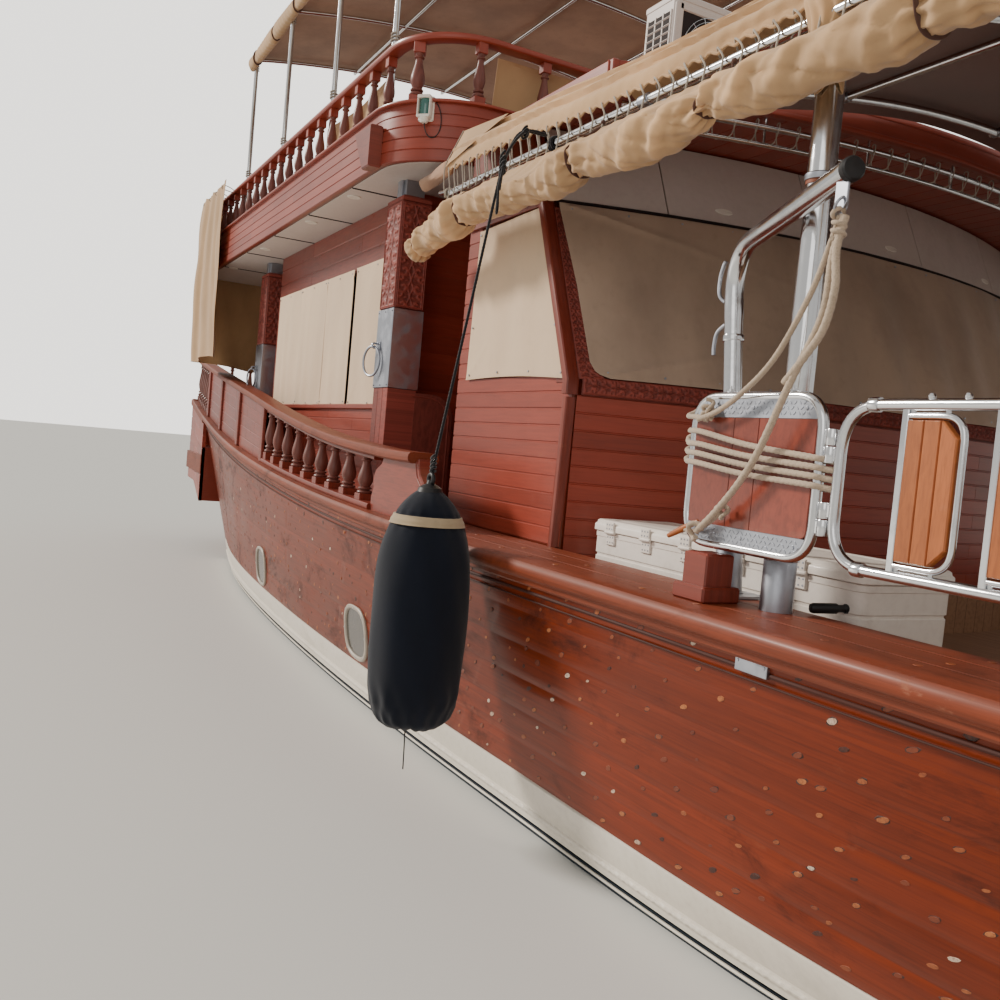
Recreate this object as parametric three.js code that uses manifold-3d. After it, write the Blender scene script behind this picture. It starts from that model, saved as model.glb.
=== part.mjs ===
// A Gulf passenger dhow of about 23 m, afloat: planked hull, deckhouse, upper deck, awnings,
// davit, stowed boarding ladder, mast with furled lateen sail, rudder and propeller.
// Millimetres, +X to the bow, +Y to port, +Z up, origin on the waterline amidships.
import * as THREE from "three";
import { mergeVertices } from "three/addons/utils/BufferGeometryUtils.js";
import Module from "manifold-3d";

const wasm = await Module();
wasm.setup();

// Driving dimensions
const GAP = 0.3; // clearance kept between touching pieces
const HALF_BEAM_WATER = 2507;
const HALF_BEAM_RAIL = 2700;
const STERN_WATER_X = -8200;
const BOW_WATER_X = 8800;
const STERN_RAIL_X = -8900;
const BOW_RAIL_X = 11400;
const STERN_KEEL_X = -8000;
const BOW_KEEL_X = 6000;
const BODY_DEPTH = 1250; // hull body below the water, without its keel
const KEEL_BOTTOM = -1600;
const KEEL_HALF = 90;
const STEM_HALF = 60;
const BAND_BOTTOM = 45;
const BAND_TOP = 290;
const SHEER_MID = 1400; // top of the covering board amidships
const SHEER_MID_AFT_X = 1000;
const SHEER_MID_FORE_X = 4000;
const SHEER_RISE_AFT = 6.3e-6;
const SHEER_RISE_FORE = 16e-6;
const COVER_THICK = 90;
const COVER_WIDTH = 480;
const NOSING = 55;
const BULWARK_WALL = 150;
const DECK_Z = 1250;
const WELL_Z = 980;
const GALLERY_TOP_Z = 1550;
const WELL_AFT_CLEAR = 30; // from the front wall to the step down into the well
const WELL_FORE_X = 9300;

const HOUSE_HALF = 2190;
const HOUSE_WALL = 60;
const HOUSE_FORE_X = 1100;
const HOUSE_BOW = 420; // how far the front wall bows forward on the centreline
const HOUSE_RAKE = 0.44; // how far it leans aft for each millimetre over the sill
const FRONT_SIDE_AFT_X = -370;
const SALOON_FORE_X = -1480;
const SALOON_AFT_X = -5300;
const SILL_Z = 2310;
const WINDOW_TOP_Z = 3270;
const SALOON_SILL_Z = 2215;
const SALOON_HEAD_Z = 3320;
const SOFFIT_Z = 3830;

const UPPER_TOP_Z = 4210;
const UPPER_HALF = 2640;
const UPPER_FORE_X = -500;
const UPPER_AFT_X = -7700;
const UPPER_CORNER = 620;
const UPPER_RAIL_Z = 4712;
const ROOF_TOP_Z = 3980;
const TOP_AWNING_Z = 6270;
const PIPE_RADIUS = 24;

const POST_WIDTH = 300;
const POST_OUTER_Y = 2410;
const POST_FORE_X = -1130;
const POST_AFT_X = -5600;

const AWNING_FORE_X = 5200;
const AWNING_PIPE_Z = 3530;
const AWNING_PIPE_Y = 2420;
const AWNING_CROWN = 420;
const BIG_POST_X = 2920;
const BIG_POST_Y = 2360;
const BIG_POST_RADIUS = 51;

const DAVIT_X = 2560;
const DAVIT_Y = -2270;
const MAST_X = 5800;
const MAST_TOP_Z = 9600;
const MAST_RADIUS = 140;

const RUDDER_X = -8080;
const SHAFT_Z = -850;
const PROPELLER_RADIUS = 420;

// Colours and finishes: colour, roughness, metalness
const FINISHES = {
  teak: [0x8c3a24, 0.35, 0],
  darkTeak: [0x5a2a24, 0.45, 0],
  white: [0xd7cdbe, 0.5, 0],
  navy: [0x0f1e2d, 0.6, 0],
  steel: [0xc4c6c8, 0.22, 1],
  bronze: [0xb08a4c, 0.35, 1],
  canvas: [0xbea07d, 0.9, 0],
  curtain: [0xd7c3aa, 0.9, 0],
  fender: [0x121826, 0.95, 0],
  chest: [0xe1d7cd, 0.5, 0],
  green: [0x1c5a4c, 0.3, 0],
  red: [0x8a1c1c, 0.3, 0],
};
const materials = Object.fromEntries(
  Object.entries(FINISHES).map(([name, [color, roughness, metalness]]) => [
    name,
    new THREE.MeshStandardMaterial({ name, color, roughness, metalness }),
  ]),
);

const mix = (a, b, t) => a + (b - a) * t;
const clamp = (v, low, high) => Math.min(high, Math.max(low, v));
const steps = (from, to, count) => Array.from({ length: count + 1 }, (_, i) => mix(from, to, i / count));

// A smooth curve through rows [place, value, value, ...], read at a place for one column.
function curve(rows, column = 1) {
  const slope = (i) => {
    const a = rows[Math.max(i - 1, 0)];
    const b = rows[Math.min(i + 1, rows.length - 1)];
    return (b[column] - a[column]) / (b[0] - a[0]);
  };
  return (place) => {
    const p = clamp(place, rows[0][0], rows.at(-1)[0]);
    let i = rows.findIndex((row) => row[0] >= p);
    i = Math.max(i, 1);
    const [a, b] = [rows[i - 1], rows[i]];
    const h = b[0] - a[0];
    const t = (p - a[0]) / h;
    const [t2, t3] = [t * t, t * t * t];
    return (
      (2 * t3 - 3 * t2 + 1) * a[column] +
      (t3 - 2 * t2 + t) * h * slope(i - 1) +
      (3 * t2 - 2 * t3) * b[column] +
      (t3 - t2) * h * slope(i)
    );
  };
}

// A closed triangle surface as a solid with its faces outwards.
function solidOf(positions, triangles) {
  const g = new THREE.BufferGeometry();
  g.setAttribute("position", new THREE.Float32BufferAttribute(positions, 3));
  g.setIndex(triangles);
  return solid(g);
}

function solid(geometry) {
  const bare = geometry.clone();
  bare.deleteAttribute("normal");
  bare.deleteAttribute("uv");
  const merged = mergeVertices(bare, 1e-3);
  const p = merged.attributes.position.array;
  const t = [];
  const all = merged.index.array;
  for (let i = 0; i < all.length; i += 3) {
    const [a, b, c] = [all[i], all[i + 1], all[i + 2]];
    if (a !== b && b !== c && a !== c) t.push(a, b, c);
  }
  let six = 0;
  const corner = (k) => new THREE.Vector3(p[3 * k], p[3 * k + 1], p[3 * k + 2]);
  for (let i = 0; i < t.length; i += 3) {
    six += corner(t[i]).dot(corner(t[i + 1]).cross(corner(t[i + 2])));
  }
  if (six < 0) {
    for (let i = 0; i < t.length; i += 3) [t[i + 1], t[i + 2]] = [t[i + 2], t[i + 1]];
  }
  return new wasm.Manifold(
    new wasm.Mesh({ numProp: 3, vertProperties: p, triVerts: new Uint32Array(t) }),
  );
}

function geometryOf(body) {
  const made = body.getMesh();
  const g = new THREE.BufferGeometry();
  g.setAttribute("position", new THREE.BufferAttribute(made.vertProperties.slice(), 3));
  g.setIndex(new THREE.BufferAttribute(made.triVerts.slice(), 1));
  g.computeVertexNormals();
  return g;
}

const join = (...bodies) => bodies.flat().reduce((a, b) => a.add(b));
const cut = (body, ...tools) => tools.flat().reduce((a, b) => a.subtract(b), body);

function box(x0, x1, y0, y1, z0, z1) {
  const g = new THREE.BoxGeometry(Math.abs(x1 - x0), Math.abs(y1 - y0), Math.abs(z1 - z0));
  return solid(g.translate((x0 + x1) / 2, (y0 + y1) / 2, (z0 + z1) / 2));
}

// An outline of [a, b] points carried along one axis: on "z" it lies in x and y, on "y" in
// x and z, on "x" in y and z.
function prism(outline, axis, from, to) {
  const shape = new THREE.Shape(outline.map(([a, b]) => new THREE.Vector2(a, b)));
  const g = new THREE.ExtrudeGeometry(shape, { depth: to - from, bevelEnabled: false });
  const turn = new THREE.Matrix4();
  if (axis === "z") turn.makeTranslation(0, 0, from);
  if (axis === "y") turn.set(1, 0, 0, 0, 0, 0, -1, to, 0, 1, 0, 0, 0, 0, 0, 1);
  if (axis === "x") turn.set(0, 0, 1, from, 1, 0, 0, 0, 0, 1, 0, 0, 0, 0, 0, 1);
  return solid(g.applyMatrix4(turn));
}

function rod(from, to, radius, sides = 10, endRadius = radius) {
  const a = new THREE.Vector3(...from);
  const b = new THREE.Vector3(...to);
  const along = b.clone().sub(a);
  const g = new THREE.CylinderGeometry(endRadius, radius, along.length(), sides);
  g.applyQuaternion(
    new THREE.Quaternion().setFromUnitVectors(new THREE.Vector3(0, 1, 0), along.clone().normalize()),
  );
  return solid(g.translate(...a.add(b).multiplyScalar(0.5).toArray()));
}

// A corner-rounded line: each inner corner of the points becomes an arc-like run.
function rounded(points, radius, count = 3, closed = false) {
  const v = points.map((p) => new THREE.Vector3(...p));
  const out = [];
  v.forEach((at, i) => {
    if (!closed && (i === 0 || i === v.length - 1)) return out.push(at.toArray());
    const before = v[(i - 1 + v.length) % v.length].clone().sub(at);
    const after = v[(i + 1) % v.length].clone().sub(at);
    const reach = Math.min(radius, before.length() * 0.49, after.length() * 0.49);
    const a = at.clone().add(before.setLength(reach));
    const b = at.clone().add(after.setLength(reach));
    for (const t of steps(0, 1, count)) {
      out.push(new THREE.QuadraticBezierCurve3(a, at, b).getPoint(t).toArray());
    }
  });
  return out;
}

// A round pipe along a polyline, open with flat ends or closed on itself. Its section keeps
// its direction from point to point.
function tube(points, radius, sides = 8, closed = false) {
  const v = points.map((p) => new THREE.Vector3(...p));
  const n = v.length;
  const way = v.map((at, i) => {
    const a = closed ? v[(i - 1 + n) % n] : v[Math.max(i - 1, 0)];
    const b = closed ? v[(i + 1) % n] : v[Math.min(i + 1, n - 1)];
    const into = at.clone().sub(a).normalize();
    const out = b.clone().sub(at).normalize();
    return into.add(out).normalize();
  });
  const spread = new THREE.Vector3();
  for (const w of way) spread.add(w.clone().cross(way[0]));
  let normal = spread.lengthSq() > 1e-6 ? spread.normalize() : new THREE.Vector3(0, 0, 1);
  if (Math.abs(normal.dot(way[0])) > 0.9) normal = new THREE.Vector3(1, 0, 0);
  const sections = v.map((at, i) => {
    const side = normal.clone().addScaledVector(way[i], -normal.dot(way[i])).normalize();
    normal = side;
    const other = way[i].clone().cross(side);
    return steps(0, 2 * Math.PI, sides).slice(0, -1).map((a) =>
      at.clone().addScaledVector(side, radius * Math.cos(a)).addScaledVector(other, radius * Math.sin(a)).toArray(),
    );
  });
  return rings(sections, closed);
}

// A turned shape: rows [radius, height] from the axis to the axis, standing at a point.
function turned(rows, at, sides = 8) {
  const g = new THREE.LatheGeometry(rows.map(([r, z]) => new THREE.Vector2(r, z)), sides);
  return solid(g.rotateX(Math.PI / 2).translate(...at));
}

// The solid between two surfaces given on the same grid of u and v from 0 to 1.
function between(nu, nv, outer, inner) {
  const positions = [];
  for (const face of [outer, inner]) {
    for (let i = 0; i <= nu; i++) {
      for (let j = 0; j <= nv; j++) positions.push(...face(i / nu, j / nv));
    }
  }
  const at = (side, i, j) => side * (nu + 1) * (nv + 1) + i * (nv + 1) + j;
  const triangles = [];
  const quad = (a, b, c, d) => triangles.push(a, b, c, a, c, d);
  for (let i = 0; i < nu; i++) {
    for (let j = 0; j < nv; j++) {
      quad(at(0, i, j), at(0, i + 1, j), at(0, i + 1, j + 1), at(0, i, j + 1));
      quad(at(1, i, j), at(1, i, j + 1), at(1, i + 1, j + 1), at(1, i + 1, j));
    }
    quad(at(0, i, 0), at(1, i, 0), at(1, i + 1, 0), at(0, i + 1, 0));
    quad(at(0, i, nv), at(0, i + 1, nv), at(1, i + 1, nv), at(1, i, nv));
  }
  for (let j = 0; j < nv; j++) {
    quad(at(0, 0, j), at(0, 0, j + 1), at(1, 0, j + 1), at(1, 0, j));
    quad(at(0, nu, j), at(1, nu, j), at(1, nu, j + 1), at(0, nu, j + 1));
  }
  return solidOf(positions, triangles);
}

// Closed rings of points, one ring for each station, joined into a capped solid.
function rings(sections, closed = false) {
  const n = sections[0].length;
  const positions = sections.flat(2);
  const triangles = [];
  for (let s = 0; s + 1 < sections.length; s++) {
    for (let k = 0; k < n; k++) {
      const [a, b] = [s * n + k, s * n + ((k + 1) % n)];
      triangles.push(a, b, b + n, a, b + n, a + n);
    }
  }
  const last = (sections.length - 1) * n;
  for (let k = 0; closed && k < n; k++) {
    const [a, b] = [last + k, last + ((k + 1) % n)];
    triangles.push(a, b, (k + 1) % n, a, (k + 1) % n, k);
  }
  for (let k = 1; !closed && k + 1 < n; k++) {
    triangles.push(0, k + 1, k);
    triangles.push(last, last + k, last + k + 1);
  }
  return solidOf(positions, triangles);
}

const boat = new THREE.Group();
function piece(name, body, finish, parent = boat) {
  const mesh = new THREE.Mesh(geometryOf(body), materials[finish]);
  mesh.name = name;
  parent.add(mesh);
  return mesh;
}
const SIDES = [
  ["starboard", -1],
  ["port", 1],
];

// Hull lines: share of the length from the stern, share of the greatest half-breadth at the
// waterline and at the rail, depth of the hull body below the water
const HULL_LINES = [
  [0.0, 0.76, 0.833, 130],
  [0.1, 0.875, 0.895, 480],
  [0.2, 0.945, 0.945, 850],
  [0.32, 0.989, 0.985, 1130],
  [0.44, 1.0, 1.0, BODY_DEPTH],
  [0.55, 0.98, 1.0, BODY_DEPTH],
  [0.66, 0.935, 0.985, BODY_DEPTH],
  [0.76, 0.8, 0.91, BODY_DEPTH],
  [0.85, 0.57, 0.74, BODY_DEPTH],
  [0.93, 0.3, 0.45, BODY_DEPTH],
  [1.0, 0.024, 0.022, BODY_DEPTH],
];
const waterShare = curve(HULL_LINES, 1);
const railShare = curve(HULL_LINES, 2);
const bodyDepth = curve(HULL_LINES, 3);

// Everything along the rail is faceted at the same stations, so that faces lie on each other.
const COVER_XS = [...steps(STERN_RAIL_X, 9000, 24), 9600, 10100, 10600, 11000, 11250];
const STATIONS = [-11000, -10200, -9500, ...COVER_XS, 11900];
function faceted(smooth) {
  const values = STATIONS.map(smooth);
  return (x) => {
    const i = clamp(STATIONS.findIndex((s) => s >= x), 1, STATIONS.length - 1);
    const t = (x - STATIONS[i - 1]) / (STATIONS[i] - STATIONS[i - 1]);
    return mix(values[i - 1], values[i], t);
  };
}
const stationsBetween = (from, to) => [
  from,
  ...STATIONS.filter((x) => x > from + 1 && x < to - 1),
  to,
];
const sheer = faceted((x) => {
  const aft = Math.max(0, SHEER_MID_AFT_X - x);
  const fore = Math.max(0, x - SHEER_MID_FORE_X);
  return SHEER_MID + SHEER_RISE_AFT * aft * aft + SHEER_RISE_FORE * fore * fore;
});
const railX = (u) => mix(STERN_RAIL_X, BOW_RAIL_X, u);
const railHalf = faceted((x) => {
  const u = clamp((x - STERN_RAIL_X) / (BOW_RAIL_X - STERN_RAIL_X), 0, 1);
  return Math.max(STEM_HALF, HALF_BEAM_RAIL * railShare(u)) - Math.max(0, STERN_RAIL_X - x) * 0.088;
});

// A point of the topsides at a height, pulled in by an inset
function sidePoint(u, z, side, inset = 0) {
  const t = z / sheer(railX(u));
  const x = mix(mix(STERN_WATER_X, BOW_WATER_X, u), railX(u), t);
  const half = mix(HALF_BEAM_WATER * waterShare(u), HALF_BEAM_RAIL * railShare(u), t);
  return [x, side * Math.max(STEM_HALF, half - inset), z];
}
// A point of the bottom, at a share of the local depth from the waterline down
function bottomPoint(u, share, side) {
  const x = mix(mix(STERN_WATER_X, BOW_WATER_X, u), mix(STERN_KEEL_X, BOW_KEEL_X, u), share);
  const half = HALF_BEAM_WATER * waterShare(u) * (1 - share * share) ** 0.8;
  return [x, side * Math.max(STEM_HALF, half), -share * bodyDepth(u)];
}

const HULL_STEPS = 26;
function hullSlice(low, high, count) {
  const at = (u, v, side) => sidePoint(u, mix(low, high(railX(u)), v), side);
  return between(HULL_STEPS, count, (u, v) => at(u, v, -1), (u, v) => at(u, v, 1));
}

function hullBottom() {
  const body = between(
    HULL_STEPS, 5,
    (u, v) => bottomPoint(u, 1 - v, -1),
    (u, v) => bottomPoint(u, 1 - v, 1),
  );
  const top = hullSlice(-1, () => BAND_BOTTOM - GAP, 1);
  const keel = prism(
    [
      [-8250, KEEL_BOTTOM],
      [5450, KEEL_BOTTOM],
      [6050, -1200],
      [-2500, -950],
      [-7300, -250],
      [-7300, -1500],
      [-8250, -1500],
    ],
    "y", -KEEL_HALF, KEEL_HALF,
  );
  const sternTube = rod([-6300, 0, SHAFT_Z], [-7440, 0, SHAFT_Z], 110, 12, 85);
  const trunk = rod([RUDDER_X, 0, -330], [RUDDER_X, 0, -20], 95, 12);
  return join(body, top, keel, sternTube, trunk);
}
piece("hull_bottom", hullBottom(), "navy");
piece("hull_band", hullSlice(BAND_BOTTOM, () => BAND_TOP - GAP, 1), "white");

// The front wall is a shallow bow: its plan is a parabola between the corner posts.
const frontX = (y) => HOUSE_FORE_X + HOUSE_BOW * (1 - (y / HOUSE_HALF) ** 2);
function topsides() {
  const whole = hullSlice(BAND_TOP, (x) => sheer(x), 3);
  const above = rings(
    [STERN_RAIL_X - 400, ...COVER_XS, 11900].map((x) => {
      const low = sheer(x) - COVER_THICK - GAP;
      return [
        [x, -3200, low],
        [x, 3200, low],
        [x, 3200, low + 1500],
        [x, -3200, low + 1500],
      ];
    }),
  );
  const pocket = (uFrom, uTo, floor) => {
    const at = (u, v, side) => {
      const s = mix(uFrom, uTo, u);
      return sidePoint(s, mix(floor, 3200, v), side, BULWARK_WALL);
    };
    return between(16, 1, (u, v) => at(u, v, -1), (u, v) => at(u, v, 1));
  };
  const share = (x) => (x - STERN_RAIL_X) / (BOW_RAIL_X - STERN_RAIL_X);
  const aftDeck = pocket(share(STERN_RAIL_X + 260), share(3000), DECK_Z);
  const bow = steps(-1, 1, 12).map((t) => [frontX(t * 2700) + WELL_AFT_CLEAR, t * 2700]);
  const foreOfHouse = prism([...bow, [12000, 2700], [12000, -2700]], "z", 0, 4000);
  const step = pocket(share(STERN_RAIL_X - 400), share(STERN_RAIL_X + 600), GALLERY_TOP_Z);
  const well = pocket(share(800), share(WELL_FORE_X), WELL_Z).intersect(foreOfHouse);
  return cut(whole, above, aftDeck, step, well);
}
piece("hull_topsides", topsides(), "teak");

// The stem timber stands in front of the hull and the stem head above it.
function stem() {
  const back = [
    [BOW_KEEL_X + 130, -BODY_DEPTH + 40],
    [BOW_WATER_X + 2, 0],
    [BOW_RAIL_X + 2, sheer(BOW_RAIL_X)],
  ];
  return prism(
    [
      ...back,
      [BOW_RAIL_X + 260, 2720],
      [BOW_RAIL_X + 420, 2690],
      [BOW_RAIL_X + 240, 2180],
      [BOW_WATER_X + 340, -20],
      [BOW_KEEL_X + 260, -BODY_DEPTH - 140],
    ],
    "y", -80, 80,
  );
}
piece("stem_post", cut(stem(), hullBottomKeelClear()), "darkTeak");
function hullBottomKeelClear() {
  return box(4000, 6700, -200, 200, KEEL_BOTTOM - 50, -1000);
}

// A rail along the hull: profile of [inboard from the hull side, height over the sheer] points
function alongHull(xs, side, profile, base = sheer, least = () => 90) {
  return rings(
    xs.map((x) =>
      profile.map(([inboard, up]) => [
        x,
        side * Math.max(least(x), railHalf(x) - inboard),
        base(x) + up,
      ]),
    ),
  );
}
// Beside the deckhouse the covering board stops at the house's wall.
const besideHouse = (x) =>
  x > SALOON_AFT_X - 800 && x < HOUSE_FORE_X + 800 ? HOUSE_HALF + GAP : 90;
const COVER_PROFILE = [
  [COVER_WIDTH, 0],
  [COVER_WIDTH, -COVER_THICK],
  [-NOSING + 15, -COVER_THICK],
  [-NOSING, -COVER_THICK / 2],
  [-NOSING + 15, -12],
  [-NOSING + 45, 0],
];
for (const [name, side] of SIDES) {
  piece("covering_board_" + name, alongHull(COVER_XS, side, COVER_PROFILE, sheer, besideHouse), "teak");
}

// What stands on the covering board is cut to lie on it.
const underRail = rings(
  STATIONS.map((x) => [
    [x, -3400, -900],
    [x, 3400, -900],
    [x, 3400, sheer(x) + GAP],
    [x, -3400, sheer(x) + GAP],
  ]),
);
const onRail = (...bodies) => cut(join(...bodies), underRail);

// Raised aft bulwark: place along the boat and height of its rail
const BULWARK_RAIL = [
  [-10950, 2980],
  [-8000, 2640],
  [-5030, 2300],
  [-3350, 2090],
  [-1720, 1920],
  [-450, 1850],
  [260, 1840],
];
const bulwarkRail = curve(BULWARK_RAIL);
const BALUSTER = [
  [0, 0],
  [1, 0],
  [0.5, 0.2],
  [0.95, 0.42],
  [0.42, 0.78],
  [0.85, 1],
  [0, 1],
];
function baluster(x, y, low, high, radius, sides = 5) {
  return turned(BALUSTER.map(([r, z]) => [r * radius, z * (high - low)]), [x, y, low], sides);
}
const BULWARK_PANEL_FORE_X = -4000;
const BALUSTER_XS = steps(-3820, -700, 7);
function bulwark(side) {
  const rail = alongHull(
    stationsBetween(-8895, 130), side,
    [
      [190, 0],
      [190, -70],
      [-20, -70],
      [-20, 0],
    ],
    bulwarkRail,
  );
  const xs = stationsBetween(-8895, BULWARK_PANEL_FORE_X);
  const panel = rings(
    xs.map((x) => {
      const [outer, inner] = [railHalf(x) - 40, railHalf(x) - 110];
      const [low, high] = [sheer(x) - 40, bulwarkRail(x) - 40];
      return [
        [x, side * outer, low],
        [x, side * outer, high],
        [x, side * inner, high],
        [x, side * inner, low],
      ];
    }),
  );
  const turnings = BALUSTER_XS.map((x) =>
    baluster(x, side * (railHalf(x) - 85), sheer(x) - 10, bulwarkRail(x) - 40, 58),
  );
  const fore = prism(
    [
      [-560, 1380],
      [420, 1380],
      [400, 1500],
      [250, 1560],
      [160, 1700],
      [130, 1830],
      [-60, 1840],
      [-560, 1835],
    ],
    "y",
    side < 0 ? -railHalf(0) + 40 : railHalf(0) - 130,
    side < 0 ? -railHalf(0) + 130 : railHalf(0) - 40,
  );
  return onRail(rail, panel, fore, turnings);
}
for (const [name, side] of SIDES) piece("bulwark_" + name, bulwark(side), "teak");

// Stern gallery: the planked box that overhangs the stern, its turned balusters, the sheer
// timber over them and the raised poop bulwark with its rail
const GALLERY_AFT_X = -10950;
const GALLERY_LOW_Z = 1000;
const galleryFore = STERN_RAIL_X - GAP;
function sternGallery() {
  const bodyRing = (x) => {
    const half = railHalf(x) + 25;
    const low = x > galleryFore - 1 ? GALLERY_LOW_Z - 240 : GALLERY_LOW_Z;
    return [
      [x, -half, low],
      [x, half, low],
      [x, half, GALLERY_TOP_Z],
      [x, -half, GALLERY_TOP_Z],
    ];
  };
  const body = rings([bodyRing(GALLERY_AFT_X), bodyRing(-9900), bodyRing(galleryFore)]);
  const parts = [body];
  for (const [, side] of SIDES) {
    const wall = (xs, low, high, inner, outer) =>
      rings(
        xs.map((x) => {
          const [a, b] = [railHalf(x) - inner, railHalf(x) + outer];
          return [
            [x, side * b, low(x)],
            [x, side * b, high(x)],
            [x, side * a, high(x)],
            [x, side * a, low(x)],
          ];
        }),
      );
    const xs = steps(GALLERY_AFT_X, galleryFore, 4);
    parts.push(wall(xs, (x) => sheer(x) - 130, (x) => sheer(x), 160, 50));
    parts.push(wall(xs, (x) => sheer(x) - 20, (x) => bulwarkRail(x) - 40, 110, -40));
    parts.push(wall(xs, (x) => bulwarkRail(x) - 70, (x) => bulwarkRail(x), 190, 20));
    for (const x of steps(-10800, -9050, 6)) {
      parts.push(
        baluster(x, side * (railHalf(x) - 55), GALLERY_TOP_Z - 15, sheer(x) - 100, 48),
      );
    }
  }
  const half = railHalf(GALLERY_AFT_X);
  const across = (low, high, fore, aft, y) =>
    box(GALLERY_AFT_X + aft, GALLERY_AFT_X + fore, -y, y, low, high);
  const poopSheer = sheer(GALLERY_AFT_X);
  const poopRail = bulwarkRail(GALLERY_AFT_X);
  parts.push(across(poopSheer - 130, poopSheer, 160, -50, half + 50));
  parts.push(across(poopSheer - 20, poopRail - 40, 110, 40, half - 20));
  parts.push(across(poopRail - 70, poopRail, 190, -20, half + 20));
  for (const y of steps(-half + 330, half - 330, 8)) {
    parts.push(baluster(GALLERY_AFT_X + 55, y, GALLERY_TOP_Z - 15, poopSheer - 100, 48));
  }
  return join(parts);
}
piece("stern_gallery", sternGallery(), "teak");

// Deckhouse: planked walls under the windows, posts between the windows and a head beam
function wallWithOpenings(axis, along, low, high, from, to, openings) {
  const outline = [
    [along[0], low],
    [along[1], low],
    [along[1], high],
    [along[0], high],
  ];
  const wall = prism(outline, axis, from, to);
  return cut(
    wall,
    openings.map(([a0, a1, z0, z1]) =>
      prism(
        [
          [a0, z0],
          [a1, z0],
          [a1, z1],
          [a0, z1],
        ],
        axis, from - 50, to + 50,
      ),
    ),
  );
}
const houseLow = DECK_Z + GAP;
const houseHigh = SOFFIT_Z - GAP;
const FRONT_STEPS = 12;
const DOOR_HALF = 380;
const DOOR_TOP_Z = 3180;
const FRONT_HALF = HOUSE_HALF - HOUSE_WALL - GAP;
// Over the sill the front wall leans aft.
const rakedX = (y, z) => frontX(y) - Math.max(0, z - SILL_Z) * HOUSE_RAKE;
const frontFace = (out) => (u, v) => {
  const y = mix(-FRONT_HALF, FRONT_HALF, u);
  const z = v < 0.5 ? mix(houseLow, SILL_Z, 2 * v) : mix(SILL_Z, houseHigh, 2 * v - 1);
  return [rakedX(y, z) + out, y, z];
};
const FRONT_WINDOWS = [
  [-1960, -760],
  [-660, 660],
  [760, 1960],
];
function frontWall() {
  const wall = between(FRONT_STEPS, 2, frontFace(0), frontFace(-HOUSE_WALL));
  return cut(wall, FRONT_WINDOWS.map(([y0, y1]) => box(200, 1900, y0, y1, SILL_Z, WINDOW_TOP_Z)));
}
piece("front_wall", frontWall(), "darkTeak");
for (const [name, side] of SIDES) {
  const [from, to] = side < 0 ? [-HOUSE_HALF, -HOUSE_HALF + HOUSE_WALL] : [HOUSE_HALF - HOUSE_WALL, HOUSE_HALF];
  const sideWall = prism(
    [
      [FRONT_SIDE_AFT_X, houseLow],
      [HOUSE_FORE_X, houseLow],
      [HOUSE_FORE_X, SILL_Z],
      [rakedX(HOUSE_HALF, houseHigh), houseHigh],
      [FRONT_SIDE_AFT_X, houseHigh],
    ],
    "y", from, to,
  );
  const sideWindow = prism(
    [
      [FRONT_SIDE_AFT_X + 110, SILL_Z],
      [HOUSE_FORE_X - 130, SILL_Z],
      [rakedX(HOUSE_HALF, WINDOW_TOP_Z) - 130, WINDOW_TOP_Z],
      [FRONT_SIDE_AFT_X + 110, WINDOW_TOP_Z],
    ],
    "y", from - 50, to + 50,
  );
  piece("front_side_wall_" + name, cut(sideWall, sideWindow), "teak");
  piece(
    "saloon_side_wall_" + name,
    wallWithOpenings("y", [SALOON_AFT_X, SALOON_FORE_X], houseLow, houseHigh, from, to, [
      [SALOON_AFT_X + 130, -3520, SALOON_SILL_Z, SALOON_HEAD_Z],
      [-3380, SALOON_FORE_X - 110, SALOON_SILL_Z, SALOON_HEAD_Z],
    ]),
    "teak",
  );
}
const crossHalf = HOUSE_HALF - HOUSE_WALL - GAP;
const DOORWAY = [-DOOR_HALF - 6, DOOR_HALF + 6, houseLow + 60, DOOR_TOP_Z + 6];
for (const [name, x] of [["passage_fore_wall", FRONT_SIDE_AFT_X], ["passage_aft_wall", SALOON_FORE_X - HOUSE_WALL]]) {
  piece(
    name,
    wallWithOpenings("x", [-crossHalf, crossHalf], houseLow, houseHigh, x, x + HOUSE_WALL, [DOORWAY]),
    "darkTeak",
  );
}
piece(
  "saloon_aft_wall",
  wallWithOpenings(
    "x", [-crossHalf, crossHalf], houseLow, houseHigh, SALOON_AFT_X, SALOON_AFT_X + HOUSE_WALL,
    [
      [-1900, -620, SILL_Z, WINDOW_TOP_Z],
      [620, 1900, SILL_Z, WINDOW_TOP_Z],
      DOORWAY,
    ],
  ),
  "darkTeak",
);

// Doors hang on pins at their port edge.
function door(x, thick) {
  const leaf = box(x, x + thick, -DOOR_HALF, DOOR_HALF, houseLow + 66, DOOR_TOP_Z);
  const pin = rod([x + 8, DOOR_HALF - 8, houseLow + 60 + GAP], [x + 8, DOOR_HALF - 8, DOOR_TOP_Z + 6 - GAP], 8, 10);
  const panel = box(x - 20, x + thick + 20, -260, 260, 1500, 2150);
  const light = box(x + thick - 12, x + thick + 30, -230, 230, 2350, 3000);
  const handle = box(x - 55, x + thick + 55, -330, -300, 2120, 2260);
  const sunk = box(x + thick - 12, x + thick + 30, -260, 260, 1500, 2150);
  return cut(join(leaf, handle, pin), light, sunk.intersect(panel));
}
piece("front_room_door", door(FRONT_SIDE_AFT_X + 8, 44), "teak");
piece("aft_door", door(SALOON_AFT_X + 8, 44), "teak");

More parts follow.
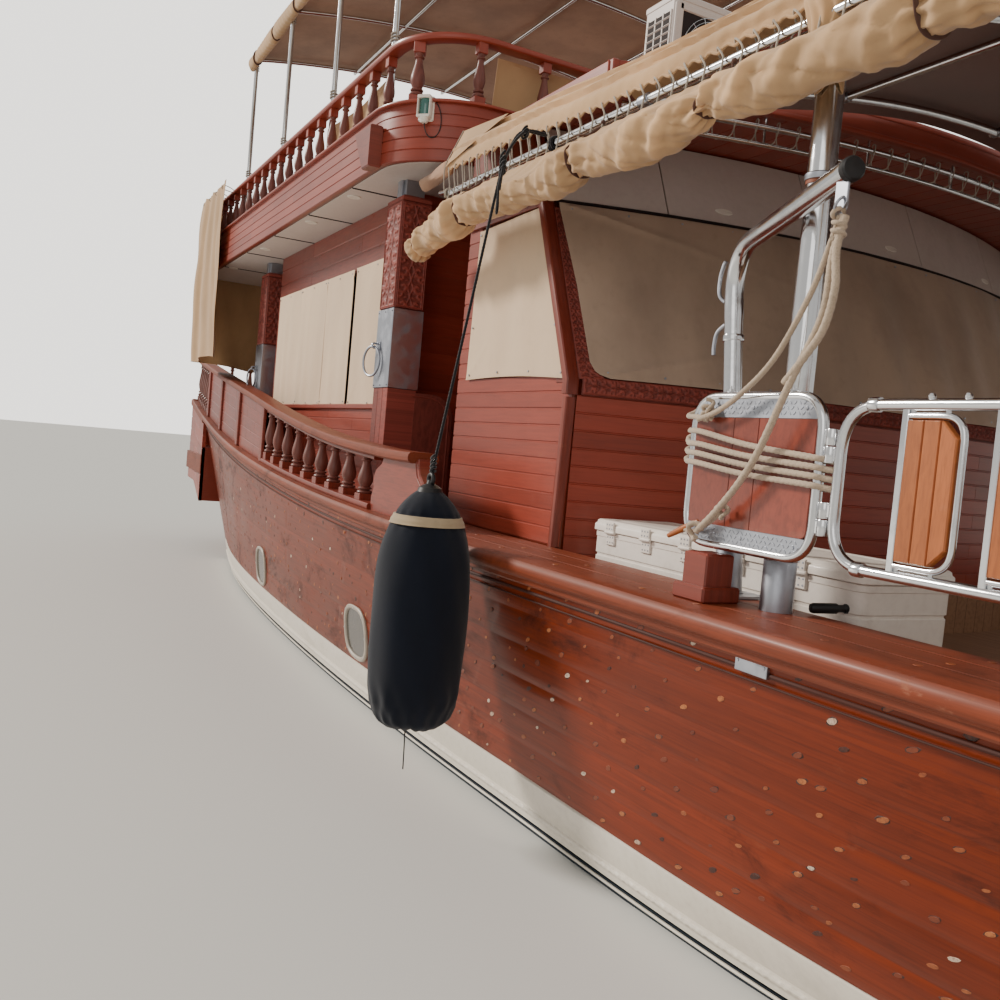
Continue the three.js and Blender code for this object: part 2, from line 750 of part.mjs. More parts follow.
// Curtains hang outside the windows, from the head beam to the sill.
const CURTAIN = 18;
for (const [name, side] of SIDES) {
  const ys = [side * (HOUSE_HALF + GAP), side * (HOUSE_HALF + GAP + CURTAIN)].sort((a, b) => a - b);
  piece(
    "front_side_curtain_" + name,
    prism(
      [
        [-330, SILL_Z - 60],
        [HOUSE_FORE_X - 50, SILL_Z - 60],
        [rakedX(HOUSE_HALF, WINDOW_TOP_Z + 60) - 30, WINDOW_TOP_Z + 60],
        [-330, WINDOW_TOP_Z + 60],
      ],
      "y", ys[0], ys[1],
    ),
    "curtain",
  );
  piece("saloon_curtain_" + name, box(-5240, -1530, ys[0], ys[1], SALOON_SILL_Z - 60, SALOON_HEAD_Z + 60), "curtain");
}
const curtainFace = (out) => (u, v) => {
  const y = mix(-FRONT_HALF, FRONT_HALF, u);
  const z = mix(SILL_Z, WINDOW_TOP_Z + 60, v);
  return [rakedX(y, z) + out, y, z];
};
piece("front_curtain", between(FRONT_STEPS, 1, curtainFace(GAP + CURTAIN), curtainFace(GAP)), "curtain");

// A board with one rounded corner runs inboard from each forward post.
const BREAST_BOARD = { inner: 1865, outer: 2390, top: 2270, corner: 170, thick: 50 };
function breastBoard(x, side) {
  const { inner, outer, top, corner, thick } = BREAST_BOARD;
  const arc = steps(0, 90, 5).map((a) => {
    const t = (a * Math.PI) / 180;
    return [inner + corner - corner * Math.cos(t), top - corner + corner * Math.sin(t)];
  });
  const outline = [[outer, 1350], [inner, 1350], ...arc, [outer, top]].map(([y, z]) => [side * y, z]);
  return prism(outline, "x", x - thick, x);
}
// Square posts between the covering board and the upper deck
for (const [name, side] of SIDES) {
  for (const [place, x1] of [["fore", POST_FORE_X], ["aft", POST_AFT_X]]) {
    const x0 = x1 - POST_WIDTH;
    const outer = place === "fore" ? POST_OUTER_Y : POST_OUTER_Y - 130;
    const [y0, y1] = [side * outer, side * (outer - 230)].sort((a, b) => a - b);
    const low = sheer(x0) - 30;
    const shaft = box(x0, x1, y0, y1, low, SOFFIT_Z - 130);
    const clad = box(x0 - 8, x1 + 8, y0 - 8, y1 + 8, 2300, 2850);
    const foot = box(x0 - 25, x1 + 25, y0 - 20, y1 + 20, low, low + 150);
    const head = box(x0 + 60, x1 - 60, y0 + 40, y1 - 40, SOFFIT_Z - 140, SOFFIT_Z - GAP);
    const parts = [shaft, clad, foot, head];
    if (place === "fore") parts.push(breastBoard(x1, side));
    piece("post_" + place + "_" + name, onRail(...parts), "teak");
  }
}

// Upper deck with rounded forward corners, its balustrade, the roof of the front room
function roundedDeck(inset, aft = UPPER_AFT_X) {
  const points = [];
  const half = UPPER_HALF - inset;
  const radius = UPPER_CORNER - inset;
  const fore = UPPER_FORE_X - inset;
  points.push([aft + inset, -half]);
  for (const a of steps(-90, 0, 6)) {
    const t = (a * Math.PI) / 180;
    points.push([fore - radius + radius * Math.cos(t), -half + radius + radius * Math.sin(t)]);
  }
  for (const a of steps(0, 90, 6)) {
    const t = (a * Math.PI) / 180;
    points.push([fore - radius + radius * Math.cos(t), half - radius + radius * Math.sin(t)]);
  }
  points.push([aft + inset, half]);
  return points;
}
piece("upper_deck", prism(roundedDeck(0), "z", SOFFIT_Z, UPPER_TOP_Z), "teak");
const ROOF_FORE_X = HOUSE_FORE_X + 120;
const roofLine = steps(-1, 1, 12).map((s) => {
  const y = s * (HOUSE_HALF + 30);
  return [ROOF_FORE_X + HOUSE_BOW * (1 - s * s), y];
});
piece(
  "front_roof",
  prism(
    [
      [UPPER_FORE_X + GAP, HOUSE_HALF + 30],
      [UPPER_FORE_X + GAP, -HOUSE_HALF - 30],
      ...roofLine,
    ],
    "z", SOFFIT_Z, ROOF_TOP_Z,
  ),
  "darkTeak",
);
function upperBalustrade() {
  const outer = roundedDeck(60);
  const inner = roundedDeck(130);
  const ring = (low, high) =>
    cut(prism(outer, "z", low, high), prism(inner, "z", low - 5, high + 5));
  const stands = [];
  const line = roundedDeck(95);
  const closed = [...line, line[0]];
  for (let i = 0; i + 1 < closed.length; i++) {
    const [a, b] = [closed[i], closed[i + 1]];
    const length = Math.hypot(b[0] - a[0], b[1] - a[1]);
    const count = Math.max(1, Math.round(length / 560));
    for (let k = 0; k < count; k++) {
      if (length < 300 && i % 3) continue;
      stands.push(
        baluster(
          mix(a[0], b[0], k / count), mix(a[1], b[1], k / count),
          UPPER_TOP_Z + GAP, UPPER_RAIL_Z - 45, 40, 5,
        ),
      );
    }
  }
  return join(ring(UPPER_RAIL_Z - 60, UPPER_RAIL_Z), stands);
}
piece("upper_balustrade", upperBalustrade(), "teak");

// Poles and canvas over the upper deck
const CANVAS = 20;
const TOP_POLES = [-6300, -4700, -3000, -1500];
const TOP_POLE_Y = 2440;
const TOP_CROWN = 250;
function topFrame() {
  const parts = [];
  for (const [, side] of SIDES) {
    const y = side * TOP_POLE_Y;
    for (const x of TOP_POLES) {
      parts.push(rod([x, y, UPPER_TOP_Z + GAP], [x, y, TOP_AWNING_Z], 24, 8));
    }
    parts.push(rod([-6420, y, TOP_AWNING_Z], [-1000, y, TOP_AWNING_Z], 24, 8));
  }
  for (const x of TOP_POLES) {
    parts.push(
      tube(
        steps(-1, 1, 8).map((t) => [x, t * TOP_POLE_Y, TOP_AWNING_Z + TOP_CROWN * (1 - t * t)]),
        22, 6,
      ),
    );
  }
  return join(parts);
}
piece("top_awning_frame", topFrame(), "steel");
piece(
  "top_awning",
  between(
    6, 8,
    (u, v) => topSheet(u, v, PIPE_RADIUS + GAP + CANVAS),
    (u, v) => topSheet(u, v, PIPE_RADIUS + GAP),
  ),
  "canvas",
);
function topSheet(u, v, up) {
  const y = mix(-TOP_POLE_Y, TOP_POLE_Y, v);
  return [mix(-6460, -950, u), y, TOP_AWNING_Z + TOP_CROWN * (1 - (y / TOP_POLE_Y) ** 2) + up];
}

// Canvas hung round the aft end of the upper deck
function aftDrape() {
  const wall = (low, high) => {
    const [a, b] = [UPPER_AFT_X - 170, UPPER_AFT_X - GAP];
    const [h0, h1] = [UPPER_HALF + GAP, UPPER_HALF + 170];
    const fore = -6150;
    return prism(
      [
        [fore, -h1],
        [fore, -h0],
        [b, -h0],
        [b, h0],
        [fore, h0],
        [fore, h1],
        [a, h1],
        [a, -h1],
      ],
      "z", low, high,
    );
  };
  return wall(2650, 4790);
}
piece("aft_drape", aftDrape(), "canvas");

// Foredeck awning: side pipes, hoops, posts, canvas roof and rolled side curtains
const HOOPS = [1860, 2920, 4060, 5150];
const hoopZ = (y) => AWNING_PIPE_Z + AWNING_CROWN * (1 - (y / AWNING_PIPE_Y) ** 2);
function awningFrame() {
  const parts = [];
  for (const [, side] of SIDES) {
    const y = side * AWNING_PIPE_Y;
    parts.push(rod([-300, y, AWNING_PIPE_Z], [AWNING_FORE_X, y, AWNING_PIPE_Z], 24, 8));
  }
  for (const x of HOOPS) {
    parts.push(
      tube(steps(-1, 1, 8).map((s) => [x, s * AWNING_PIPE_Y, hoopZ(s * AWNING_PIPE_Y)]), 22, 6),
    );
  }
  for (const y of [-1200, 0, 1200]) {
    parts.push(rod([HOOPS[0] - 40, y, hoopZ(y)], [AWNING_FORE_X, y, hoopZ(y)], 19, 6));
  }
  for (const [, side] of SIDES) {
    const y = side * 2330;
    const x = 5000;
    parts.push(onRail(rod([x, y, sheer(x) - 30], [x, y, hoopZ(y) - 20], 30, 8), rod([x, y, sheer(x) - 30], [x, y, sheer(x) + 15], 80, 10)));
    parts.push(rod([x, y, hoopZ(y) - 30], [x, side * AWNING_PIPE_Y, AWNING_PIPE_Z], 24, 8));
    parts.push(bigPost(side));
  }
  return join(parts);
}
// The stout post stands a little inboard of the side pipe and carries it on a short arm.
function bigPost(side) {
  const [x, y] = [BIG_POST_X, side * BIG_POST_Y];
  return join(
    onRail(
      rod([x, y, 1300], [x, y, AWNING_PIPE_Z], BIG_POST_RADIUS, 12),
      rod([x, y, 1300], [x, y, 1660], BIG_POST_RADIUS + 9, 12),
    ),
    rod([x, y, 2960], [x, y, 3010], BIG_POST_RADIUS + 8, 12),
    rod([x, y, AWNING_PIPE_Z - 20], [x, side * AWNING_PIPE_Y, AWNING_PIPE_Z], 24, 8),
  );
}
piece("awning_frame", awningFrame(), "steel");
const canvasSheet = (up) => (u, v) => {
  const y = mix(-2440, 2440, v);
  const aft = ROOF_FORE_X + 30 + HOUSE_BOW * (1 - (y / 2440) ** 2);
  return [mix(aft, AWNING_FORE_X + 30, u), y, hoopZ(y) + up];
};
const VALANCE_RADIUS = 130;
const VALANCE_OUT = 128;
// The rolled curtain's middle line: place along the boat and drop below the side pipe
const VALANCE_LINE = [
  [-570, 340],
  [-200, 235],
  [450, 170],
  [4850, 165],
];
const VALANCE_STRAPS = [300, 1560, 2480, 3500, 4500];
piece("foredeck_canvas", between(5, 12, canvasSheet(45), canvasSheet(25)), "canvas");
for (const [name, side] of SIDES) {
  const strip = (up) => (u, v) => {
    const y = mix(2448, HOUSE_HALF + 28.6, v);
    return [mix(-330, 1180, u), side * (y + up * 0.9), mix(3580, 3960, v ** 0.8) + up * 0.45];
  };
  piece("roof_side_canvas_" + name, between(2, 4, strip(22), strip(2)), "canvas");
  const y = side * (AWNING_PIPE_Y + VALANCE_OUT);
  const pipeY = side * AWNING_PIPE_Y;
  const straps = VALANCE_STRAPS.map((x) =>
    cut(
      box(x - 25, x + 25, pipeY, y, AWNING_PIPE_Z - 165, AWNING_PIPE_Z + 10),
      rod([x - 40, pipeY, AWNING_PIPE_Z], [x + 40, pipeY, AWNING_PIPE_Z], PIPE_RADIUS + 2 * GAP, 8),
    ),
  );
  piece(
    "rolled_valance_" + name,
    join(tube(VALANCE_LINE.map(([x, down]) => [x, y, AWNING_PIPE_Z - down]), VALANCE_RADIUS, 10), straps),
    "canvas",
  );
}

// Davit: a pipe post that leans a little aft and bends outboard and forward past the awning
// post, turning in its socket
const DAVIT_FOOT = [DAVIT_X, DAVIT_Y, SHEER_MID + 22];
const DAVIT_SHOULDER = [DAVIT_X - 158, DAVIT_Y - 10, 2800];
const DAVIT_TIP = [3320, -2625, 2870];
function davitSocket() {
  const low = sheer(DAVIT_X) - 20;
  const plate = box(DAVIT_X - 130, DAVIT_X + 130, DAVIT_Y - 85, DAVIT_Y + 100, low, low + 34);
  const [x, y] = DAVIT_FOOT;
  const lean = (DAVIT_SHOULDER[0] - x) / (DAVIT_SHOULDER[2] - DAVIT_FOOT[2]);
  const at = (z) => [x + lean * (z - DAVIT_FOOT[2]), y, z];
  const tubeBody = rod(at(low), at(low + 210), 54, 14);
  return cut(onRail(plate, tubeBody), rod(at(SHEER_MID + 21), at(low + 330), 44, 14));
}
piece("davit_socket", davitSocket(), "steel");
function davitArm() {
  const arm = tube(rounded([DAVIT_FOOT, DAVIT_SHOULDER, DAVIT_TIP], 190, 5), 38, 12);
  const [x, y, z] = DAVIT_TIP;
  const lug = box(x - 62, x - 12, y - 4, y + 20, z - 120, z - 15);
  const hooks = [
    tube(rounded([[DAVIT_X - 128, DAVIT_Y, 2590], [DAVIT_X - 225, DAVIT_Y - 12, 2630], [DAVIT_X - 225, DAVIT_Y - 12, 2760]], 40, 2), 9, 6),
    tube(rounded([[DAVIT_X - 120, DAVIT_Y, 2530], [DAVIT_X - 230, DAVIT_Y - 12, 2490], [DAVIT_X - 235, DAVIT_Y - 12, 2370]], 40, 2), 9, 6),
  ];
  return join(arm, lug, hooks);
}
piece("davit_arm", davitArm(), "steel");

// Boarding ladder stowed on its side over the covering board, with its hinged platform
const STOW_Y = -2505;
const PIPE = 19;
const PLATFORM = { aft: 2525, fore: 3215, low: 1600, high: 2195 };
const LADDER = { aft: 3262, fore: 5700, low: 1606, high: 2165, pitch: 310, tread: 210 };
const HINGE_X = 3238;
const KNUCKLE = 58;
const KNUCKLES = [1710, 2010];
function pipeLoop({ aft, fore, low, high }, corner) {
  const [x0, x1, z0, z1] = [aft + PIPE, fore - PIPE, low + PIPE, high - PIPE];
  const corners = [
    [x0, STOW_Y, z0],
    [x1, STOW_Y, z0],
    [x1, STOW_Y, z1],
    [x0, STOW_Y, z1],
  ];
  return tube(rounded(corners, corner, 3, true), PIPE, 8, true);
}
const hingeLugs = (x0, x1, heights) =>
  heights.map((z) => box(x0, x1, STOW_Y - 11, STOW_Y + 11, z, z + KNUCKLE));
function platform() {
  const { aft, fore, low, high } = PLATFORM;
  const board = box(aft + PIPE, fore - PIPE, STOW_Y - 14, STOW_Y + 14, low + 24, high - 24);
  return join(pipeLoop(PLATFORM, 110), board, hingeLugs(fore - 24, HINGE_X + 8, KNUCKLES));
}
piece("boarding_platform", platform(), "teak");
function ladder() {
  const { aft, fore, low, high, pitch, tread } = LADDER;
  const treads = [];
  for (let x = aft + 255; x + tread < fore - 150; x += pitch) {
    treads.push(box(x, x + tread, STOW_Y - 16, STOW_Y + 16, low + 20, high - 20));
  }
  const rests = [4300, 5400].map((x) =>
    onRail(box(x - 45, x + 45, STOW_Y - 30, STOW_Y + 30, 1380, low + 18)),
  );
  const lugs = hingeLugs(HINGE_X - 8, aft + 24, [KNUCKLES[0] + KNUCKLE + GAP, KNUCKLES[1] - KNUCKLE - GAP]);
  return join(pipeLoop(LADDER, 130), treads, lugs, rests);
}
piece("boarding_ladder", ladder(), "steel");

// Wooden bitts on the covering boards
const BITT = { x: 2690, y: 2500, half: 68, foot: 92, height: 180 };
for (const [name, side] of SIDES) {
  const { x, y: out, half, foot, height } = BITT;
  const y = side * out;
  const low = sheer(x) - 30;
  piece(
    "bitt_" + name,
    onRail(
      box(x - half, x + half, y - half, y + half, low, low + 30 + height),
      box(x - foot, x + foot, y - foot, y + foot, low, low + 30 + 60),
    ),
    "teak",
  );
}

// Deck ice chest with its lid
const CHEST = { x0: 1335, x1: 3100, y0: -2125, y1: -1620, top: 1590, lid: 60, wall: 55 };
function chest() {
  const { x0, x1, y0, y1, top, lid, wall } = CHEST;
  const body = box(x0, x1, y0, y1, WELL_Z + GAP, top - lid);
  return cut(body, box(x0 + wall, x1 - wall, y0 + wall, y1 - wall, WELL_Z + 80, top));
}
piece("ice_chest", chest(), "chest");
piece(
  "ice_chest_lid",
  box(CHEST.x0 - 12, CHEST.x1 + 12, CHEST.y0 - 12, CHEST.y1 + 12, CHEST.top - CHEST.lid + GAP, CHEST.top),
  "chest",
);

// Fender hung outside the starboard side by a line over the rolled curtain
const FENDER = { x: 1170, y: -3012, low: 490, radius: 240, height: 1200 };
const FENDER_PROFILE = [
  [0, 0],
  [0.5, 0.015],
  [0.92, 0.11],
  [1, 0.35],
  [0.96, 0.7],
  [0.66, 0.89],
  [0.2, 0.985],
  [0, 1],
];
function fender() {
  const { x, y, low, radius, height } = FENDER;
  const body = turned(FENDER_PROFILE.map(([r, z]) => [r * radius, z * height]), [x, y, low], 14);
  const line = tube(
    [
      [x, y, low + height - 40],
      [1060, -2702, 3400],
      [1054, -2615, 3540],
      [1052, -2447, 3536],
    ],
    9, 6,
  );
  const hitch = (reach, out) =>
    rod([1052 - reach, -AWNING_PIPE_Y, AWNING_PIPE_Z], [1052 + reach, -AWNING_PIPE_Y, AWNING_PIPE_Z], out, 24);
  return cut(join(body, line, hitch(20, 25 + 11)), hitch(40, PIPE_RADIUS + 3 * GAP));
}
piece("fender_starboard", fender(), "fender");

// Side lights on the fascia at the upper deck's forward corners, facing 45 degrees outward
for (const [name, side, glass] of [["starboard", -1, "green"], ["port", 1, "red"]]) {
  const block = (out, deep, wide, low, high) => {
    const g = new THREE.BoxGeometry(deep, wide, high - low);
    const reach = (UPPER_CORNER + GAP + out + deep / 2) * Math.SQRT1_2;
    g.rotateZ((side * Math.PI) / 4);
    g.translate(UPPER_FORE_X - UPPER_CORNER + reach, side * (UPPER_HALF - UPPER_CORNER + reach), (low + high) / 2);
    return solid(g);
  };
  piece(
    "sidelight_" + name,
    join(block(0, 20, 110, UPPER_TOP_Z - 130, UPPER_TOP_Z + 40), block(10, 75, 84, UPPER_TOP_Z - 110, UPPER_TOP_Z + 20)),
    glass,
  );
}

piece(
  "air_conditioner",
  box(640, 960, -1650, -850, ROOF_TOP_Z + GAP, ROOF_TOP_Z + 620),
  "white",
);

// Mast, its stays, the yard with the furled sail
const YARD_Z = 7500;
piece(
  "mast",
  join(
    rod([MAST_X, 0, WELL_Z + GAP], [MAST_X, 0, MAST_TOP_Z], MAST_RADIUS, 14, 95),
    rod([MAST_X, 0, WELL_Z + GAP], [MAST_X, 0, WELL_Z + 260], MAST_RADIUS + 70, 14),
    rod([MAST_X, 0, YARD_Z - 160], [MAST_X, 0, YARD_Z - 70 - GAP], 165, 14),
    rod([MAST_X, 0, MAST_TOP_Z - 10], [MAST_X, 0, MAST_TOP_Z + 150], 125, 14, 70),
  ),
  "teak",
);
const mastRadius = (z) => mix(MAST_RADIUS, 95, (z - WELL_Z) / (MAST_TOP_Z - WELL_Z));
const STAY_FEET = [
  [5450, 2330],
  [6750, 2150],
];
const STAY_Z = 9350;
function stays() {
  const band = cut(
    rod([MAST_X, 0, STAY_Z - 40], [MAST_X, 0, STAY_Z + 40], 130, 14),
    rod([MAST_X, 0, STAY_Z - 60], [MAST_X, 0, STAY_Z + 60], mastRadius(STAY_Z - 40) + GAP, 14),
  );
  const parts = [band];
  for (const [, side] of SIDES) {
    for (const [x, y] of STAY_FEET) {
      parts.push(rod([MAST_X, side * 118, STAY_Z], [x, side * y, sheer(x) + 60], 11, 6));
      parts.push(onRail(rod([x, side * y, sheer(x) - 40], [x, side * y, sheer(x) + 90], 30, 8)));
    }
  }
  return join(parts);
}
piece("mast_stays", stays(), "steel");

const YARD_Y = -300;
const YARD_LOW_X = 10300;
const YARD_HIGH_X = -1400;
const YARD_SLOPE = 0.55;
function yardPoint(t, drop = 0) {
  const x = mix(YARD_LOW_X, YARD_HIGH_X, t);
  return [x, YARD_Y, YARD_Z + (MAST_X - x) * YARD_SLOPE - drop];
}
const yardHangT = (MAST_X - YARD_LOW_X) / (YARD_HIGH_X - YARD_LOW_X);
const yardSpar = (grow) =>
  join(
    rod(yardPoint(0), yardPoint(yardHangT), 60 + grow, 10, 95 + grow),
    rod(yardPoint(yardHangT), yardPoint(1), 95 + grow, 10, 45 + grow),
  );
function yard() {
  const hang = yardPoint(yardHangT);
  const spar = yardSpar(0);
  const parrel = cut(
    rod([MAST_X, 0, hang[2] - 70], [MAST_X, 0, hang[2] + 70], 190, 14),
    rod([MAST_X, 0, hang[2] - 90], [MAST_X, 0, hang[2] + 90], 122, 14),
  );
  const link = box(MAST_X - 60, MAST_X + 60, YARD_Y, -170, hang[2] - 50, hang[2] + 50);
  return join(spar, parrel, link);
}
piece("yard", yard(), "teak");
// Lashings that hold the furled sail under the yard
const GASKETS = [0.12, 0.24, 0.48, 0.6, 0.72, 0.84];
piece(
  "furled_sail",
  cut(
    join(
      rod(yardPoint(0.04, 190), yardPoint(0.45, 262), 80, 8, 125),
      rod(yardPoint(0.45, 262), yardPoint(0.93, 205), 125, 8, 70),
      GASKETS.map((t) => rod(yardPoint(t - 0.002, 90), yardPoint(t + 0.002, 90), 128, 8)),
    ),
    yardSpar(GAP),
  ),
  "canvas",
);

// Rudder and propeller
function rudder() {
  const blade = prism(
    [
      [RUDDER_X + 140, -1470],
      [RUDDER_X + 140, -420],
      [RUDDER_X - 640, -360],
      [RUDDER_X - 760, -1400],
      [RUDDER_X - 640, -1470],
    ],
    "y", -40, 40,
  );
  return join(blade, rod([RUDDER_X, 0, -1500 + GAP], [RUDDER_X, 0, -330 - GAP], 55, 12));
}
piece("rudder", rudder(), "bronze");
function propeller() {
  const hub = rod([-7440 - GAP, 0, SHAFT_Z], [-7660, 0, SHAFT_Z], 80, 12, 55);
  const blades = [0, 90, 180, 270].map((turn) => {
    const at = (r, c, thick) => {
      const pitch = Math.atan2(260, r);
      const width = 150 * Math.sin(Math.PI * clamp(r / PROPELLER_RADIUS, 0.15, 0.9)) + 40;
      const s = (c - 0.5) * width;
      const x = -7550 + s * Math.sin(pitch) + thick * Math.cos(pitch);
      const side = s * Math.cos(pitch) - thick * Math.sin(pitch);
      const a = (turn * Math.PI) / 180;
      return [x, r * Math.sin(a) + side * Math.cos(a), SHAFT_Z + r * Math.cos(a) - side * Math.sin(a)];
    };
    return between(
      5, 2,
      (u, v) => at(mix(45, PROPELLER_RADIUS, u), v, 9),
      (u, v) => at(mix(45, PROPELLER_RADIUS, u), v, -9),
    );
  });
  return join(hub, blades);
}
piece("propeller", propeller(), "bronze");

export default boat;
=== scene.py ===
"""A Gulf passenger dhow afloat: planked hull, deckhouse, upper deck, awnings, davit, boarding
ladder, fender, lateen rig. Metres, +X to the bow, +Y to port, +Z up, the waterline at zero."""
import math

import bpy
import numpy as np
from bpy.props import FloatProperty, FloatVectorProperty, IntProperty, PointerProperty
from mathutils import Matrix, Vector
from mathutils.geometry import tessellate_polygon


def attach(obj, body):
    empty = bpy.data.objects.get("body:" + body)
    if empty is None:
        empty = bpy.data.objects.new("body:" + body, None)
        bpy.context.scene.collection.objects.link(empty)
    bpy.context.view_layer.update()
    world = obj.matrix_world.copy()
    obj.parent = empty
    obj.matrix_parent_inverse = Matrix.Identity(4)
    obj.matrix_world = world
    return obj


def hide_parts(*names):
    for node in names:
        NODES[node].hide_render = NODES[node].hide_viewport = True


bl_info = {
    "name": "Passenger Dhow",
    "version": (1, 0, 0),
    "blender": (4, 5, 0),
    "location": "View3D > Sidebar > Dhow",
    "description": "Planking, joinery, canvas, rigging and fittings of a dhow, on its solids",
    "category": "Add Mesh",
}

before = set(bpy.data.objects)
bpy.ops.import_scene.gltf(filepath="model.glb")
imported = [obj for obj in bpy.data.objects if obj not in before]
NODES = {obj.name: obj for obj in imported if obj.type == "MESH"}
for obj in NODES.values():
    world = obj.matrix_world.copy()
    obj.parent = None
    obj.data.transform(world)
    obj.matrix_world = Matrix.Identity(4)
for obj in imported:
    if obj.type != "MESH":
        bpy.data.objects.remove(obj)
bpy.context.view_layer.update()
SIDES = (("starboard", -1), ("port", 1))
AHEAD, ABEAM, UP = (1, 0, 0), (0, 1, 0), (0, 0, 1)


def shade(r, g, b):
    """Linear colour of 0-255 display values."""
    return tuple((c / 255 / 12.92) if c <= 10 else ((c / 255 + 0.055) / 1.055) ** 2.4
                 for c in (r, g, b))


# Sizes and colours
def length(name, value, what, low=0.0, high=2.0):
    return FloatProperty(name=name, default=value, description=what, min=low, max=high,
                         unit="LENGTH")


def colour(name, rgb, what):
    return FloatVectorProperty(name=name, default=shade(*rgb), description=what, size=3,
                               subtype="COLOR")


class DhowSizes(bpy.types.PropertyGroup):
    strake: length("Strake width", 0.165, "Width of a hull plank")
    seam: length("Seam depth", 0.003, "Depth of the seams between hull planks", 0, 0.05)
    plug: length("Plug diameter", 0.035, "Diameter of the wooden plugs over the fastenings", 0, 0.1)
    plug_step: length("Plug spacing", 0.29, "Distance between plugs along a plank")
    house_board: length("House board", 0.096, "Width of a deckhouse board")
    baluster_step: length("Baluster spacing", 0.34, "Spacing of the upper deck's balusters")
    lacing_step: length("Lacing spacing", 0.105, "Distance between turns of the awning lacing")
    rope: length("Rope diameter", 0.023, "Diameter of the lashing rope", 0, 0.1)
    folds: IntProperty(name="Curtain folds", default=5, description="Soft folds in a curtain",
                       min=0)


class DhowColours(bpy.types.PropertyGroup):
    teak: colour("Hull teak", (120, 43, 11), "Varnished teak of the hull")
    teak_dark: colour("Dark teak", (72, 22, 7), "Grain and shaded teak")
    house: colour("House teak", (148, 60, 42), "Teak of the deckhouse and upper deck")
    canvas: colour("Canvas", (204, 166, 124), "Awning canvas")
    underside: colour("Awning underside", (98, 54, 38), "Underside of the awnings")
    curtain: colour("Curtain cloth", (226, 198, 166), "Window curtains")
    white: colour("White paint", (222, 214, 200), "Painted band at the waterline")
    navy: colour("Bottom paint", (14, 30, 46), "Paint under the waterline")
    rope: colour("Hemp", (190, 170, 148), "Natural rope")
    fender: colour("Fender cloth", (17, 23, 36), "Fender cover")


# Shapes
class Shape:
    """Vertices v, quads q, triangles t, a board tone a and a strip place uv for each vertex."""

    def __init__(self, v, q=(), t=(), a=0.5, uv=None):
        self.v = np.asarray(v, float).reshape(-1, 3)
        self.q = np.asarray(q, int).reshape(-1, 4)
        self.t = np.asarray(t, int).reshape(-1, 3)
        self.a = np.broadcast_to(np.asarray(a, float), len(self.v)).copy()
        self.uv = np.zeros((len(self.v), 2)) if uv is None else np.asarray(uv, float).reshape(-1, 2)

    def outward(self):
        """Turns every face round if the signed volume is negative."""
        tris = np.vstack([self.t, self.q[:, [0, 1, 2]], self.q[:, [0, 2, 3]]])
        a, b, c = (self.v[tris[:, k]] for k in range(3))
        if np.einsum("ij,ij->i", a, np.cross(b, c)).sum() < 0:
            self.q, self.t = self.q[:, ::-1], self.t[:, ::-1]
        return self

    def moved(self, by=(0, 0, 0), turn=None, about=(0, 0, 0)):
        """A copy turned by a 3 by 3 matrix about a point, then shifted."""
        v = self.v - about
        if turn is not None:
            v = v @ np.asarray(turn, float).T
        return Shape(v + about + by, self.q, self.t, self.a, self.uv)

    def mirrored(self):
        """A copy reflected across the centre plane, faces turned back outwards."""
        v = self.v.copy()
        v[:, 1] *= -1
        return Shape(v, self.q[:, ::-1], self.t[:, ::-1], self.a, self.uv)


def merge(*shapes):
    shapes = [s for part in shapes for s in (part if isinstance(part, (list, tuple)) else [part])]
    starts = np.cumsum([0] + [len(s.v) for s in shapes[:-1]])
    return Shape(
        np.vstack([s.v for s in shapes]),
        np.vstack([s.q + k for s, k in zip(shapes, starts)]),
        np.vstack([s.t + k for s, k in zip(shapes, starts)]),
        np.concatenate([s.a for s in shapes]),
        np.vstack([s.uv for s in shapes]),
    )


def cells(nu, nv, wrap_u=False, wrap_v=False):
    """Quads of a grid of nu by nv points, joined round where it wraps."""
    i, j = grid(np.arange(nu if wrap_u else nu - 1), np.arange(nv if wrap_v else nv - 1))
    i2, j2 = (i + 1) % nu, (j + 1) % nv
    return stacked(i * nv + j, i2 * nv + j, i2 * nv + j2, i * nv + j2).reshape(-1, 4)


def strip_uv(p):
    """Distance along each way of a grid of points, in metres."""
    u = np.r_[0, np.cumsum(np.linalg.norm(np.diff(p.mean(1), axis=0), axis=1))]
    v = np.r_[0, np.cumsum(np.linalg.norm(np.diff(p.mean(0), axis=0), axis=1))]
    return np.stack(grid(u, v), -1)


def sheet(p):
    """An open surface through a grid of points."""
    p = np.asarray(p, float)
    return Shape(p, cells(*p.shape[:2]), a=np.full(p[..., 0].size, 0.5), uv=strip_uv(p))


def loft(p, tone=0.5, closed=False):
    """Rings of points, one after the other: joined round each ring, and capped at both ends by
    fans about the ring's middle, or joined end to start."""
    p = np.asarray(p, float)
    n, m = p.shape[:2]
    tone = np.broadcast_to(tone, (n, m)).ravel()
    q = cells(n, m, wrap_u=closed, wrap_v=True)
    uv = strip_uv(np.concatenate([p, p[:, :1]], 1))[:, :m]
    if closed:
        return Shape(p, q, a=tone, uv=uv).outward()
    v = np.vstack([p.reshape(-1, 3), p[0].mean(0), p[-1].mean(0)])
    k = np.arange(m)
    k2 = (k + 1) % m
    first = stacked(n * m, k2, k)
    last = stacked(n * m + 1, (n - 1) * m + k, (n - 1) * m + k2)
    uv = np.vstack([uv.reshape(-1, 2), uv[0, 0], uv[-1, 0]])
    return Shape(v, q, np.vstack([first, last]), np.r_[tone, tone[0], tone[-1]], uv).outward()


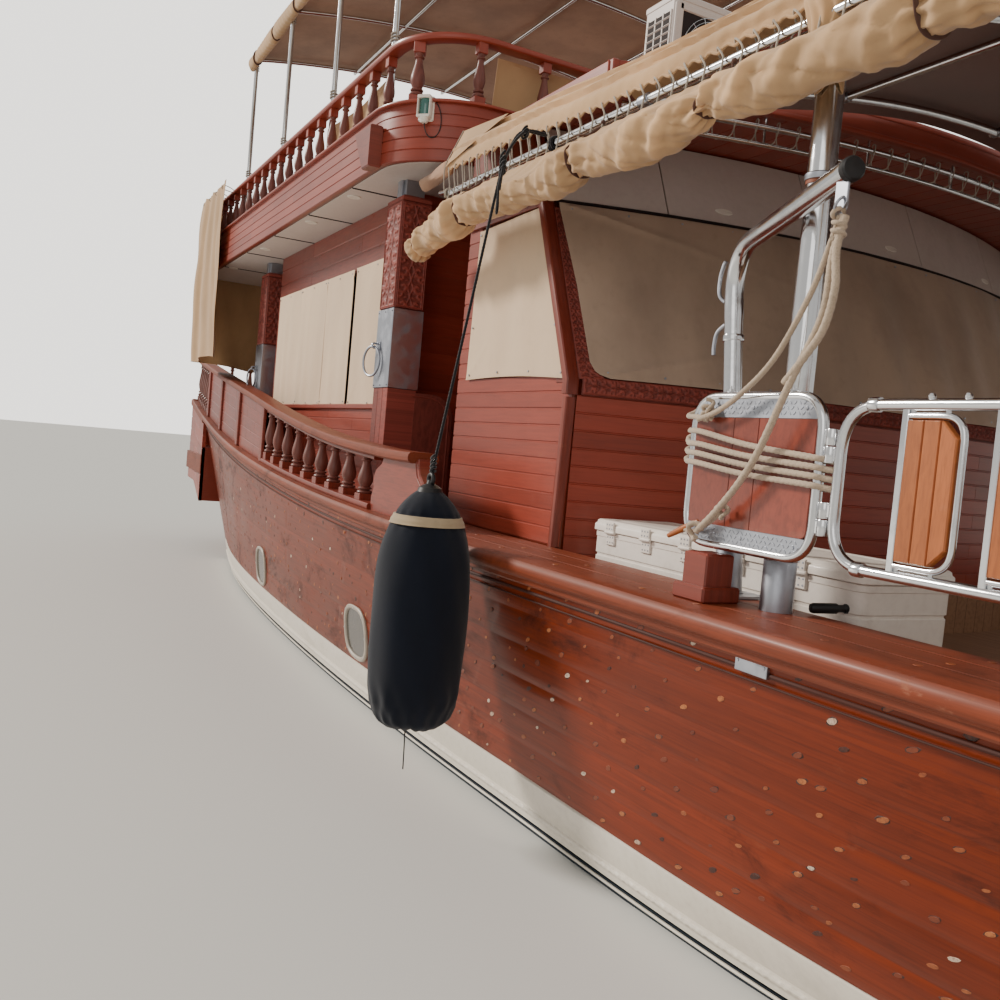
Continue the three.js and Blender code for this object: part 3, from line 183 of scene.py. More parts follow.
def slab(a, b, tone=0.5):
    """The closed solid between two grids of the same size."""
    a, b = np.asarray(a, float), np.asarray(b, float)
    n, m = a.shape[:2]
    top, low = cells(n, m), cells(n, m)[:, ::-1] + n * m
    i, j = np.arange(n - 1), np.arange(m - 1)

    def rim(x, y):
        return stacked(x, y, y + n * m, x + n * m)

    sides = [
        rim((i + 1) * m, i * m), rim(i * m + m - 1, (i + 1) * m + m - 1),
        rim(j, j + 1), rim((n - 1) * m + j + 1, (n - 1) * m + j),
    ]
    tone = np.tile(np.broadcast_to(tone, (n, m)).ravel(), 2)
    uv = np.tile(strip_uv(a).reshape(-1, 2), (2, 1))
    return Shape(np.vstack([a.reshape(-1, 3), b.reshape(-1, 3)]), np.vstack([top, low, *sides]),
                 a=tone, uv=uv).outward()


def circle(count):
    """Angles of one full turn, evenly spaced."""
    return np.linspace(0, 2 * np.pi, count, endpoint=False)


def grid(u, v):
    return np.meshgrid(u, v, indexing="ij")


def stacked(*coordinates):
    """Points of coordinates whose shapes fit each other, a single number too."""
    return np.stack(np.broadcast_arrays(*coordinates), -1)


def unit(v):
    return v / np.maximum(np.linalg.norm(v, axis=-1, keepdims=True), 1e-12)


def frames(path, up=UP, closed=False):
    """Direction, side and upright of each point of a path; the side is square to the given up."""
    path = np.asarray(path, float)
    if closed:
        way = unit(np.roll(path, -1, 0) - np.roll(path, 1, 0))
    else:
        way = unit(np.gradient(path, axis=0))
    side = unit(np.cross(way, np.asarray(up, float)))
    return way, side, np.cross(side, way)


def carry(path, profile, up=UP, tone=0.5, closed=False):
    """A closed profile of [aside, upward] points carried along a path."""
    path, profile = np.asarray(path, float), np.asarray(profile, float)
    _, side, over = frames(path, up, closed)
    p = path[:, None] + profile[None, :, :1] * side[:, None] + profile[None, :, 1:] * over[:, None]
    return loft(p, tone, closed)


def tube(path, radius, sides=12, up=None, closed=False, tone=0.5):
    """A round pipe along a path; the radius may change from point to point."""
    path = np.asarray(path, float)
    if up is None:
        spread = np.abs(path.max(0) - path.min(0))
        up = np.eye(3)[np.argmin(spread)] if spread.min() < 0.5 * spread.max() else (0.31, 0.52,
            0.79)
    _, side, over = frames(path, up, closed)
    a = circle(sides)
    r = np.broadcast_to(np.asarray(radius, float).reshape(-1, 1) if np.ndim(radius) < 2 else radius,
                        (len(path), sides))
    ring = np.cos(a) * r, np.sin(a) * r
    return loft(path[:, None] + ring[0][..., None] * side[:, None] + ring[1][..., None]
                * over[:, None], tone, closed)


def resample(points, step, closed=False):
    """Points evenly spaced along a polyline."""
    p = np.asarray(points, float)
    if closed:
        p = np.vstack([p, p[:1]])
    s = np.r_[0, np.cumsum(np.linalg.norm(np.diff(p, axis=0), axis=1))]
    at = np.linspace(0, s[-1], max(3, int(round(s[-1] / step)) + 1), endpoint=not closed)
    return np.stack([np.interp(at, s, p[:, k]) for k in range(3)], -1)


def smooth(points, step=0.02, closed=False):
    """A smooth curve through the points: each stretch is the cubic whose slopes come from the
    neighbouring points, evenly respaced."""
    p = np.asarray(points, float)
    q = np.vstack([p[-1:], p, p[:2]]) if closed else np.vstack([2 * p[0] - p[1], p,
        2 * p[-1] - p[-2]])
    t = np.linspace(0, 1, 12, endpoint=False)[:, None]
    out = []
    for a, b, c, d in zip(q[:-3], q[1:-2], q[2:-1], q[3:]):
        out.append(b + 0.5 * t
                   * (c - a + t * (2 * a - 5 * b + 4 * c - d + t * (3 * (b - c) + d - a))))
    if not closed:
        out.append(p[-1:])
    return resample(np.vstack(out), step=step, closed=closed)


def bent(points, radius, closed=False, count=7):
    """A polyline with rounded corners: each is the curve of two stretches of equal reach."""
    p = np.asarray(points, float)
    out, n = [], len(p)
    t = np.linspace(0, 1, count)[:, None]
    for i in range(n):
        if not closed and i in (0, n - 1):
            out.append(p[i : i + 1])
            continue
        a, b, c = p[i - 1], p[i], p[(i + 1) % n]
        reach = min(radius, np.linalg.norm(a - b) * 0.49, np.linalg.norm(c - b) * 0.49)
        a, c = b + unit(a - b) * reach, b + unit(c - b) * reach
        out.append((1 - t) ** 2 * a + 2 * t * (1 - t) * b + t**2 * c)
    return np.vstack(out)


def rope(path, diameter, strands=3, lay=3.2, sides=12, closed=False, step=0.3):
    """Laid rope along a path: the radius swells and shrinks round the section once for each
    strand, and the pattern turns once in lay diameters."""
    p = resample(path, step=diameter * step, closed=closed)
    s = np.r_[0, np.cumsum(np.linalg.norm(np.diff(p, axis=0), axis=1))][:, None]
    a = circle(sides)[None]
    r = diameter / 2 * (0.86 + 0.14
                        * np.abs(np.cos(strands / 2 * (a - 2 * np.pi * s / (lay * diameter))))
                        * 1.3)
    return tube(p, r, sides, closed=closed)


def lathe(rows, at=(0, 0, 0), axis=UP, sides=20, tone=0.5):
    """Rows of [radius, height] turned about an axis through a point."""
    rows = np.asarray(rows, float)
    z = unit(np.asarray(axis, float))
    x = unit(np.cross(z, (0.0, 1.0, 0.0) if abs(z[1]) < 0.9 else (1.0, 0.0, 0.0)))
    y = np.cross(z, x)
    a = circle(sides)
    ring = np.cos(a)[:, None] * x + np.sin(a)[:, None] * y
    r = np.maximum(rows[:, :1], 1e-4)
    return loft(np.asarray(at, float) + rows[:, 1:, None] * z + r[..., None] * ring[None], tone)


def block(x0, x1, y0, y1, z0, z1, edge=0.004, tone=0.5):
    """A box with its edges and corners taken off."""
    lo, hi = np.minimum((x0, y0, z0), (x1, y1, z1)), np.maximum((x0, y0, z0), (x1, y1, z1))
    e = min(edge, (hi - lo).min() * 0.45)
    corner = np.array([[i, j, k] for i in (0, 1) for j in (0, 1) for k in (0, 1)])
    v = []
    for c in corner:
        base = np.where(c, hi, lo)
        pull = np.where(c, -e, e)
        v += [base + pull * (np.arange(3) != k) for k in range(3)]
    v = np.array(v)

    def at(i, j, k, axis):
        return (i * 4 + j * 2 + k) * 3 + axis

    q, t = [], []
    for axis in range(3):
        u, w = [k for k in range(3) if k != axis]
        for end in (0, 1):
            ring = []
            for a, b in ((0, 0), (1, 0), (1, 1), (0, 1)):
                c = [0, 0, 0]
                c[axis], c[u], c[w] = end, a, b
                ring.append(at(*c, axis))
            q.append(ring if (end == 1) == (axis != 1) else ring[::-1])
        for a in (0, 1):
            for b in (0, 1):
                c0, c1 = [0, 0, 0], [0, 0, 0]
                c0[u] = c1[u] = a
                c0[w] = c1[w] = b
                c1[axis] = 1
                ring = [at(*c0, u), at(*c1, u), at(*c1, w), at(*c0, w)]
                q.append(ring)
    for c in corner:
        t.append([at(*c, 0), at(*c, 1), at(*c, 2)])
    middle = (lo + hi) / 2
    shape = Shape(v, q, t, tone)
    for faces in (shape.q, shape.t):
        centre = v[faces].mean(1) - middle
        normal = np.cross(v[faces[:, 1]] - v[faces[:, 0]], v[faces[:, 2]] - v[faces[:, 0]])
        flip = np.einsum("ij,ij->i", centre, normal) < 0
        faces[flip] = faces[flip][:, ::-1]
    shape.uv = v[:, [0, 2]]
    return shape


def stub(x, y, half_x, half_y, z0, z1, edge=0.004, tone=0.5):
    """A box about an upright axis."""
    return block(x - half_x, x + half_x, y - half_y, y + half_y, z0, z1, edge, tone)


def turn_about(axis, angle):
    return np.array(Matrix.Rotation(angle, 3, Vector(axis)))


def curve(rows, column=1):
    """The smooth curve through a table's rows: a cubic between each pair, whose slopes are
    those of the rows on either side."""
    rows = np.asarray(rows, float)
    x, y = rows[:, 0], rows[:, column]
    low, high = np.r_[0, np.arange(len(x) - 1)], np.r_[np.arange(1, len(x)), len(x) - 1]
    slope = (y[high] - y[low]) / (x[high] - x[low])

    def at(place):
        p = np.clip(place, x[0], x[-1])
        i = np.clip(np.searchsorted(x, p), 1, len(x) - 1)
        h = x[i] - x[i - 1]
        t = (p - x[i - 1]) / h
        return ((2 * t**3 - 3 * t**2 + 1) * y[i - 1] + (t**3 - 2 * t**2 + t) * h * slope[i - 1]
                + (3 * t**2 - 2 * t**3) * y[i] + (t**3 - t**2) * h * slope[i])

    return at


def waves(x, y, seed, count=7, scale=1.0):
    """Soft uneven relief between about -1 and 1: a sum of sine waves of random direction."""
    r = np.random.default_rng(seed)
    out = 0
    for k in range(count):
        a, f, ph = r.uniform(0, 2 * np.pi), scale * r.uniform(0.6, 2.6), r.uniform(0, 2 * np.pi)
        out = out + np.sin(f * (x * np.cos(a) + y * np.sin(a)) + ph) / (1 + 0.35 * k)
    return out / 2.4


# Materials
class Value:
    """One output of a shader node. Arithmetic on it adds Math nodes."""

    def __init__(self, finish, socket):
        self.finish, self.socket = finish, socket

    def _math(self, operation, other=None, swap=False):
        values = [self] if other is None else ([other, self] if swap else [self, other])
        return self.finish.node("ShaderNodeMath", {"operation": operation}, values)

    def __add__(self, other):
        return self._math("ADD", other)

    __radd__ = __add__

    def __sub__(self, other):
        return self._math("SUBTRACT", other)

    def __rsub__(self, other):
        return self._math("SUBTRACT", other, swap=True)

    def __mul__(self, other):
        return self._math("MULTIPLY", other)

    __rmul__ = __mul__

    def __truediv__(self, other):
        return self._math("DIVIDE", other)

    def sine(self):
        return self._math("SINE")

    def fraction(self):
        return self._math("FRACT")


class Finish:
    """A procedural material: a Principled shader and the nodes that feed it."""

    def __init__(self, name, colour=(0.5, 0.5, 0.5), **constants):
        self.material = bpy.data.materials.new(name)
        self.material.use_nodes = True
        self.tree = self.material.node_tree
        self.shader = self.tree.nodes["Principled BSDF"]
        self.material.diffuse_color = (*colour, 1)
        self.shader.inputs["Base Color"].default_value = (*colour, 1)
        for socket, value in constants.items():
            self.shader.inputs[socket.replace("_", " ")].default_value = value

    def node(self, kind, settings=None, values=(), output=0):
        """A node of a type: its settings, then numbers, colours or links on its sockets."""
        made = self.tree.nodes.new(kind)
        for key, value in (settings or {}).items():
            if key == "stops":
                ramp = made.color_ramp
                while len(ramp.elements) < len(value):
                    ramp.elements.new(0.5)
                for element, (place, rgb) in zip(ramp.elements, value):
                    element.position = place
                    element.color = (*rgb, 1) if hasattr(rgb, "__len__") else (rgb, rgb, rgb, 1)
            else:
                setattr(made, key, value)
        for key, value in values.items() if isinstance(values, dict) else enumerate(values):
            self.feed(made.inputs[key], value)
        return Value(self, made.outputs[output])

    def feed(self, socket, value):
        if isinstance(value, Value):
            self.tree.links.new(value.socket, socket)
        elif hasattr(value, "__len__") and socket.type == "RGBA" and len(value) == 3:
            socket.default_value = (*value, 1)
        else:
            socket.default_value = value

    def set(self, socket, value):
        self.feed(self.shader.inputs[socket], value)
        return self

    def place(self, stretch=(1, 1, 1), output="Object"):
        at = self.node("ShaderNodeTexCoord", output=output)
        return self.node("ShaderNodeMapping", None, {"Vector": at, "Scale": stretch})

    def strip(self, stretch=(1, 1, 1)):
        return self.place(stretch, "UV")

    def noise(self, at, scale, detail=4, rough=0.55, twist=0.0):
        values = {"Vector": at, "Scale": scale, "Detail": detail, "Roughness": rough,
                  "Distortion": twist}
        return self.node("ShaderNodeTexNoise", None, values)

    def tone(self):
        return self.node("ShaderNodeAttribute", {"attribute_name": "tone"}, output="Fac")

    def step(self, value, low, high):
        """0 below low, 1 above high, smooth between."""
        settings = {"interpolation_type": "SMOOTHSTEP"}
        return self.node("ShaderNodeMapRange", settings,
                         {"Value": value, "From Min": low, "From Max": high})

    def blend(self, share, a, b, kind="MIX"):
        made = self.tree.nodes.new("ShaderNodeMix")
        made.data_type, made.blend_type = "RGBA", kind
        for socket, value in ((made.inputs[0], share), (made.inputs[6], a), (made.inputs[7], b)):
            self.feed(socket, value)
        return Value(self, made.outputs[2])

    def relief(self, height, depth, strength=1.0):
        values = {"Height": height, "Distance": depth, "Strength": strength}
        return self.set("Normal", self.node("ShaderNodeBump", None, values))


def wood(name, light, dark, stretch=(0.45, 9, 1), coords="strip", rough=0.34, coat=0.3, patch=0.35,
         aged=0.0, boards=0.4, stains=0.0, gloss=0.4):
    """Varnished wood: long grain, a tone for each board, clouds, worn pale places, stains."""
    f = Finish(name, light, Roughness=rough, Coat_Weight=coat, Coat_Roughness=0.2,
               Specular_IOR_Level=gloss)
    at = f.strip(stretch) if coords == "strip" else f.place(stretch)
    grain = f.noise(at, 7, 8, 0.62, 0.6)
    streak = f.noise(at, 1.6, 3, 0.5, 0.3)
    cloud = f.noise(f.place(), 1.1, 4, 0.6)
    base = f.blend(f.step(grain, 0.36, 0.74) * 0.55, light, dark)
    base = f.blend(f.step(streak, 0.4, 0.75) * 0.25, base, dark)
    base = f.blend(patch, base, cloud * 1.5 + 0.25, "MULTIPLY")
    # Multiplied by the tone attribute: a random tone for each board, and on carved panels painted
    # shade in the hollows.
    if coords == "strip":
        base = f.blend(boards, base, f.tone() * 1.1 + 0.45, "MULTIPLY")
    blot = f.step(f.noise(f.place((0.7, 1, 1.3)), 2.3, 8, 0.7, 0.5), 0.52, 0.70)
    base = f.blend(blot * stains, base, tuple(0.35 * c for c in dark))
    scuffs = f.step(f.noise(f.place((1, 1, 2.2)), 3.4, 7, 0.72), 0.62, 0.7)
    worn = tuple(0.5 * c + 0.5 * g for c, g in zip(light, shade(196, 150, 122)))
    base = f.blend(scuffs * (0.12 + aged), base, worn)
    f.set("Base Color", base).set("Roughness", cloud * 0.25 + (rough - 0.12) + scuffs * 0.25 + blot
                                  * 0.2 * stains)
    f.relief(grain * 0.5 + streak * 0.5, 0.0012, 0.4)
    return f.material


def cloth(name, main, shadow, weave=420.0, stain=0.35, rough=0.92, sheen=0.25):
    """Woven cloth: crossing threads in the relief, faded and stained areas in the colour."""
    f = Finish(name, main, Roughness=rough, Sheen_Weight=sheen, Sheen_Roughness=0.5,
               Specular_IOR_Level=0.2)
    at = f.strip()
    part = f.tree.nodes.new("ShaderNodeSeparateXYZ")
    f.feed(part.inputs[0], at)
    u, v = Value(f, part.outputs[0]), Value(f, part.outputs[1])
    threads = (u * weave * 6.28).sine() * (v * weave * 6.28).sine()
    soft = f.noise(f.place((1, 1, 0.5)), 1.7, 5, 0.6)
    fine = f.noise(f.place(), 14, 4, 0.6)
    base = f.blend(f.step(soft, 0.35, 0.72) * stain, main, shadow)
    base = f.blend(f.step(fine, 0.5, 0.85) * 0.25, base, shadow)
    # Multiplied by the tone attribute: random on most cloth, and painted shade in the folds of the
    # rolled valance, the furled sail and the fender cover.
    base = f.blend(0.5, base, f.tone() * 1.2 + 0.4, "MULTIPLY")
    f.set("Base Color", base).relief(threads * 0.3 + fine, 0.0012, 0.35)
    return f.material


def metal(name, rgb, rough=0.2, spots=0.12, at_metal=1.0):
    """Polished metal with smeared and dulled places."""
    f = Finish(name, rgb, Metallic=at_metal)
    smear = f.noise(f.place(), 9, 6, 0.65)
    streak = f.noise(f.place((30, 30, 2)), 3, 3, 0.5)
    f.set("Base Color", f.blend(f.step(smear, 0.45, 0.8) * 0.5, rgb, tuple(0.55 * c for c in rgb)))
    f.set("Roughness", rough + f.step(smear, 0.4, 0.75) * spots + streak * 0.1 - 0.05)
    f.relief(smear, 0.0006, 0.3)
    return f.material


def paint(name, rgb, grime, rough=0.5, coat=0.0, amount=0.4, scale=2.5, stretch=(0.4, 1, 1)):
    """Paint or moulded plastic with grime, scuffs and a slightly uneven surface."""
    f = Finish(name, rgb, Coat_Weight=coat, Specular_IOR_Level=0.4)
    dirt = f.noise(f.place(stretch), scale, 7, 0.68, 0.4)
    fine = f.noise(f.place(), 30, 3, 0.5)
    mask = f.step(dirt, 0.48, 0.78)
    f.set("Base Color", f.blend(mask * amount, f.blend(f.step(fine, 0.4, 0.8) * 0.12, rgb, grime),
                                grime))
    f.set("Roughness", rough + mask * 0.2).relief(dirt * 0.6 + fine * 0.4, 0.0015, 0.35)
    return f.material


def hemp(name, main, dark):
    """Rope: hairy light and dark fibres, and darker soiled patches."""
    f = Finish(name, main, Roughness=0.95, Sheen_Weight=0.4, Specular_IOR_Level=0.15)
    hair = f.noise(f.place(), 180, 4, 0.7)
    soil = f.noise(f.place(), 8, 4, 0.6)
    base = f.blend(f.step(hair, 0.4, 0.7) * 0.5, main, dark)
    f.set("Base Color", f.blend(f.step(soil, 0.45, 0.8) * 0.5, base, dark)).relief(hair, 0.002, 0.6)
    return f.material


def plugs_finish(name):
    """Wooden plugs and putty: the tone says which of the colours a plug has."""
    f = Finish(name, shade(196, 110, 62), Roughness=0.5)
    stops = [(0.0, shade(38, 14, 8)), (0.16, shade(104, 40, 18)), (0.5, shade(148, 74, 32)),
             (0.8, shade(178, 106, 56)), (1.0, shade(216, 200, 180))]
    rings = f.noise(f.place(), 90, 3, 0.6)
    tint = f.node("ShaderNodeValToRGB", {"stops": stops}, {"Fac": f.tone()})
    f.set("Base Color", f.blend(f.step(rings, 0.38, 0.7) * 0.6, tint, shade(96, 42, 24))).relief(
        rings, 0.001, 0.5)
    return f.material


def glazing(name, rgb, rough=0.06):
    f = Finish(name, rgb, Coat_Weight=0.6, Specular_IOR_Level=0.8)
    haze = f.noise(f.place(), 5, 3, 0.5)
    f.set("Base Color",
          f.blend(f.step(haze, 0.4, 0.8) * 0.4, rgb, tuple(0.6 * c + 0.05 for c in rgb)))
    f.set("Roughness", rough + haze * 0.12)
    return f.material


def deck_finish(name, plank, seam, width=0.12):
    """Deck planks along the boat with dark caulked seams, worn and dusty."""
    f = Finish(name, plank, Specular_IOR_Level=0.3)
    part = f.tree.nodes.new("ShaderNodeSeparateXYZ")
    f.feed(part.inputs[0], f.place())
    y = Value(f, part.outputs[1])
    row = (y / width + 100).fraction()
    line = 1 - f.step(row, 0.0, 0.05)
    grain = f.noise(f.place((0.6, 12, 12)), 3, 6, 0.6)
    dust = f.noise(f.place(), 1.3, 5, 0.6)
    base = f.blend(f.step(grain, 0.35, 0.75) * 0.6, plank, tuple(0.55 * c for c in plank))
    base = f.blend(f.step(dust, 0.5, 0.8) * 0.3, base, shade(170, 150, 130))
    f.set("Base Color", f.blend(line, base, seam)).set("Roughness", 0.6 + dust * 0.2)
    f.relief(grain * 0.3 - line, 0.002, 0.5)
    return f.material


def finishes():
    """Every finish by name, made once from the panel's colours."""
    c = bpy.context.scene.dhow_colours
    teak, dark, house = tuple(c.teak), tuple(c.teak_dark), tuple(c.house)
    canvas, under, curtain = tuple(c.canvas), tuple(c.underside), tuple(c.curtain)

    def deeper(rgb, k):
        return tuple(k * x for x in rgb)

    return {"hull": lambda: wood("hull_teak", teak, dark, (0.35, 9, 1), rough=0.36, coat=0.08,
                                 boards=0.35, stains=0.8, gloss=0.22),
            "rail": lambda: wood("rail_teak", shade(130, 60, 36), shade(80, 36, 20), (0.35, 12, 1),
                                 rough=0.52, coat=0.06, aged=0.3, stains=0.5, gloss=0.26),
            "house": lambda: wood("house_teak", house, deeper(house, 0.62), (0.5, 9, 1), rough=0.4,
                                  coat=0.2),
            "joinery": lambda: wood("joinery_teak", shade(136, 56, 40), shade(88, 34, 22),
                                    (0.8, 8, 1), rough=0.4, coat=0.2),
            # Carved teak: on the carved panels its tone paints shade in the hollows of the carving.
            "carved": lambda: wood("carved_teak", shade(134, 60, 50), shade(70, 28, 24), (2, 6, 1),
                                   rough=0.62, coat=0.03, boards=0.75),
            "turned": lambda: wood("turned_teak", shade(120, 66, 56), shade(76, 40, 34),
                                   (0.8, 8, 1), rough=0.5, coat=0.1),
            "rim": lambda: paint("porthole_rim", shade(176, 166, 152), shade(112, 98, 86), 0.45,
                                 0.0, 0.5, 6.0, (1, 1, 1)),
            "board": lambda: wood("board_teak", shade(132, 56, 38), shade(92, 34, 22), (3, 6, 1),
                                  rough=0.3, coat=0.4, patch=0.2),
            "tread": lambda: wood("tread_teak", shade(170, 96, 48), shade(124, 64, 30), (2, 14, 1),
                                  rough=0.4, coat=0.2, patch=0.2),
            "spar": lambda: wood("spar_wood", shade(150, 84, 50), shade(96, 50, 30), (0.6, 9, 1),
                                 rough=0.4, coat=0.25),
            "solid_teak": lambda: wood("solid_teak", deeper(teak, 0.8), dark, (0.3, 6, 6), "place"),
            "solid_house": lambda: wood("solid_house", deeper(house, 0.55), deeper(house, 0.3),
                                        (0.3, 6, 6), "place"),
            "deck": lambda: deck_finish("deck_planks", shade(150, 112, 84), shade(30, 24, 22)),
            "plugs": lambda: plugs_finish("plugs"),
            "canvas": lambda: cloth("canvas", canvas, deeper(canvas, 0.62), 500, 0.5),
            "canvas_under": lambda: cloth("canvas_under", under, deeper(under, 0.6), 500, 0.5),
            "lining": lambda: cloth("awning_lining", shade(186, 146, 116), shade(130, 96, 76), 500,
                                    0.5), "brown_canvas": lambda: cloth("brown_canvas",
                                        shade(96, 66, 56), shade(58, 38, 34), 500, 0.5),
            "curtain": lambda: cloth("curtain", curtain, deeper(curtain, 0.72), 600, 0.35),
            # The curtain cloth, darker: painted shade for the front curtain under the awning.
            "shaded_curtain_cloth": lambda: cloth("shaded_curtain_cloth", shade(184, 160, 140), shade(138, 118, 104),
                                         600, 0.5),
            # Dark brown of the lines under the covering board: a seam, also painting the shadow
            # under the wale's edge.
            "joint": lambda: paint("seam_and_shadow_brown", shade(60, 24, 14), shade(92, 42, 26), 0.7, 0.0,
                                   0.3), "sail": lambda: cloth("sail", shade(214, 200, 176),
                                       shade(150, 136, 116), 500, 0.5),
            "fender": lambda: cloth("fender_cloth", tuple(c.fender), deeper(tuple(c.fender), 0.45),
                                    260, 0.4, sheen=0.15),
            "band": lambda: cloth("fender_band", shade(190, 170, 138), shade(110, 96, 78), 300,
                                  0.6), "white": lambda: paint("white_band", tuple(c.white),
                                      shade(150, 140, 124), 0.45, 0.1, 0.35),
            "navy": lambda: paint("bottom_paint", tuple(c.navy), shade(40, 58, 62), 0.6, 0.0, 0.5),
            "panel": lambda: paint("soffit_panel", shade(206, 196, 190), shade(160, 148, 142), 0.5,
                                   0.0, 0.3, 1.2),
            "plastic": lambda: paint("chest_plastic", shade(240, 232, 222), shade(170, 156, 146),
                                     0.42, 0.1, 0.35, 5.0, (1, 1, 1)),
            "cooler": lambda: paint("unit_white", shade(214, 214, 210), shade(150, 146, 138), 0.4,
                                    0.1, 0.3, 4.0, (1, 1, 3)),
            "steel": lambda: metal("stainless", (0.72, 0.73, 0.75), 0.14),
            "dull_steel": lambda: metal("dull_steel", (0.40, 0.42, 0.47), 0.34, 0.25),
            "rust": lambda: metal("rusty_collar", shade(120, 66, 44), 0.6, 0.2, 0.3),
            "bronze": lambda: metal("bronze", shade(186, 140, 78), 0.32, 0.25),
            "hemp": lambda: hemp("hemp_rope", tuple(c.rope), deeper(tuple(c.rope), 0.45)),
            "cord": lambda: hemp("lacing_cord", shade(176, 166, 152), shade(120, 108, 96)),
            "black_rope": lambda: hemp("black_rope", shade(30, 28, 32), shade(12, 12, 14)),
            "black": lambda: paint("black_fitting", shade(26, 25, 27), shade(60, 56, 54), 0.45, 0.0,
                                   0.3, 8.0, (1, 1, 1)),
            "glass": lambda: glazing("porthole_glass", shade(62, 60, 54), 0.2),
            "green": lambda: glazing("green_lens", shade(16, 92, 84)),
            "red": lambda: glazing("red_lens", shade(132, 22, 26)),
            "lamp": lambda: paint("lamp_face", shade(236, 232, 222), shade(190, 184, 172), 0.3, 0.2,
                                  0.2, 6.0, (1, 1, 1)),
            # Black of seams and battens, and painted shade behind the cooling unit's louvres and
            # fan guard.
            "dark": lambda: paint("seam_and_shade_black", shade(34, 24, 24), shade(60, 44, 40), 0.8, 0.0,
                                  0.3),}


MADE = {}


def finish(name):
    if name not in MADE:
        MADE[name] = finishes()[name]()
    return MADE[name]


def piece(name, shape, material, body="boat", replaces="", sharp=32):
    """Writes a shape into a mesh object that rides on a body."""
    mesh = bpy.data.meshes.new(name)
    nq, nt = len(shape.q), len(shape.t)
    mesh.vertices.add(len(shape.v))
    mesh.vertices.foreach_set("co", shape.v.astype(np.float32).ravel())
    loops = np.concatenate([shape.q.ravel(), shape.t.ravel()]).astype(np.int32)
    mesh.loops.add(len(loops))
    mesh.loops.foreach_set("vertex_index", loops)
    mesh.polygons.add(nq + nt)
    mesh.polygons.foreach_set("loop_start",
                              np.r_[np.arange(nq) * 4, nq * 4 + np.arange(nt) * 3].astype(np.int32))
    mesh.update(calc_edges=True)
    mesh.validate()
    layer = mesh.uv_layers.new(name="strip")
    index = np.empty(len(mesh.loops), np.int32)
    mesh.loops.foreach_get("vertex_index", index)
    layer.data.foreach_set("uv", shape.uv[index].astype(np.float32).ravel())
    tone = mesh.attributes.new("tone", "FLOAT", "POINT")
    tone.data.foreach_set("value", shape.a.astype(np.float32))
    mesh.polygons.foreach_set("use_smooth", np.ones(len(mesh.polygons), bool))
    mesh.set_sharp_from_angle(angle=math.radians(sharp))
    made = bpy.data.objects.new(name, mesh)
    bpy.context.scene.collection.objects.link(made)
    mesh.materials.append(finish(material))
    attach(made, body)
    if replaces:
        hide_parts(replaces)
    return made


# The ship's lines
STERN_WATER, BOW_WATER, STERN_RAIL, BOW_RAIL = -8.2, 8.8, -8.9, 11.4
HALF_WATER, HALF_RAIL, STEM_HALF = 2.507, 2.700, 0.06
BAND_LOW, BAND_TOP, COVER = 0.068, 0.29, 0.09
GALLERY, HOUSE, SILL, SOFFIT, UPPER_TOP, UPPER_RAIL = 1.55, 2.19, 2.31, 3.83, 4.21, 4.712
HULL_LINES = [(0.0, 0.76, 0.833), (0.1, 0.875, 0.895), (0.2, 0.945, 0.945), (0.32, 0.989, 0.985),
              (0.44, 1.0, 1.0), (0.55, 0.98, 1.0), (0.66, 0.935, 0.985), (0.76, 0.8, 0.91),
              (0.85, 0.57, 0.74), (0.93, 0.3, 0.45), (1.0, 0.024, 0.022),]
water_share, rail_share = curve(HULL_LINES, 1), curve(HULL_LINES, 2)
bulwark_rail = curve([(-10.95, 2.98), (-8.0, 2.64), (-5.03, 2.3), (-3.35, 2.09), (-1.72, 1.92),
                      (-0.45, 1.85), (0.26, 1.84)])


def mix(a, b, t):
    return a + (b - a) * t


def sheer(x):
    """Height of the covering board's top: rising as the square of the distance from amidships."""
    return 1.4 + 6.3e-3 * np.maximum(0, 1 - x) ** 2 + 16e-3 * np.maximum(0, x - 4) ** 2


def rail_half(x):
    u = np.clip((x - STERN_RAIL) / (BOW_RAIL - STERN_RAIL), 0, 1)
    return np.maximum(STEM_HALF, HALF_RAIL * rail_share(u)) - np.maximum(0, STERN_RAIL - x) * 0.088


def hull_at(u, z, out=0.0):
    """Place along and half-breadth of the topsides at a share u of the length and a height z."""
    rail = mix(STERN_RAIL, BOW_RAIL, u)
    t = z / sheer(rail)
    x = mix(mix(STERN_WATER, BOW_WATER, u), rail, t)
    return x, np.maximum(STEM_HALF, mix(HALF_WATER * water_share(u), HALF_RAIL * rail_share(u),
                                        t)) + out


def hull_side(x, z, out=0.0):
    """Half-breadth of the topsides at a place x and a height z."""
    x, z = np.broadcast_arrays(np.asarray(x, float), np.asarray(z, float))
    u = (x - STERN_RAIL) / (BOW_RAIL - STERN_RAIL)
    for _ in range(4):
        u = u + (x - hull_at(u, z)[0]) / 18.5
    return hull_at(np.clip(u, 0, 1), z, out)[1]


def on_side(x, side, inboard, z):
    """Points beside the rail line: a distance inboard of the hull side, at a height."""
    return stacked(x, side * (rail_half(x) - inboard), z)


def along(xs, side, profile, base=sheer, least=0.0, tone=0.5):
    """A profile of [inboard, up] points carried along the hull, kept a least way off centre."""
    xs, profile = np.asarray(xs, float), np.asarray(profile, float)
    y = np.maximum(np.broadcast_to(least, xs.shape)[:, None], rail_half(xs)[:, None]
                   - profile[None, :, 0])
    return loft(stacked(xs[:, None], side * y, base(xs)[:, None] + profile[None, :, 1]), tone)


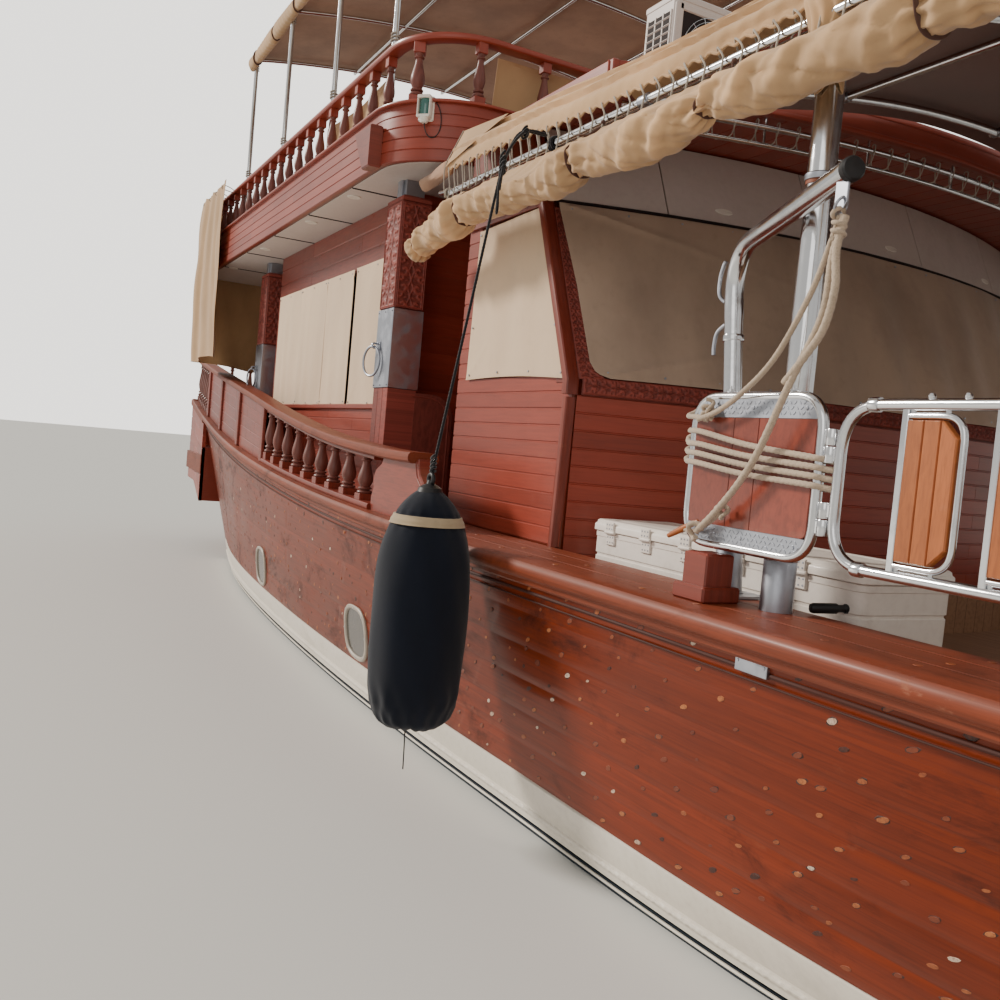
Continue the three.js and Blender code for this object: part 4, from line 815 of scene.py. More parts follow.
class DHOW_OT_solids(bpy.types.Operator):
    """Finishes of the solids that stay in sight: decks, bottom, stem, frames, machinery"""
    bl_idname = "dhow.solids"
    bl_label = "Solids"

    def execute(self, context):
        kept = {"hull_topsides": "deck", "hull_bottom": "navy", "hull_band": "white",
                "stem_post": "solid_teak",}
        usual = {"teak": "solid_teak", "dark_teak": "solid_house", "white_metal": "cooler",
                 "antifouling": "navy", "stainless_steel": "steel", "bronze": "bronze",
                 "canvas": "canvas", "curtain_cloth": "curtain", "fender_cloth": "fender",
                 "chest_plastic": "plastic", "green_lens": "green", "red_lens": "red"}
        for name, node in NODES.items():
            first = node.data.materials[0].name if node.data.materials else "teak"
            word = kept.get(name) or usual.get(first.split(".")[0], "solid_teak")
            node.data.materials.clear()
            node.data.materials.append(finish(word))
        return {"FINISHED"}


def plate(outline, axis, d0, d1, edge=0.003, tone=0.5):
    """A flat outline with thickness and its edges taken off: on "y" it lies in x and z, on "x"
    in y and z, on "z" in x and y."""
    o = np.asarray(outline, float)
    after = np.roll(o, -1, 0)
    if (o[:, 0] * after[:, 1] - o[:, 1] * after[:, 0]).sum() < 0:
        o = o[::-1]
    way = unit(o - np.roll(o, 1, 0)) + unit(np.roll(o, -1, 0) - o)
    inner = o + edge * unit(stacked(-way[:, 1], way[:, 0]))
    d0, d1 = min(d0, d1), max(d0, d1)
    columns = {"y": [0, 2, 1], "x": [1, 2, 0], "z": [0, 1, 2]}[axis]
    v = np.zeros((4, len(o), 3))
    for ring, (flat, d) in enumerate(((inner, d0), (o, d0 + edge), (o, d1 - edge), (inner, d1))):
        v[ring][:, columns[:2]] = flat
        v[ring][:, columns[2]] = d
    t = np.array(tessellate_polygon([[Vector((a, b, 0)) for a, b in inner]]))
    a, b, c = (inner[t[:, k]] for k in range(3))
    clockwise = (b[:, 0] - a[:, 0]) * (c[:, 1] - a[:, 1]) - (b[:, 1] - a[:, 1]) * (c[:, 0]
        - a[:, 0]) < 0
    t[clockwise] = t[clockwise][:, ::-1]
    n = len(o)
    uv = np.tile(o[:, ::-1] if np.ptp(o[:, 1]) > np.ptp(o[:, 0]) else o, (4, 1))
    return Shape(v, cells(4, n, wrap_v=True)[:, ::-1], np.vstack([t[:, ::-1], t + 3 * n]), tone,
                 uv).outward()


def board(a, b, c, d, axis, d0, d1, edge=0.003, tone=0.5):
    """A flat rectangle with thickness: a to b across, c to d up."""
    return plate([(a, c), (b, c), (b, d), (a, d)], axis, d0, d1, edge, tone)


def boarding(place, s, low, high, count, seed=0, depth=0.004, back=0.012, butts=()):
    """Boards laid edge to edge between two heights: each has a groove at both edges and, at
    every other of the butts, a joint across it. place(s, z, out) gives the points."""
    r = np.random.default_rng(seed)
    butts = np.asarray(butts, float)
    gap = 0.0015 * np.ptp(s) / max(np.ptp(s), 1)
    s = np.unique(np.r_[np.asarray(s, float), butts - gap * 2, butts, butts + gap * 2])
    across = np.array([0, 0.025, 0.07, 0.3, 0.7, 0.93, 0.975])
    drop = np.array([1, 1, 0, 0, 0, 0, 1.0])
    z = np.r_[(np.arange(count)[:, None] + across).ravel() / count, 1.0]
    out = np.r_[np.tile(-drop, count), -1.0]
    board = np.minimum((z * count).astype(int), count - 1)
    tone = np.zeros((len(s), len(z)))
    fall = np.zeros_like(tone)
    for k in range(count):
        mine = butts[k % 2 :: 2]
        rows = board == k
        tone[:, rows] = r.uniform(0.15, 0.85, len(mine) + 1)[np.searchsorted(mine, s)][:, None]
        fall[:, rows] = np.isclose(s[:, None], mine[None]).any(1)[:, None] if len(mine) else 0
    sink = np.maximum(-out[None], fall) * depth
    sg, zg = grid(s, mix(low, high, z))
    return slab(place(sg, zg, -sink), place(sg, zg, -back), tone)


def discs(p, along_way, up_way, radius, lift, tone=0.5, sides=10, wobble=0.0):
    """Small round plugs: rims about points p in the plane of two ways, domed by a lift, and by a
    wobble out of round."""
    a = circle(sides)
    p = np.asarray(p, float)
    along_way, up_way = (np.broadcast_to(np.asarray(way, float), p.shape)
                         for way in (along_way, up_way))
    out = unit(np.cross(along_way, up_way))
    ring = np.cos(a)[None, :, None] * along_way[:, None] + np.sin(a)[None, :, None] * up_way[:,
        None]
    phase = np.arange(len(p))[:, None] * 2.4
    uneven = 1 + wobble * (np.sin(2 * a + phase) + 0.6 * np.sin(3 * a + 1.7 * phase))
    r = np.broadcast_to(radius, len(p))[:, None, None] * uneven[..., None]
    lift = np.broadcast_to(lift, len(p))[:, None]
    low = p[:, None] + ring * r - out[:, None] * 0.002
    high = p[:, None] + ring * r * 0.86 + (out * lift)[:, None]
    middle = (p + out * lift * 1.2)[:, None]
    n, m = len(p), 2 * sides + 1
    k = np.arange(sides)
    k2 = (k + 1) % sides
    q = stacked(k, k2, k2 + sides, k + sides)[None] + np.arange(n)[:, None, None] * m
    t = stacked(k + sides, k2 + sides, 2 * sides)[None] + np.arange(n)[:, None, None] * m
    return Shape(np.concatenate([low, high, middle], 1), q, t,
                 np.repeat(np.broadcast_to(tone, n), m))


class DHOW_OT_hull(bpy.types.Operator):
    """Strakes with seams and butts, plugs over fastenings, painted band, mouldings, portholes"""
    bl_idname = "dhow.hull"
    bl_label = "Hull"

    def execute(self, context):
        z = context.scene.dhow_sizes
        strakes = max(3, round((1.4 - COVER - BAND_TOP) / z.strake))
        stations = np.linspace(0, 1, 230)
        butts = np.sort(np.random.default_rng(5).uniform(0.04, 0.96, 14))
        for name, side in SIDES:
            def skin(u, v, out):
                rail = mix(STERN_RAIL, BOW_RAIL, u)
                height = mix(BAND_TOP + 0.002, sheer(rail) - COVER + 0.004, v)
                x, y = hull_at(u, height, out + 0.012 + 0.0018 * waves(rail, height * 3, 3,
                    scale=2.2))
                return stacked(x, side * y, height)

            def band(u, v, out):
                rail = mix(STERN_RAIL, BOW_RAIL, u)
                height = mix(BAND_LOW, BAND_TOP, v)
                x, y = hull_at(u, height, out + 0.02 + 0.001 * waves(rail * 2, height * 5, 9))
                return stacked(x, side * y, height)

            made = boarding(skin, stations, 0, 1, strakes, 21, z.seam, 0.02, butts)
            piece("hull_planking_" + name, made, "hull")
            u, v = grid(stations, np.r_[0, 0.02, 0.3, 0.35, 0.4, 0.93, 0.96, 1.0])
            step = np.interp(v, [0, 0.02, 0.3, 0.35, 0.4, 0.93, 0.96, 1.0],
                             [-0.012, 0, 0, -0.006, -0.004, -0.004, -0.006, -0.02])
            piece("hull_band_" + name, slab(band(u, v, step), band(u, v, -0.03)), "white",
                  replaces="hull_band" if side < 0 else "")
            line = [stacked(*hull_at(stations, h, out), h)
                    for h, out in ((0.125, 0.018), (0.030, 0.006))]
            for path in line:
                path[:, 1] *= side
            piece("rope_moulding_" + name, rope(line[0], 0.030, 2, 2.2, 10), "white")
            # Two dark tubes under the covering board: a seam, darkened also to paint the shadow
            # under the wale's lower edge.
            bead = hull_at(stations, sheer(mix(STERN_RAIL, BOW_RAIL, stations)) - 0.15, 0.014)
            bead = stacked(bead[0], side * bead[1], sheer(mix(STERN_RAIL, BOW_RAIL, stations))
                           - 0.15)
            piece("rail_bead_" + name,
                  merge(tube(bead, 0.008, 8), tube(bead - (0, 0, 0.035), 0.004, 8)), "joint")
            piece("boot_line_" + name, tube(line[1], 0.007, 6), "white")

            r = np.random.default_rng(17)
            share = np.arange(0.006, 0.99, z.plug_step / (BOW_RAIL - STERN_RAIL))
            u, row = grid(share, np.arange(strakes * 2))
            v = (row // 2 + np.where(row % 2, 0.76, 0.24)) / strakes
            u = u + r.normal(0, 0.0011, u.shape) + (row % 2) * 0.45 * z.plug_step / 20.3
            keep = r.random(u.shape) > 0.10
            u, v = u[keep], v[keep] + r.normal(0, 0.006, keep.sum())
            lone = r.random((160, 2))
            u, v = np.clip(np.r_[u, lone[:, 0]], 0.004, 0.992), np.clip(np.r_[v, lone[:, 1]], 0.02,
                0.97)
            p = skin(u, v, 0)
            ahead = unit(skin(u + 2e-4, v, 0) - p)
            above = unit(skin(u, v + 2e-3, 0) - p)
            if side > 0:
                ahead = -ahead
            tone = np.where(r.random(len(u)) < 0.10, r.uniform(0.9, 1.0, len(u)),
                            r.uniform(0.14, 0.8, len(u)))
            tone[r.random(len(u)) < 0.12] = 0.02
            radius = z.plug / 2 * r.uniform(0.6, 1.15, len(u))
            lift = r.uniform(0.0006, 0.0022, len(u))
            ringed = r.random(len(u)) < 0.7
            rims = discs(p[ringed], ahead[ringed], above[ringed], radius[ringed] * 1.25, 0.0003, 0,
                         9, 0.16)
            piece("hull_plugs_" + name, merge(discs(p, ahead, above, radius, lift, tone, 9, 0.1),
                                              rims), "plugs")

            for k, x in enumerate((-4.08, -0.87)):
                level = 0.512
                y = side * hull_side(x, level, 0.012)
                a = circle(56)
                oval = stacked(np.sign(np.cos(a)) * abs(np.cos(a)) ** 0.72 * 0.235,
                                 np.sign(np.sin(a)) * abs(np.sin(a)) ** 0.72 * 0.192)
                slope = (hull_side(x, level + 0.17) - hull_side(x, level - 0.17)) / 0.34
                yaw = (hull_side(x + 0.2, level) - hull_side(x - 0.2, level)) / 0.4

                def rim(scale, out):
                    q = oval * scale
                    return stacked(x + q[:, 0], y + side * (out + slope * q[:, 1] + yaw * q[:, 0]),
                                   level + q[:, 1])

                frame_rim = loft([rim(1.0, -0.02), rim(1.02, 0.012), rim(0.98, 0.019),
                                  rim(0.90, 0.019), rim(0.86, 0.012), rim(0.85, -0.02)],
                                 closed=True)
                piece("porthole_%d_%s" % (k + 1, name), frame_rim, "rim")
                studs = rim(0.94, 0.018)[::7]
                piece("porthole_studs_%d_%s" % (k + 1, name),
                      discs(studs, (-side, 0, 0), UP, 0.008, 0.004), "steel")
                piece("porthole_glass_%d_%s" % (k + 1, name),
                      loft([rim(0.87, -0.012), rim(0.87, 0.004), rim(0.3, 0.005)]), "glass")
            x = 3.17
            y, h = hull_side(x, 1.27, 0.012), 1.272
            name_plate = block(x - 0.075, x + 0.075, -0.006, 0.012, h - 0.034, h + 0.034, 0.002)
            screws = discs([(x - 0.062, side * 0.012, h), (x + 0.062, side * 0.012, h)],
                           (-side, 0, 0), UP, 0.006, 0.002)
            plate_shape = merge(name_plate if side > 0 else name_plate.mirrored(), screws)
            piece("blank_plate_" + name, plate_shape.moved((0, side * y, 0)), "dull_steel")

        def transom(s, height, out):
            x, half = hull_at(0.0, height, 0.01)
            return stacked(x - 0.012 - out, s * half, height)

        piece("transom_planking", boarding(transom, np.linspace(-1, 1, 24), BAND_TOP, 1.9, 8, 4,
                                           z.seam, 0.02), "hull")
        return {"FINISHED"}


COVER_PROFILE = [(0.48, -0.01), (0.47, 0.0), (0.335, 0.0), (0.33, -0.005), (0.325, 0.0),
                 (0.165, 0.0), (0.16, -0.005), (0.155, 0.0), (0.03, 0.0), (-0.015, -0.001),
                 (-0.038, -0.006), (-0.05, -0.018), (-0.056, -0.034), (-0.057, -0.05),
                 (-0.052, -0.066), (-0.04, -0.078), (-0.024, -0.083), (-0.018, -0.09),
                 (-0.016, -0.108), (-0.008, -0.118), (0.05, -0.12), (0.05, -0.09), (0.48, -0.09),]


class DHOW_OT_covering(bpy.types.Operator):
    """Covering boards with a rounded nosing, plank seams and plugs"""
    bl_idname = "dhow.covering"
    bl_label = "Covering boards"

    def execute(self, context):
        z = context.scene.dhow_sizes
        xs = np.r_[np.linspace(-8.9, 10.4, 200), np.linspace(10.45, 11.25, 24)]
        least = np.where((xs > -6.1) & (xs < 1.9), HOUSE + 0.0005, 0.09)
        profile = np.array(COVER_PROFILE)
        plank = np.select([profile[:, 0] > 0.33, profile[:, 0] > 0.16], [0, 1], 2)
        for name, side in SIDES:
            r = np.random.default_rng(31 + side)
            tones = r.uniform(0.25, 0.9, (9, 3))
            tone = tones[((xs + 9) / 2.6).astype(int)[:, None], plank[None]]
            lift = 0.0012 * waves(xs[:, None] * 2, profile[None, :, 0] * 9, 12)
            made = along(xs, side, profile, sheer, least, tone)
            made.v[: lift.size, 2] += lift.ravel()
            piece("covering_board_" + name, made, "rail", replaces="covering_board_" + name)
            at = np.arange(-8.7, 10.9, 0.31)
            at = at + r.normal(0, 0.02, 64)[: len(at)]
            at = np.tile(at, 3)
            inboard = np.repeat([0.09, 0.245, 0.41], len(at) // 3) + r.normal(0, 0.012, len(at))
            p = on_side(at, side, inboard, sheer(at) + 0.0005)
            keep = (abs(p[:, 1]) > np.where((at > -6.1) & (at < 1.9), HOUSE + 0.02, 0.12)) & (
                r.random(len(at)) > 0.2)
            piece("covering_plugs_" + name, discs(p[keep], AHEAD, ABEAM, z.plug * 0.45, 0.001,
                                                  r.uniform(0.14, 0.7, keep.sum())), "plugs")
        return {"FINISHED"}


VASE = np.array([(0.60, 0.0), (0.92, 0.015), (1.0, 0.045), (0.92, 0.075), (0.66, 0.095),
                 (0.62, 0.11), (0.84, 0.125), (0.90, 0.15), (0.80, 0.175), (0.64, 0.19),
                 (0.70, 0.22), (0.86, 0.28), (0.97, 0.35), (0.98, 0.41), (0.92, 0.49), (0.78, 0.59),
                 (0.63, 0.69), (0.52, 0.78), (0.47, 0.85), (0.50, 0.87), (0.68, 0.885),
                 (0.72, 0.905), (0.62, 0.925), (0.50, 0.935), (0.56, 0.965), (0.62, 1.0),])


def baluster(x, y, low, high, radius, foot=0.16, head=0.08, turn=0.0, sides=16, tone=0.5):
    """A turned baluster: square foot, two rings, a vase tapering to a ringed neck, square head."""
    half, tall = radius * 0.98, high - low
    vase = lathe(VASE * (radius, tall * (1 - foot - head)) + (0, foot * tall - 0.002), (x, y, low),
                 sides=sides, tone=tone)
    squares = merge(stub(x, y, half, half, low, low + foot * tall, 0.004, tone),
                    stub(x, y, half * 0.8, half * 0.8, high - head * tall - 0.003, high, 0.003,
                         tone))
    for made in (vase, squares):
        made.uv = stacked(made.v[:, 2], made.v[:, 0] + made.v[:, 1])
    return [made.moved(turn=turn_about(UP, turn), about=(x, y, 0)) for made in (vase, squares)]


def rounded_bar(width, height, edge=0.012, at=(0, 0)):
    """A rectangular section with rounded edges, as [aside, up] points about a middle."""
    w, h = width / 2, height / 2
    corners = np.array([[-w, -h, 0], [w, -h, 0], [w, h, 0], [-w, h, 0]])
    return bent(corners, edge * 1.7, True, 4)[:, :2] + at


class DHOW_OT_bulwark(bpy.types.Operator):
    """Raised aft bulwark: rail, turned balusters on a plank, panelled side, scrolled end board"""
    bl_idname = "dhow.bulwark"
    bl_label = "Bulwark"

    def execute(self, context):
        r = np.random.default_rng(8)
        for name, side in SIDES:
            xs = np.linspace(-8.895, 0.13, 120)
            made = along(xs, side, rounded_bar(0.21, 0.07, 0.02, (0.085, -0.035)), bulwark_rail,
                         tone=0.55)
            piece("bulwark_rail_" + name, made, "rail", replaces="bulwark_" + name)
            xs = np.linspace(-4.1, -0.62, 40)
            base = along(xs, side, rounded_bar(0.15, 0.045, 0.012, (0.085, 0.02)), tone=0.4)
            cap = along(xs, side, rounded_bar(0.10, 0.03, 0.01, (0.085, -0.085)), bulwark_rail,
                        tone=0.4)
            stands, squares = [], [base, cap]
            for x in (-4.02, -3.64, -3.23, -2.82, -2.42, -2.03, -1.66, -1.28, -0.9):
                y = side * (rail_half(x) - 0.085)
                vase, square = baluster(x, y, sheer(x) + 0.035, bulwark_rail(x) - 0.075, 0.056,
                                        0.15, 0.06, tone=r.uniform(0.3, 0.8))
                stands.append(vase)
                squares.append(square)
            piece("bulwark_balusters_" + name, merge(stands), "turned")
            piece("bulwark_baluster_blocks_" + name, merge(squares), "joinery")

            def panel(s, share, out):
                low, high = sheer(s), bulwark_rail(s) - 0.06
                return stacked(s, side * (rail_half(s) - 0.04 + out), mix(low, high, share))

            s = np.linspace(-8.89, -4.1, 60)
            made = boarding(panel, s, 0, 1, 5, 3, 0.005, 0.07, (-7.6, -6.9, -6.1, -5.2, -4.7))
            posts = []
            for x in (-8.85, -7.3, -5.7, -4.15):
                y = side * (rail_half(x) - 0.06)
                posts.append(stub(x, y, 0.05, 0.05, sheer(x) - 0.002, bulwark_rail(x) - 0.05, 0.008,
                                  r.uniform(0.3, 0.7)))
            piece("bulwark_panel_" + name, merge(made, posts), "joinery")

            scroll = [(-0.62, 1.405), (0.42, 1.402), (0.415, 1.47), (0.37, 1.50), (0.33, 1.545),
                      (0.30, 1.62), (0.24, 1.67), (0.19, 1.71), (0.165, 1.77), (0.16, 1.80),
                      (-0.42, 1.80), (-0.47, 1.74), (-0.56, 1.70), (-0.60, 1.64), (-0.585, 1.57),
                      (-0.62, 1.51)]
            outer, inner = side * (HALF_RAIL - 0.04), side * (HALF_RAIL - 0.13)
            end = plate(scroll, "y", inner, outer, 0.008, 0.6)
            bead = [(p, q) for p, q in scroll[2:10]]
            path = np.array([(p - 0.03, outer, q - 0.02) for p, q in bead])
            piece("bulwark_end_" + name, merge(end, tube(smooth(path, 0.02), 0.006, 8, tone=0.3)),
                  "joinery")
        return {"FINISHED"}


def carving(u, v, wide, tall, seed=1):
    """Relief of scrolling leaves from 0 to 1 on a panel: pairs of spirals either side of a wavy
    stem, each a set of ridges that wind about its centre, their edges cut into leaflets."""
    r = np.random.default_rng(seed)
    x, y = np.abs(u) * wide, v * tall
    pitch = wide * 0.62
    h = np.zeros(np.broadcast_shapes(np.shape(x), np.shape(y)))
    for k in range(int(tall / pitch) + 2):
        for centre, size, hand in (((0.27 * wide, (k + 0.25) * pitch), 0.26 * wide, 1),
                                   ((0.36 * wide, (k + 0.75) * pitch), 0.17 * wide, -1)):
            dx, dy = x - centre[0], y - centre[1]
            radius, angle = np.hypot(dx, dy) / size, np.arctan2(dy, dx)
            wind = np.cos(radius * 6.0 - hand * angle + r.uniform(0, 0.6) + 0.25
                          * np.sin(angle * 5 + radius * 2))
            h = np.maximum(h, np.exp(-((radius / 1.15) ** 4))
                           * (0.35 + 0.65 * np.clip(wind * 1.4 + 0.2, 0, 1)))
    stem = np.exp(-(((x - 0.045 * wide * (1 + np.sin(y / pitch * 6.3))) / (0.035 * wide)) ** 2))
    leaf = np.clip(np.cos(y / pitch * 25 + x / wide * 16), 0,
                   1) * np.exp(-(((x - 0.14 * wide) / (0.07 * wide)) ** 2))
    return np.maximum(np.maximum(h, stem * 0.85), leaf * 0.7)


def carved_panel(place, wide, tall, border=0.016, depth=0.009, step=0.004, seed=1, back=0.004):
    """A framed carving; place(a, b, out) gives points for a across and b up from its middle."""
    step = step * 1
    a = np.linspace(-wide / 2, wide / 2, max(8, int(wide / step)))
    b = np.linspace(-tall / 2, tall / 2, max(8, int(tall / step)))
    ag, bg = grid(a, b)
    edge = np.minimum(wide / 2 - abs(ag), tall / 2 - abs(bg))
    if wide > tall:
        h = carving(bg / tall, ag / wide + 0.5, tall - 2 * border, wide - 2 * border, seed)
    else:
        h = carving(ag / wide, bg / tall + 0.5, wide - 2 * border, tall - 2 * border, seed)
    inside = np.clip((edge - border) / 0.006, 0, 1)
    rim = 0.95 - 0.5 * np.exp(-(((edge - border * 0.55) / 0.003) ** 2))
    h = inside * h + (1 - inside) * rim
    h *= np.clip(edge / 0.003, 0, 1)
    # The tone follows the carving's height: painted shade in the hollows, lighter on the raised
    # parts.
    return slab(place(ag, bg, h * depth), place(ag, bg, -back), 0.06 + 0.8 * h)


# The front wall: where its corners stand, how far it bows out amidships, and how far it leans aft
# for each metre over the sill. Then the after end of the front room, and both ends of the saloon.
FRONT_CORNER, BOW, RAKE = 1.1, 0.42, 0.44
FRONT_AFT, SALOON_AFT, SALOON_FORE = -0.37, -5.3, -1.48


def front_x(y):
    return FRONT_CORNER + BOW * (1 - (y / HOUSE) ** 2)


def raked_x(z):
    return FRONT_CORNER - np.maximum(0, z - SILL) * RAKE


def front_face(y, z, out=0.0):
    """Points of the front wall: bowed in plan, leaning aft over the sill."""
    slope = 2 * BOW * y / HOUSE**2
    k = out / np.sqrt(1 + slope**2)
    return stacked(front_x(y) - np.maximum(0, z - SILL) * RAKE + k, y + k * slope, z)


def lerp_rows(z, rows):
    """A value at each height from a short table of [height, value]."""
    rows = np.array(rows)
    return np.interp(z, rows[:, 0], rows[:, 1])


def hung_cloth(place, wide, tall, seed, relief=0.02, step=0.02, thick=0.003, folds=5):
    """Cloth that hangs from its top edge: soft folds that deepen downwards, a few slack creases
    that run from its corners, a hem. place(a, b, out) takes a and b from 0 to 1."""
    n, m = int(wide / step) + 2, int(tall / step) + 2
    a, b = grid(np.linspace(0, 1, n), np.linspace(0, 1, m))
    fold = np.sin(a * np.pi * 2 * folds + 1.3 * np.sin(a * 5 + seed) + 0.5 * (1 - b))
    slack = waves(a * wide * 1.3, b * tall * 0.8, seed, 6, 2.2) + 0.5 * waves(a * wide * 3,
        b * tall * 2, seed + 50, 5, 2.6)
    crease = sum(np.exp(-((((a - c[0]) * np.sin(c[2]) - (b - c[1]) * np.cos(c[2])) / 0.012) ** 2))
                 * np.exp(-np.hypot(a - c[0], b - c[1]) * 4)
                 for c in ((0.03, 0.03, 0.8), (0.97, 0.03, 2.3), (0.03, 0.97, -0.8),
                           (0.97, 0.97, 0.75 + np.pi / 2)))
    free = np.clip(4 * a * (1 - a), 0, 1) ** 0.5 * (0.35 + 0.65 * np.clip(4 * b * (1 - b), 0,
        1) ** 0.5)
    edge = np.minimum(np.minimum(a, 1 - a) * wide, np.minimum(b, 1 - b) * tall)
    hem = 0.0015 * np.exp(-(((edge - 0.02) / 0.003) ** 2)) - 0.0008 * np.exp(
        -(((edge - 0.026) / 0.002) ** 2))
    out = relief * free * (0.45 * fold * (0.3 + 0.7 * (1 - b)) + 0.55 * slack
                           + 0.3) + 0.35 * relief * crease + hem
    out = np.maximum(out, -0.2 * relief)
    return slab(place(a, b, out), place(a, b, out - thick),
                0.5 + 0.25 * waves(a * wide * 2, b * tall, seed + 9))


def studs_along(points, radius=0.007, out=(0, -1, 0)):
    """Domed snap studs at points, facing one way."""
    out = np.asarray(out, float)
    return discs(np.asarray(points, float) + out * 0.003, unit(np.cross(UP, out)), UP, radius,
                 0.003)


class DHOW_OT_house(bpy.types.Operator):
    """Deckhouse boarding, corner pillars, carved frame of the front windows, panels over them"""
    bl_idname = "dhow.house"
    bl_label = "Deckhouse"

    def execute(self, context):
        width = context.scene.dhow_sizes.house_board
        for name, side in SIDES:
            y = side * HOUSE

            def face(s, z, out):
                return stacked(s, y + side * (out + 0.007), z)

            def raked(s, z, out):
                return face(mix(FRONT_AFT, raked_x(z), s), z, out)

            low = boarding(raked, np.linspace(0, 1, 9), 1.40, 2.348, round(0.94 / width), 41, 0.005,
                           0.008)
            strip = boarding(lambda s, z, out: face(mix(FRONT_AFT, -0.19, s), z, out),
                             np.linspace(0, 1, 4), 2.348, 3.345, round(1.0 / width), 42, 0.005,
                             0.008)
            piece("front_side_boards_" + name, merge(low, strip), "house")
            end = raked_x(3.345)
            header = plate([(FRONT_AFT, 3.33), (end + 0.03, 3.33), (end - 0.19, 3.826),
                            (FRONT_AFT, 3.826)], "y", y, y + side * 0.026, 0.005, 0.3)
            jamb = plate([(0.93, 2.30), (1.10, 2.30), (end, 3.34), (end - 0.13, 3.34)], "y", y,
                         y + side * 0.012, 0.003, 0.35)
            piece("front_side_frame_" + name, merge(header, jamb), "joinery")

            s = np.linspace(SALOON_AFT, SALOON_FORE, 24)
            low = boarding(face, s, sheer(-1.5) + 0.005, 2.16, 7, 43, 0.005, 0.008,
                           (-4.6, -3.9, -3.2, -2.5, -2.0))
            high = boarding(face, s, 3.36, 3.826, 3, 44, 0.006, 0.008, (-4.1, -2.6))
            posts = [block(x0, x1, y, y + side * 0.016, 2.15, 3.37, 0.004, t)
                     for x0, x1, t in ((SALOON_AFT, -5.17, 0.4), (-3.52, -3.38, 0.6),
                                       (-1.59, SALOON_FORE, 0.35))]
            sill = block(SALOON_AFT, SALOON_FORE, y, y + side * 0.04, 2.14, 2.185, 0.008, 0.45)
            piece("saloon_boards_" + name, merge(low, sill), "house")
            piece("saloon_frames_" + name, merge(high, posts), "joinery")

            z = np.linspace(2.235, 3.826, 22)
            path = stacked(raked_x(z) - 0.012, side * 2.2035, z)
            section = rounded_bar(0.062, 0.085, 0.012)
            low_post = [(1.072, side * 2.2035, 1.40), (1.083, side * 2.2035, 1.9),
                        (1.086, side * 2.2035, 2.22)]
            piece("corner_pillar_" + name, merge(carry(path, section, (0, side, 0), 0.3),
                                                 carry(low_post, section * (0.8, 0.8), (0, side, 0),
                                                       0.45)), "joinery")

        s = np.linspace(-2.17, 2.17, 60)
        low = boarding(lambda s, z, out: front_face(s, z, out + 0.007), s, 0.985, 2.235,
                       round(1.25 / width), 45, 0.006, 0.012, (-0.9, 0.7))
        piece("front_boards", low, "house")
        heads = []
        for y0, y1 in zip((-2.15, -1.5, -0.5, 0.5, 1.5), (-1.5, -0.5, 0.5, 1.5, 2.15)):
            y, z = grid(np.linspace(y0 + 0.004, y1 - 0.004, 9), np.linspace(3.372, 3.822, 4))
            heads.append(slab(front_face(y, z, 0.014), front_face(y, z, 0.002)))
        piece("front_head_panels", merge(heads), "panel")
        y = np.linspace(-2.15, 2.15, 60)
        piece("front_head_seam", tube(front_face(y, 3.362, 0.016), 0.009, 8, UP), "dark")
        slots = []
        for y in (-1.13, 0.2, 1.4):
            a = circle(24)
            slots.append(
                sheet(
                    np.stack([front_face(y + k * 0.06 * np.cos(a), 3.45 + k * 0.02 * np.sin(a), out)
                              for k, out in ((1.0, 0.013), (0.9, 0.0185), (0.02, 0.019))])))
        piece("front_lamps", merge(slots), "lamp")

        def low_strip(a, b, out):
            return front_face(a, 2.289 + b, out + 0.016)

        piece("carved_sill", carved_panel(low_strip, 4.30, 0.105, 0.012, 0.011, 0.006, 5, 0.012),
              "carved", sharp=50)
        for name, side in SIDES:
            def edge_strip(a, b, out):
                z = 2.82 + b
                inner = lerp_rows(z, [(2.33, 0.15), (2.38, 0.105), (2.53, 0.078), (2.85, 0.065),
                                      (3.33, 0.05)])
                y = side * (2.168 - (a / 0.08 + 0.5) * inner)
                return front_face(y, z, out + 0.016)

            piece("carved_edge_" + name, carved_panel(edge_strip, 0.08, 1.0, 0.007, 0.010, 0.0035,
                                                      7 + side, 0.012), "carved", sharp=50)
        return {"FINISHED"}


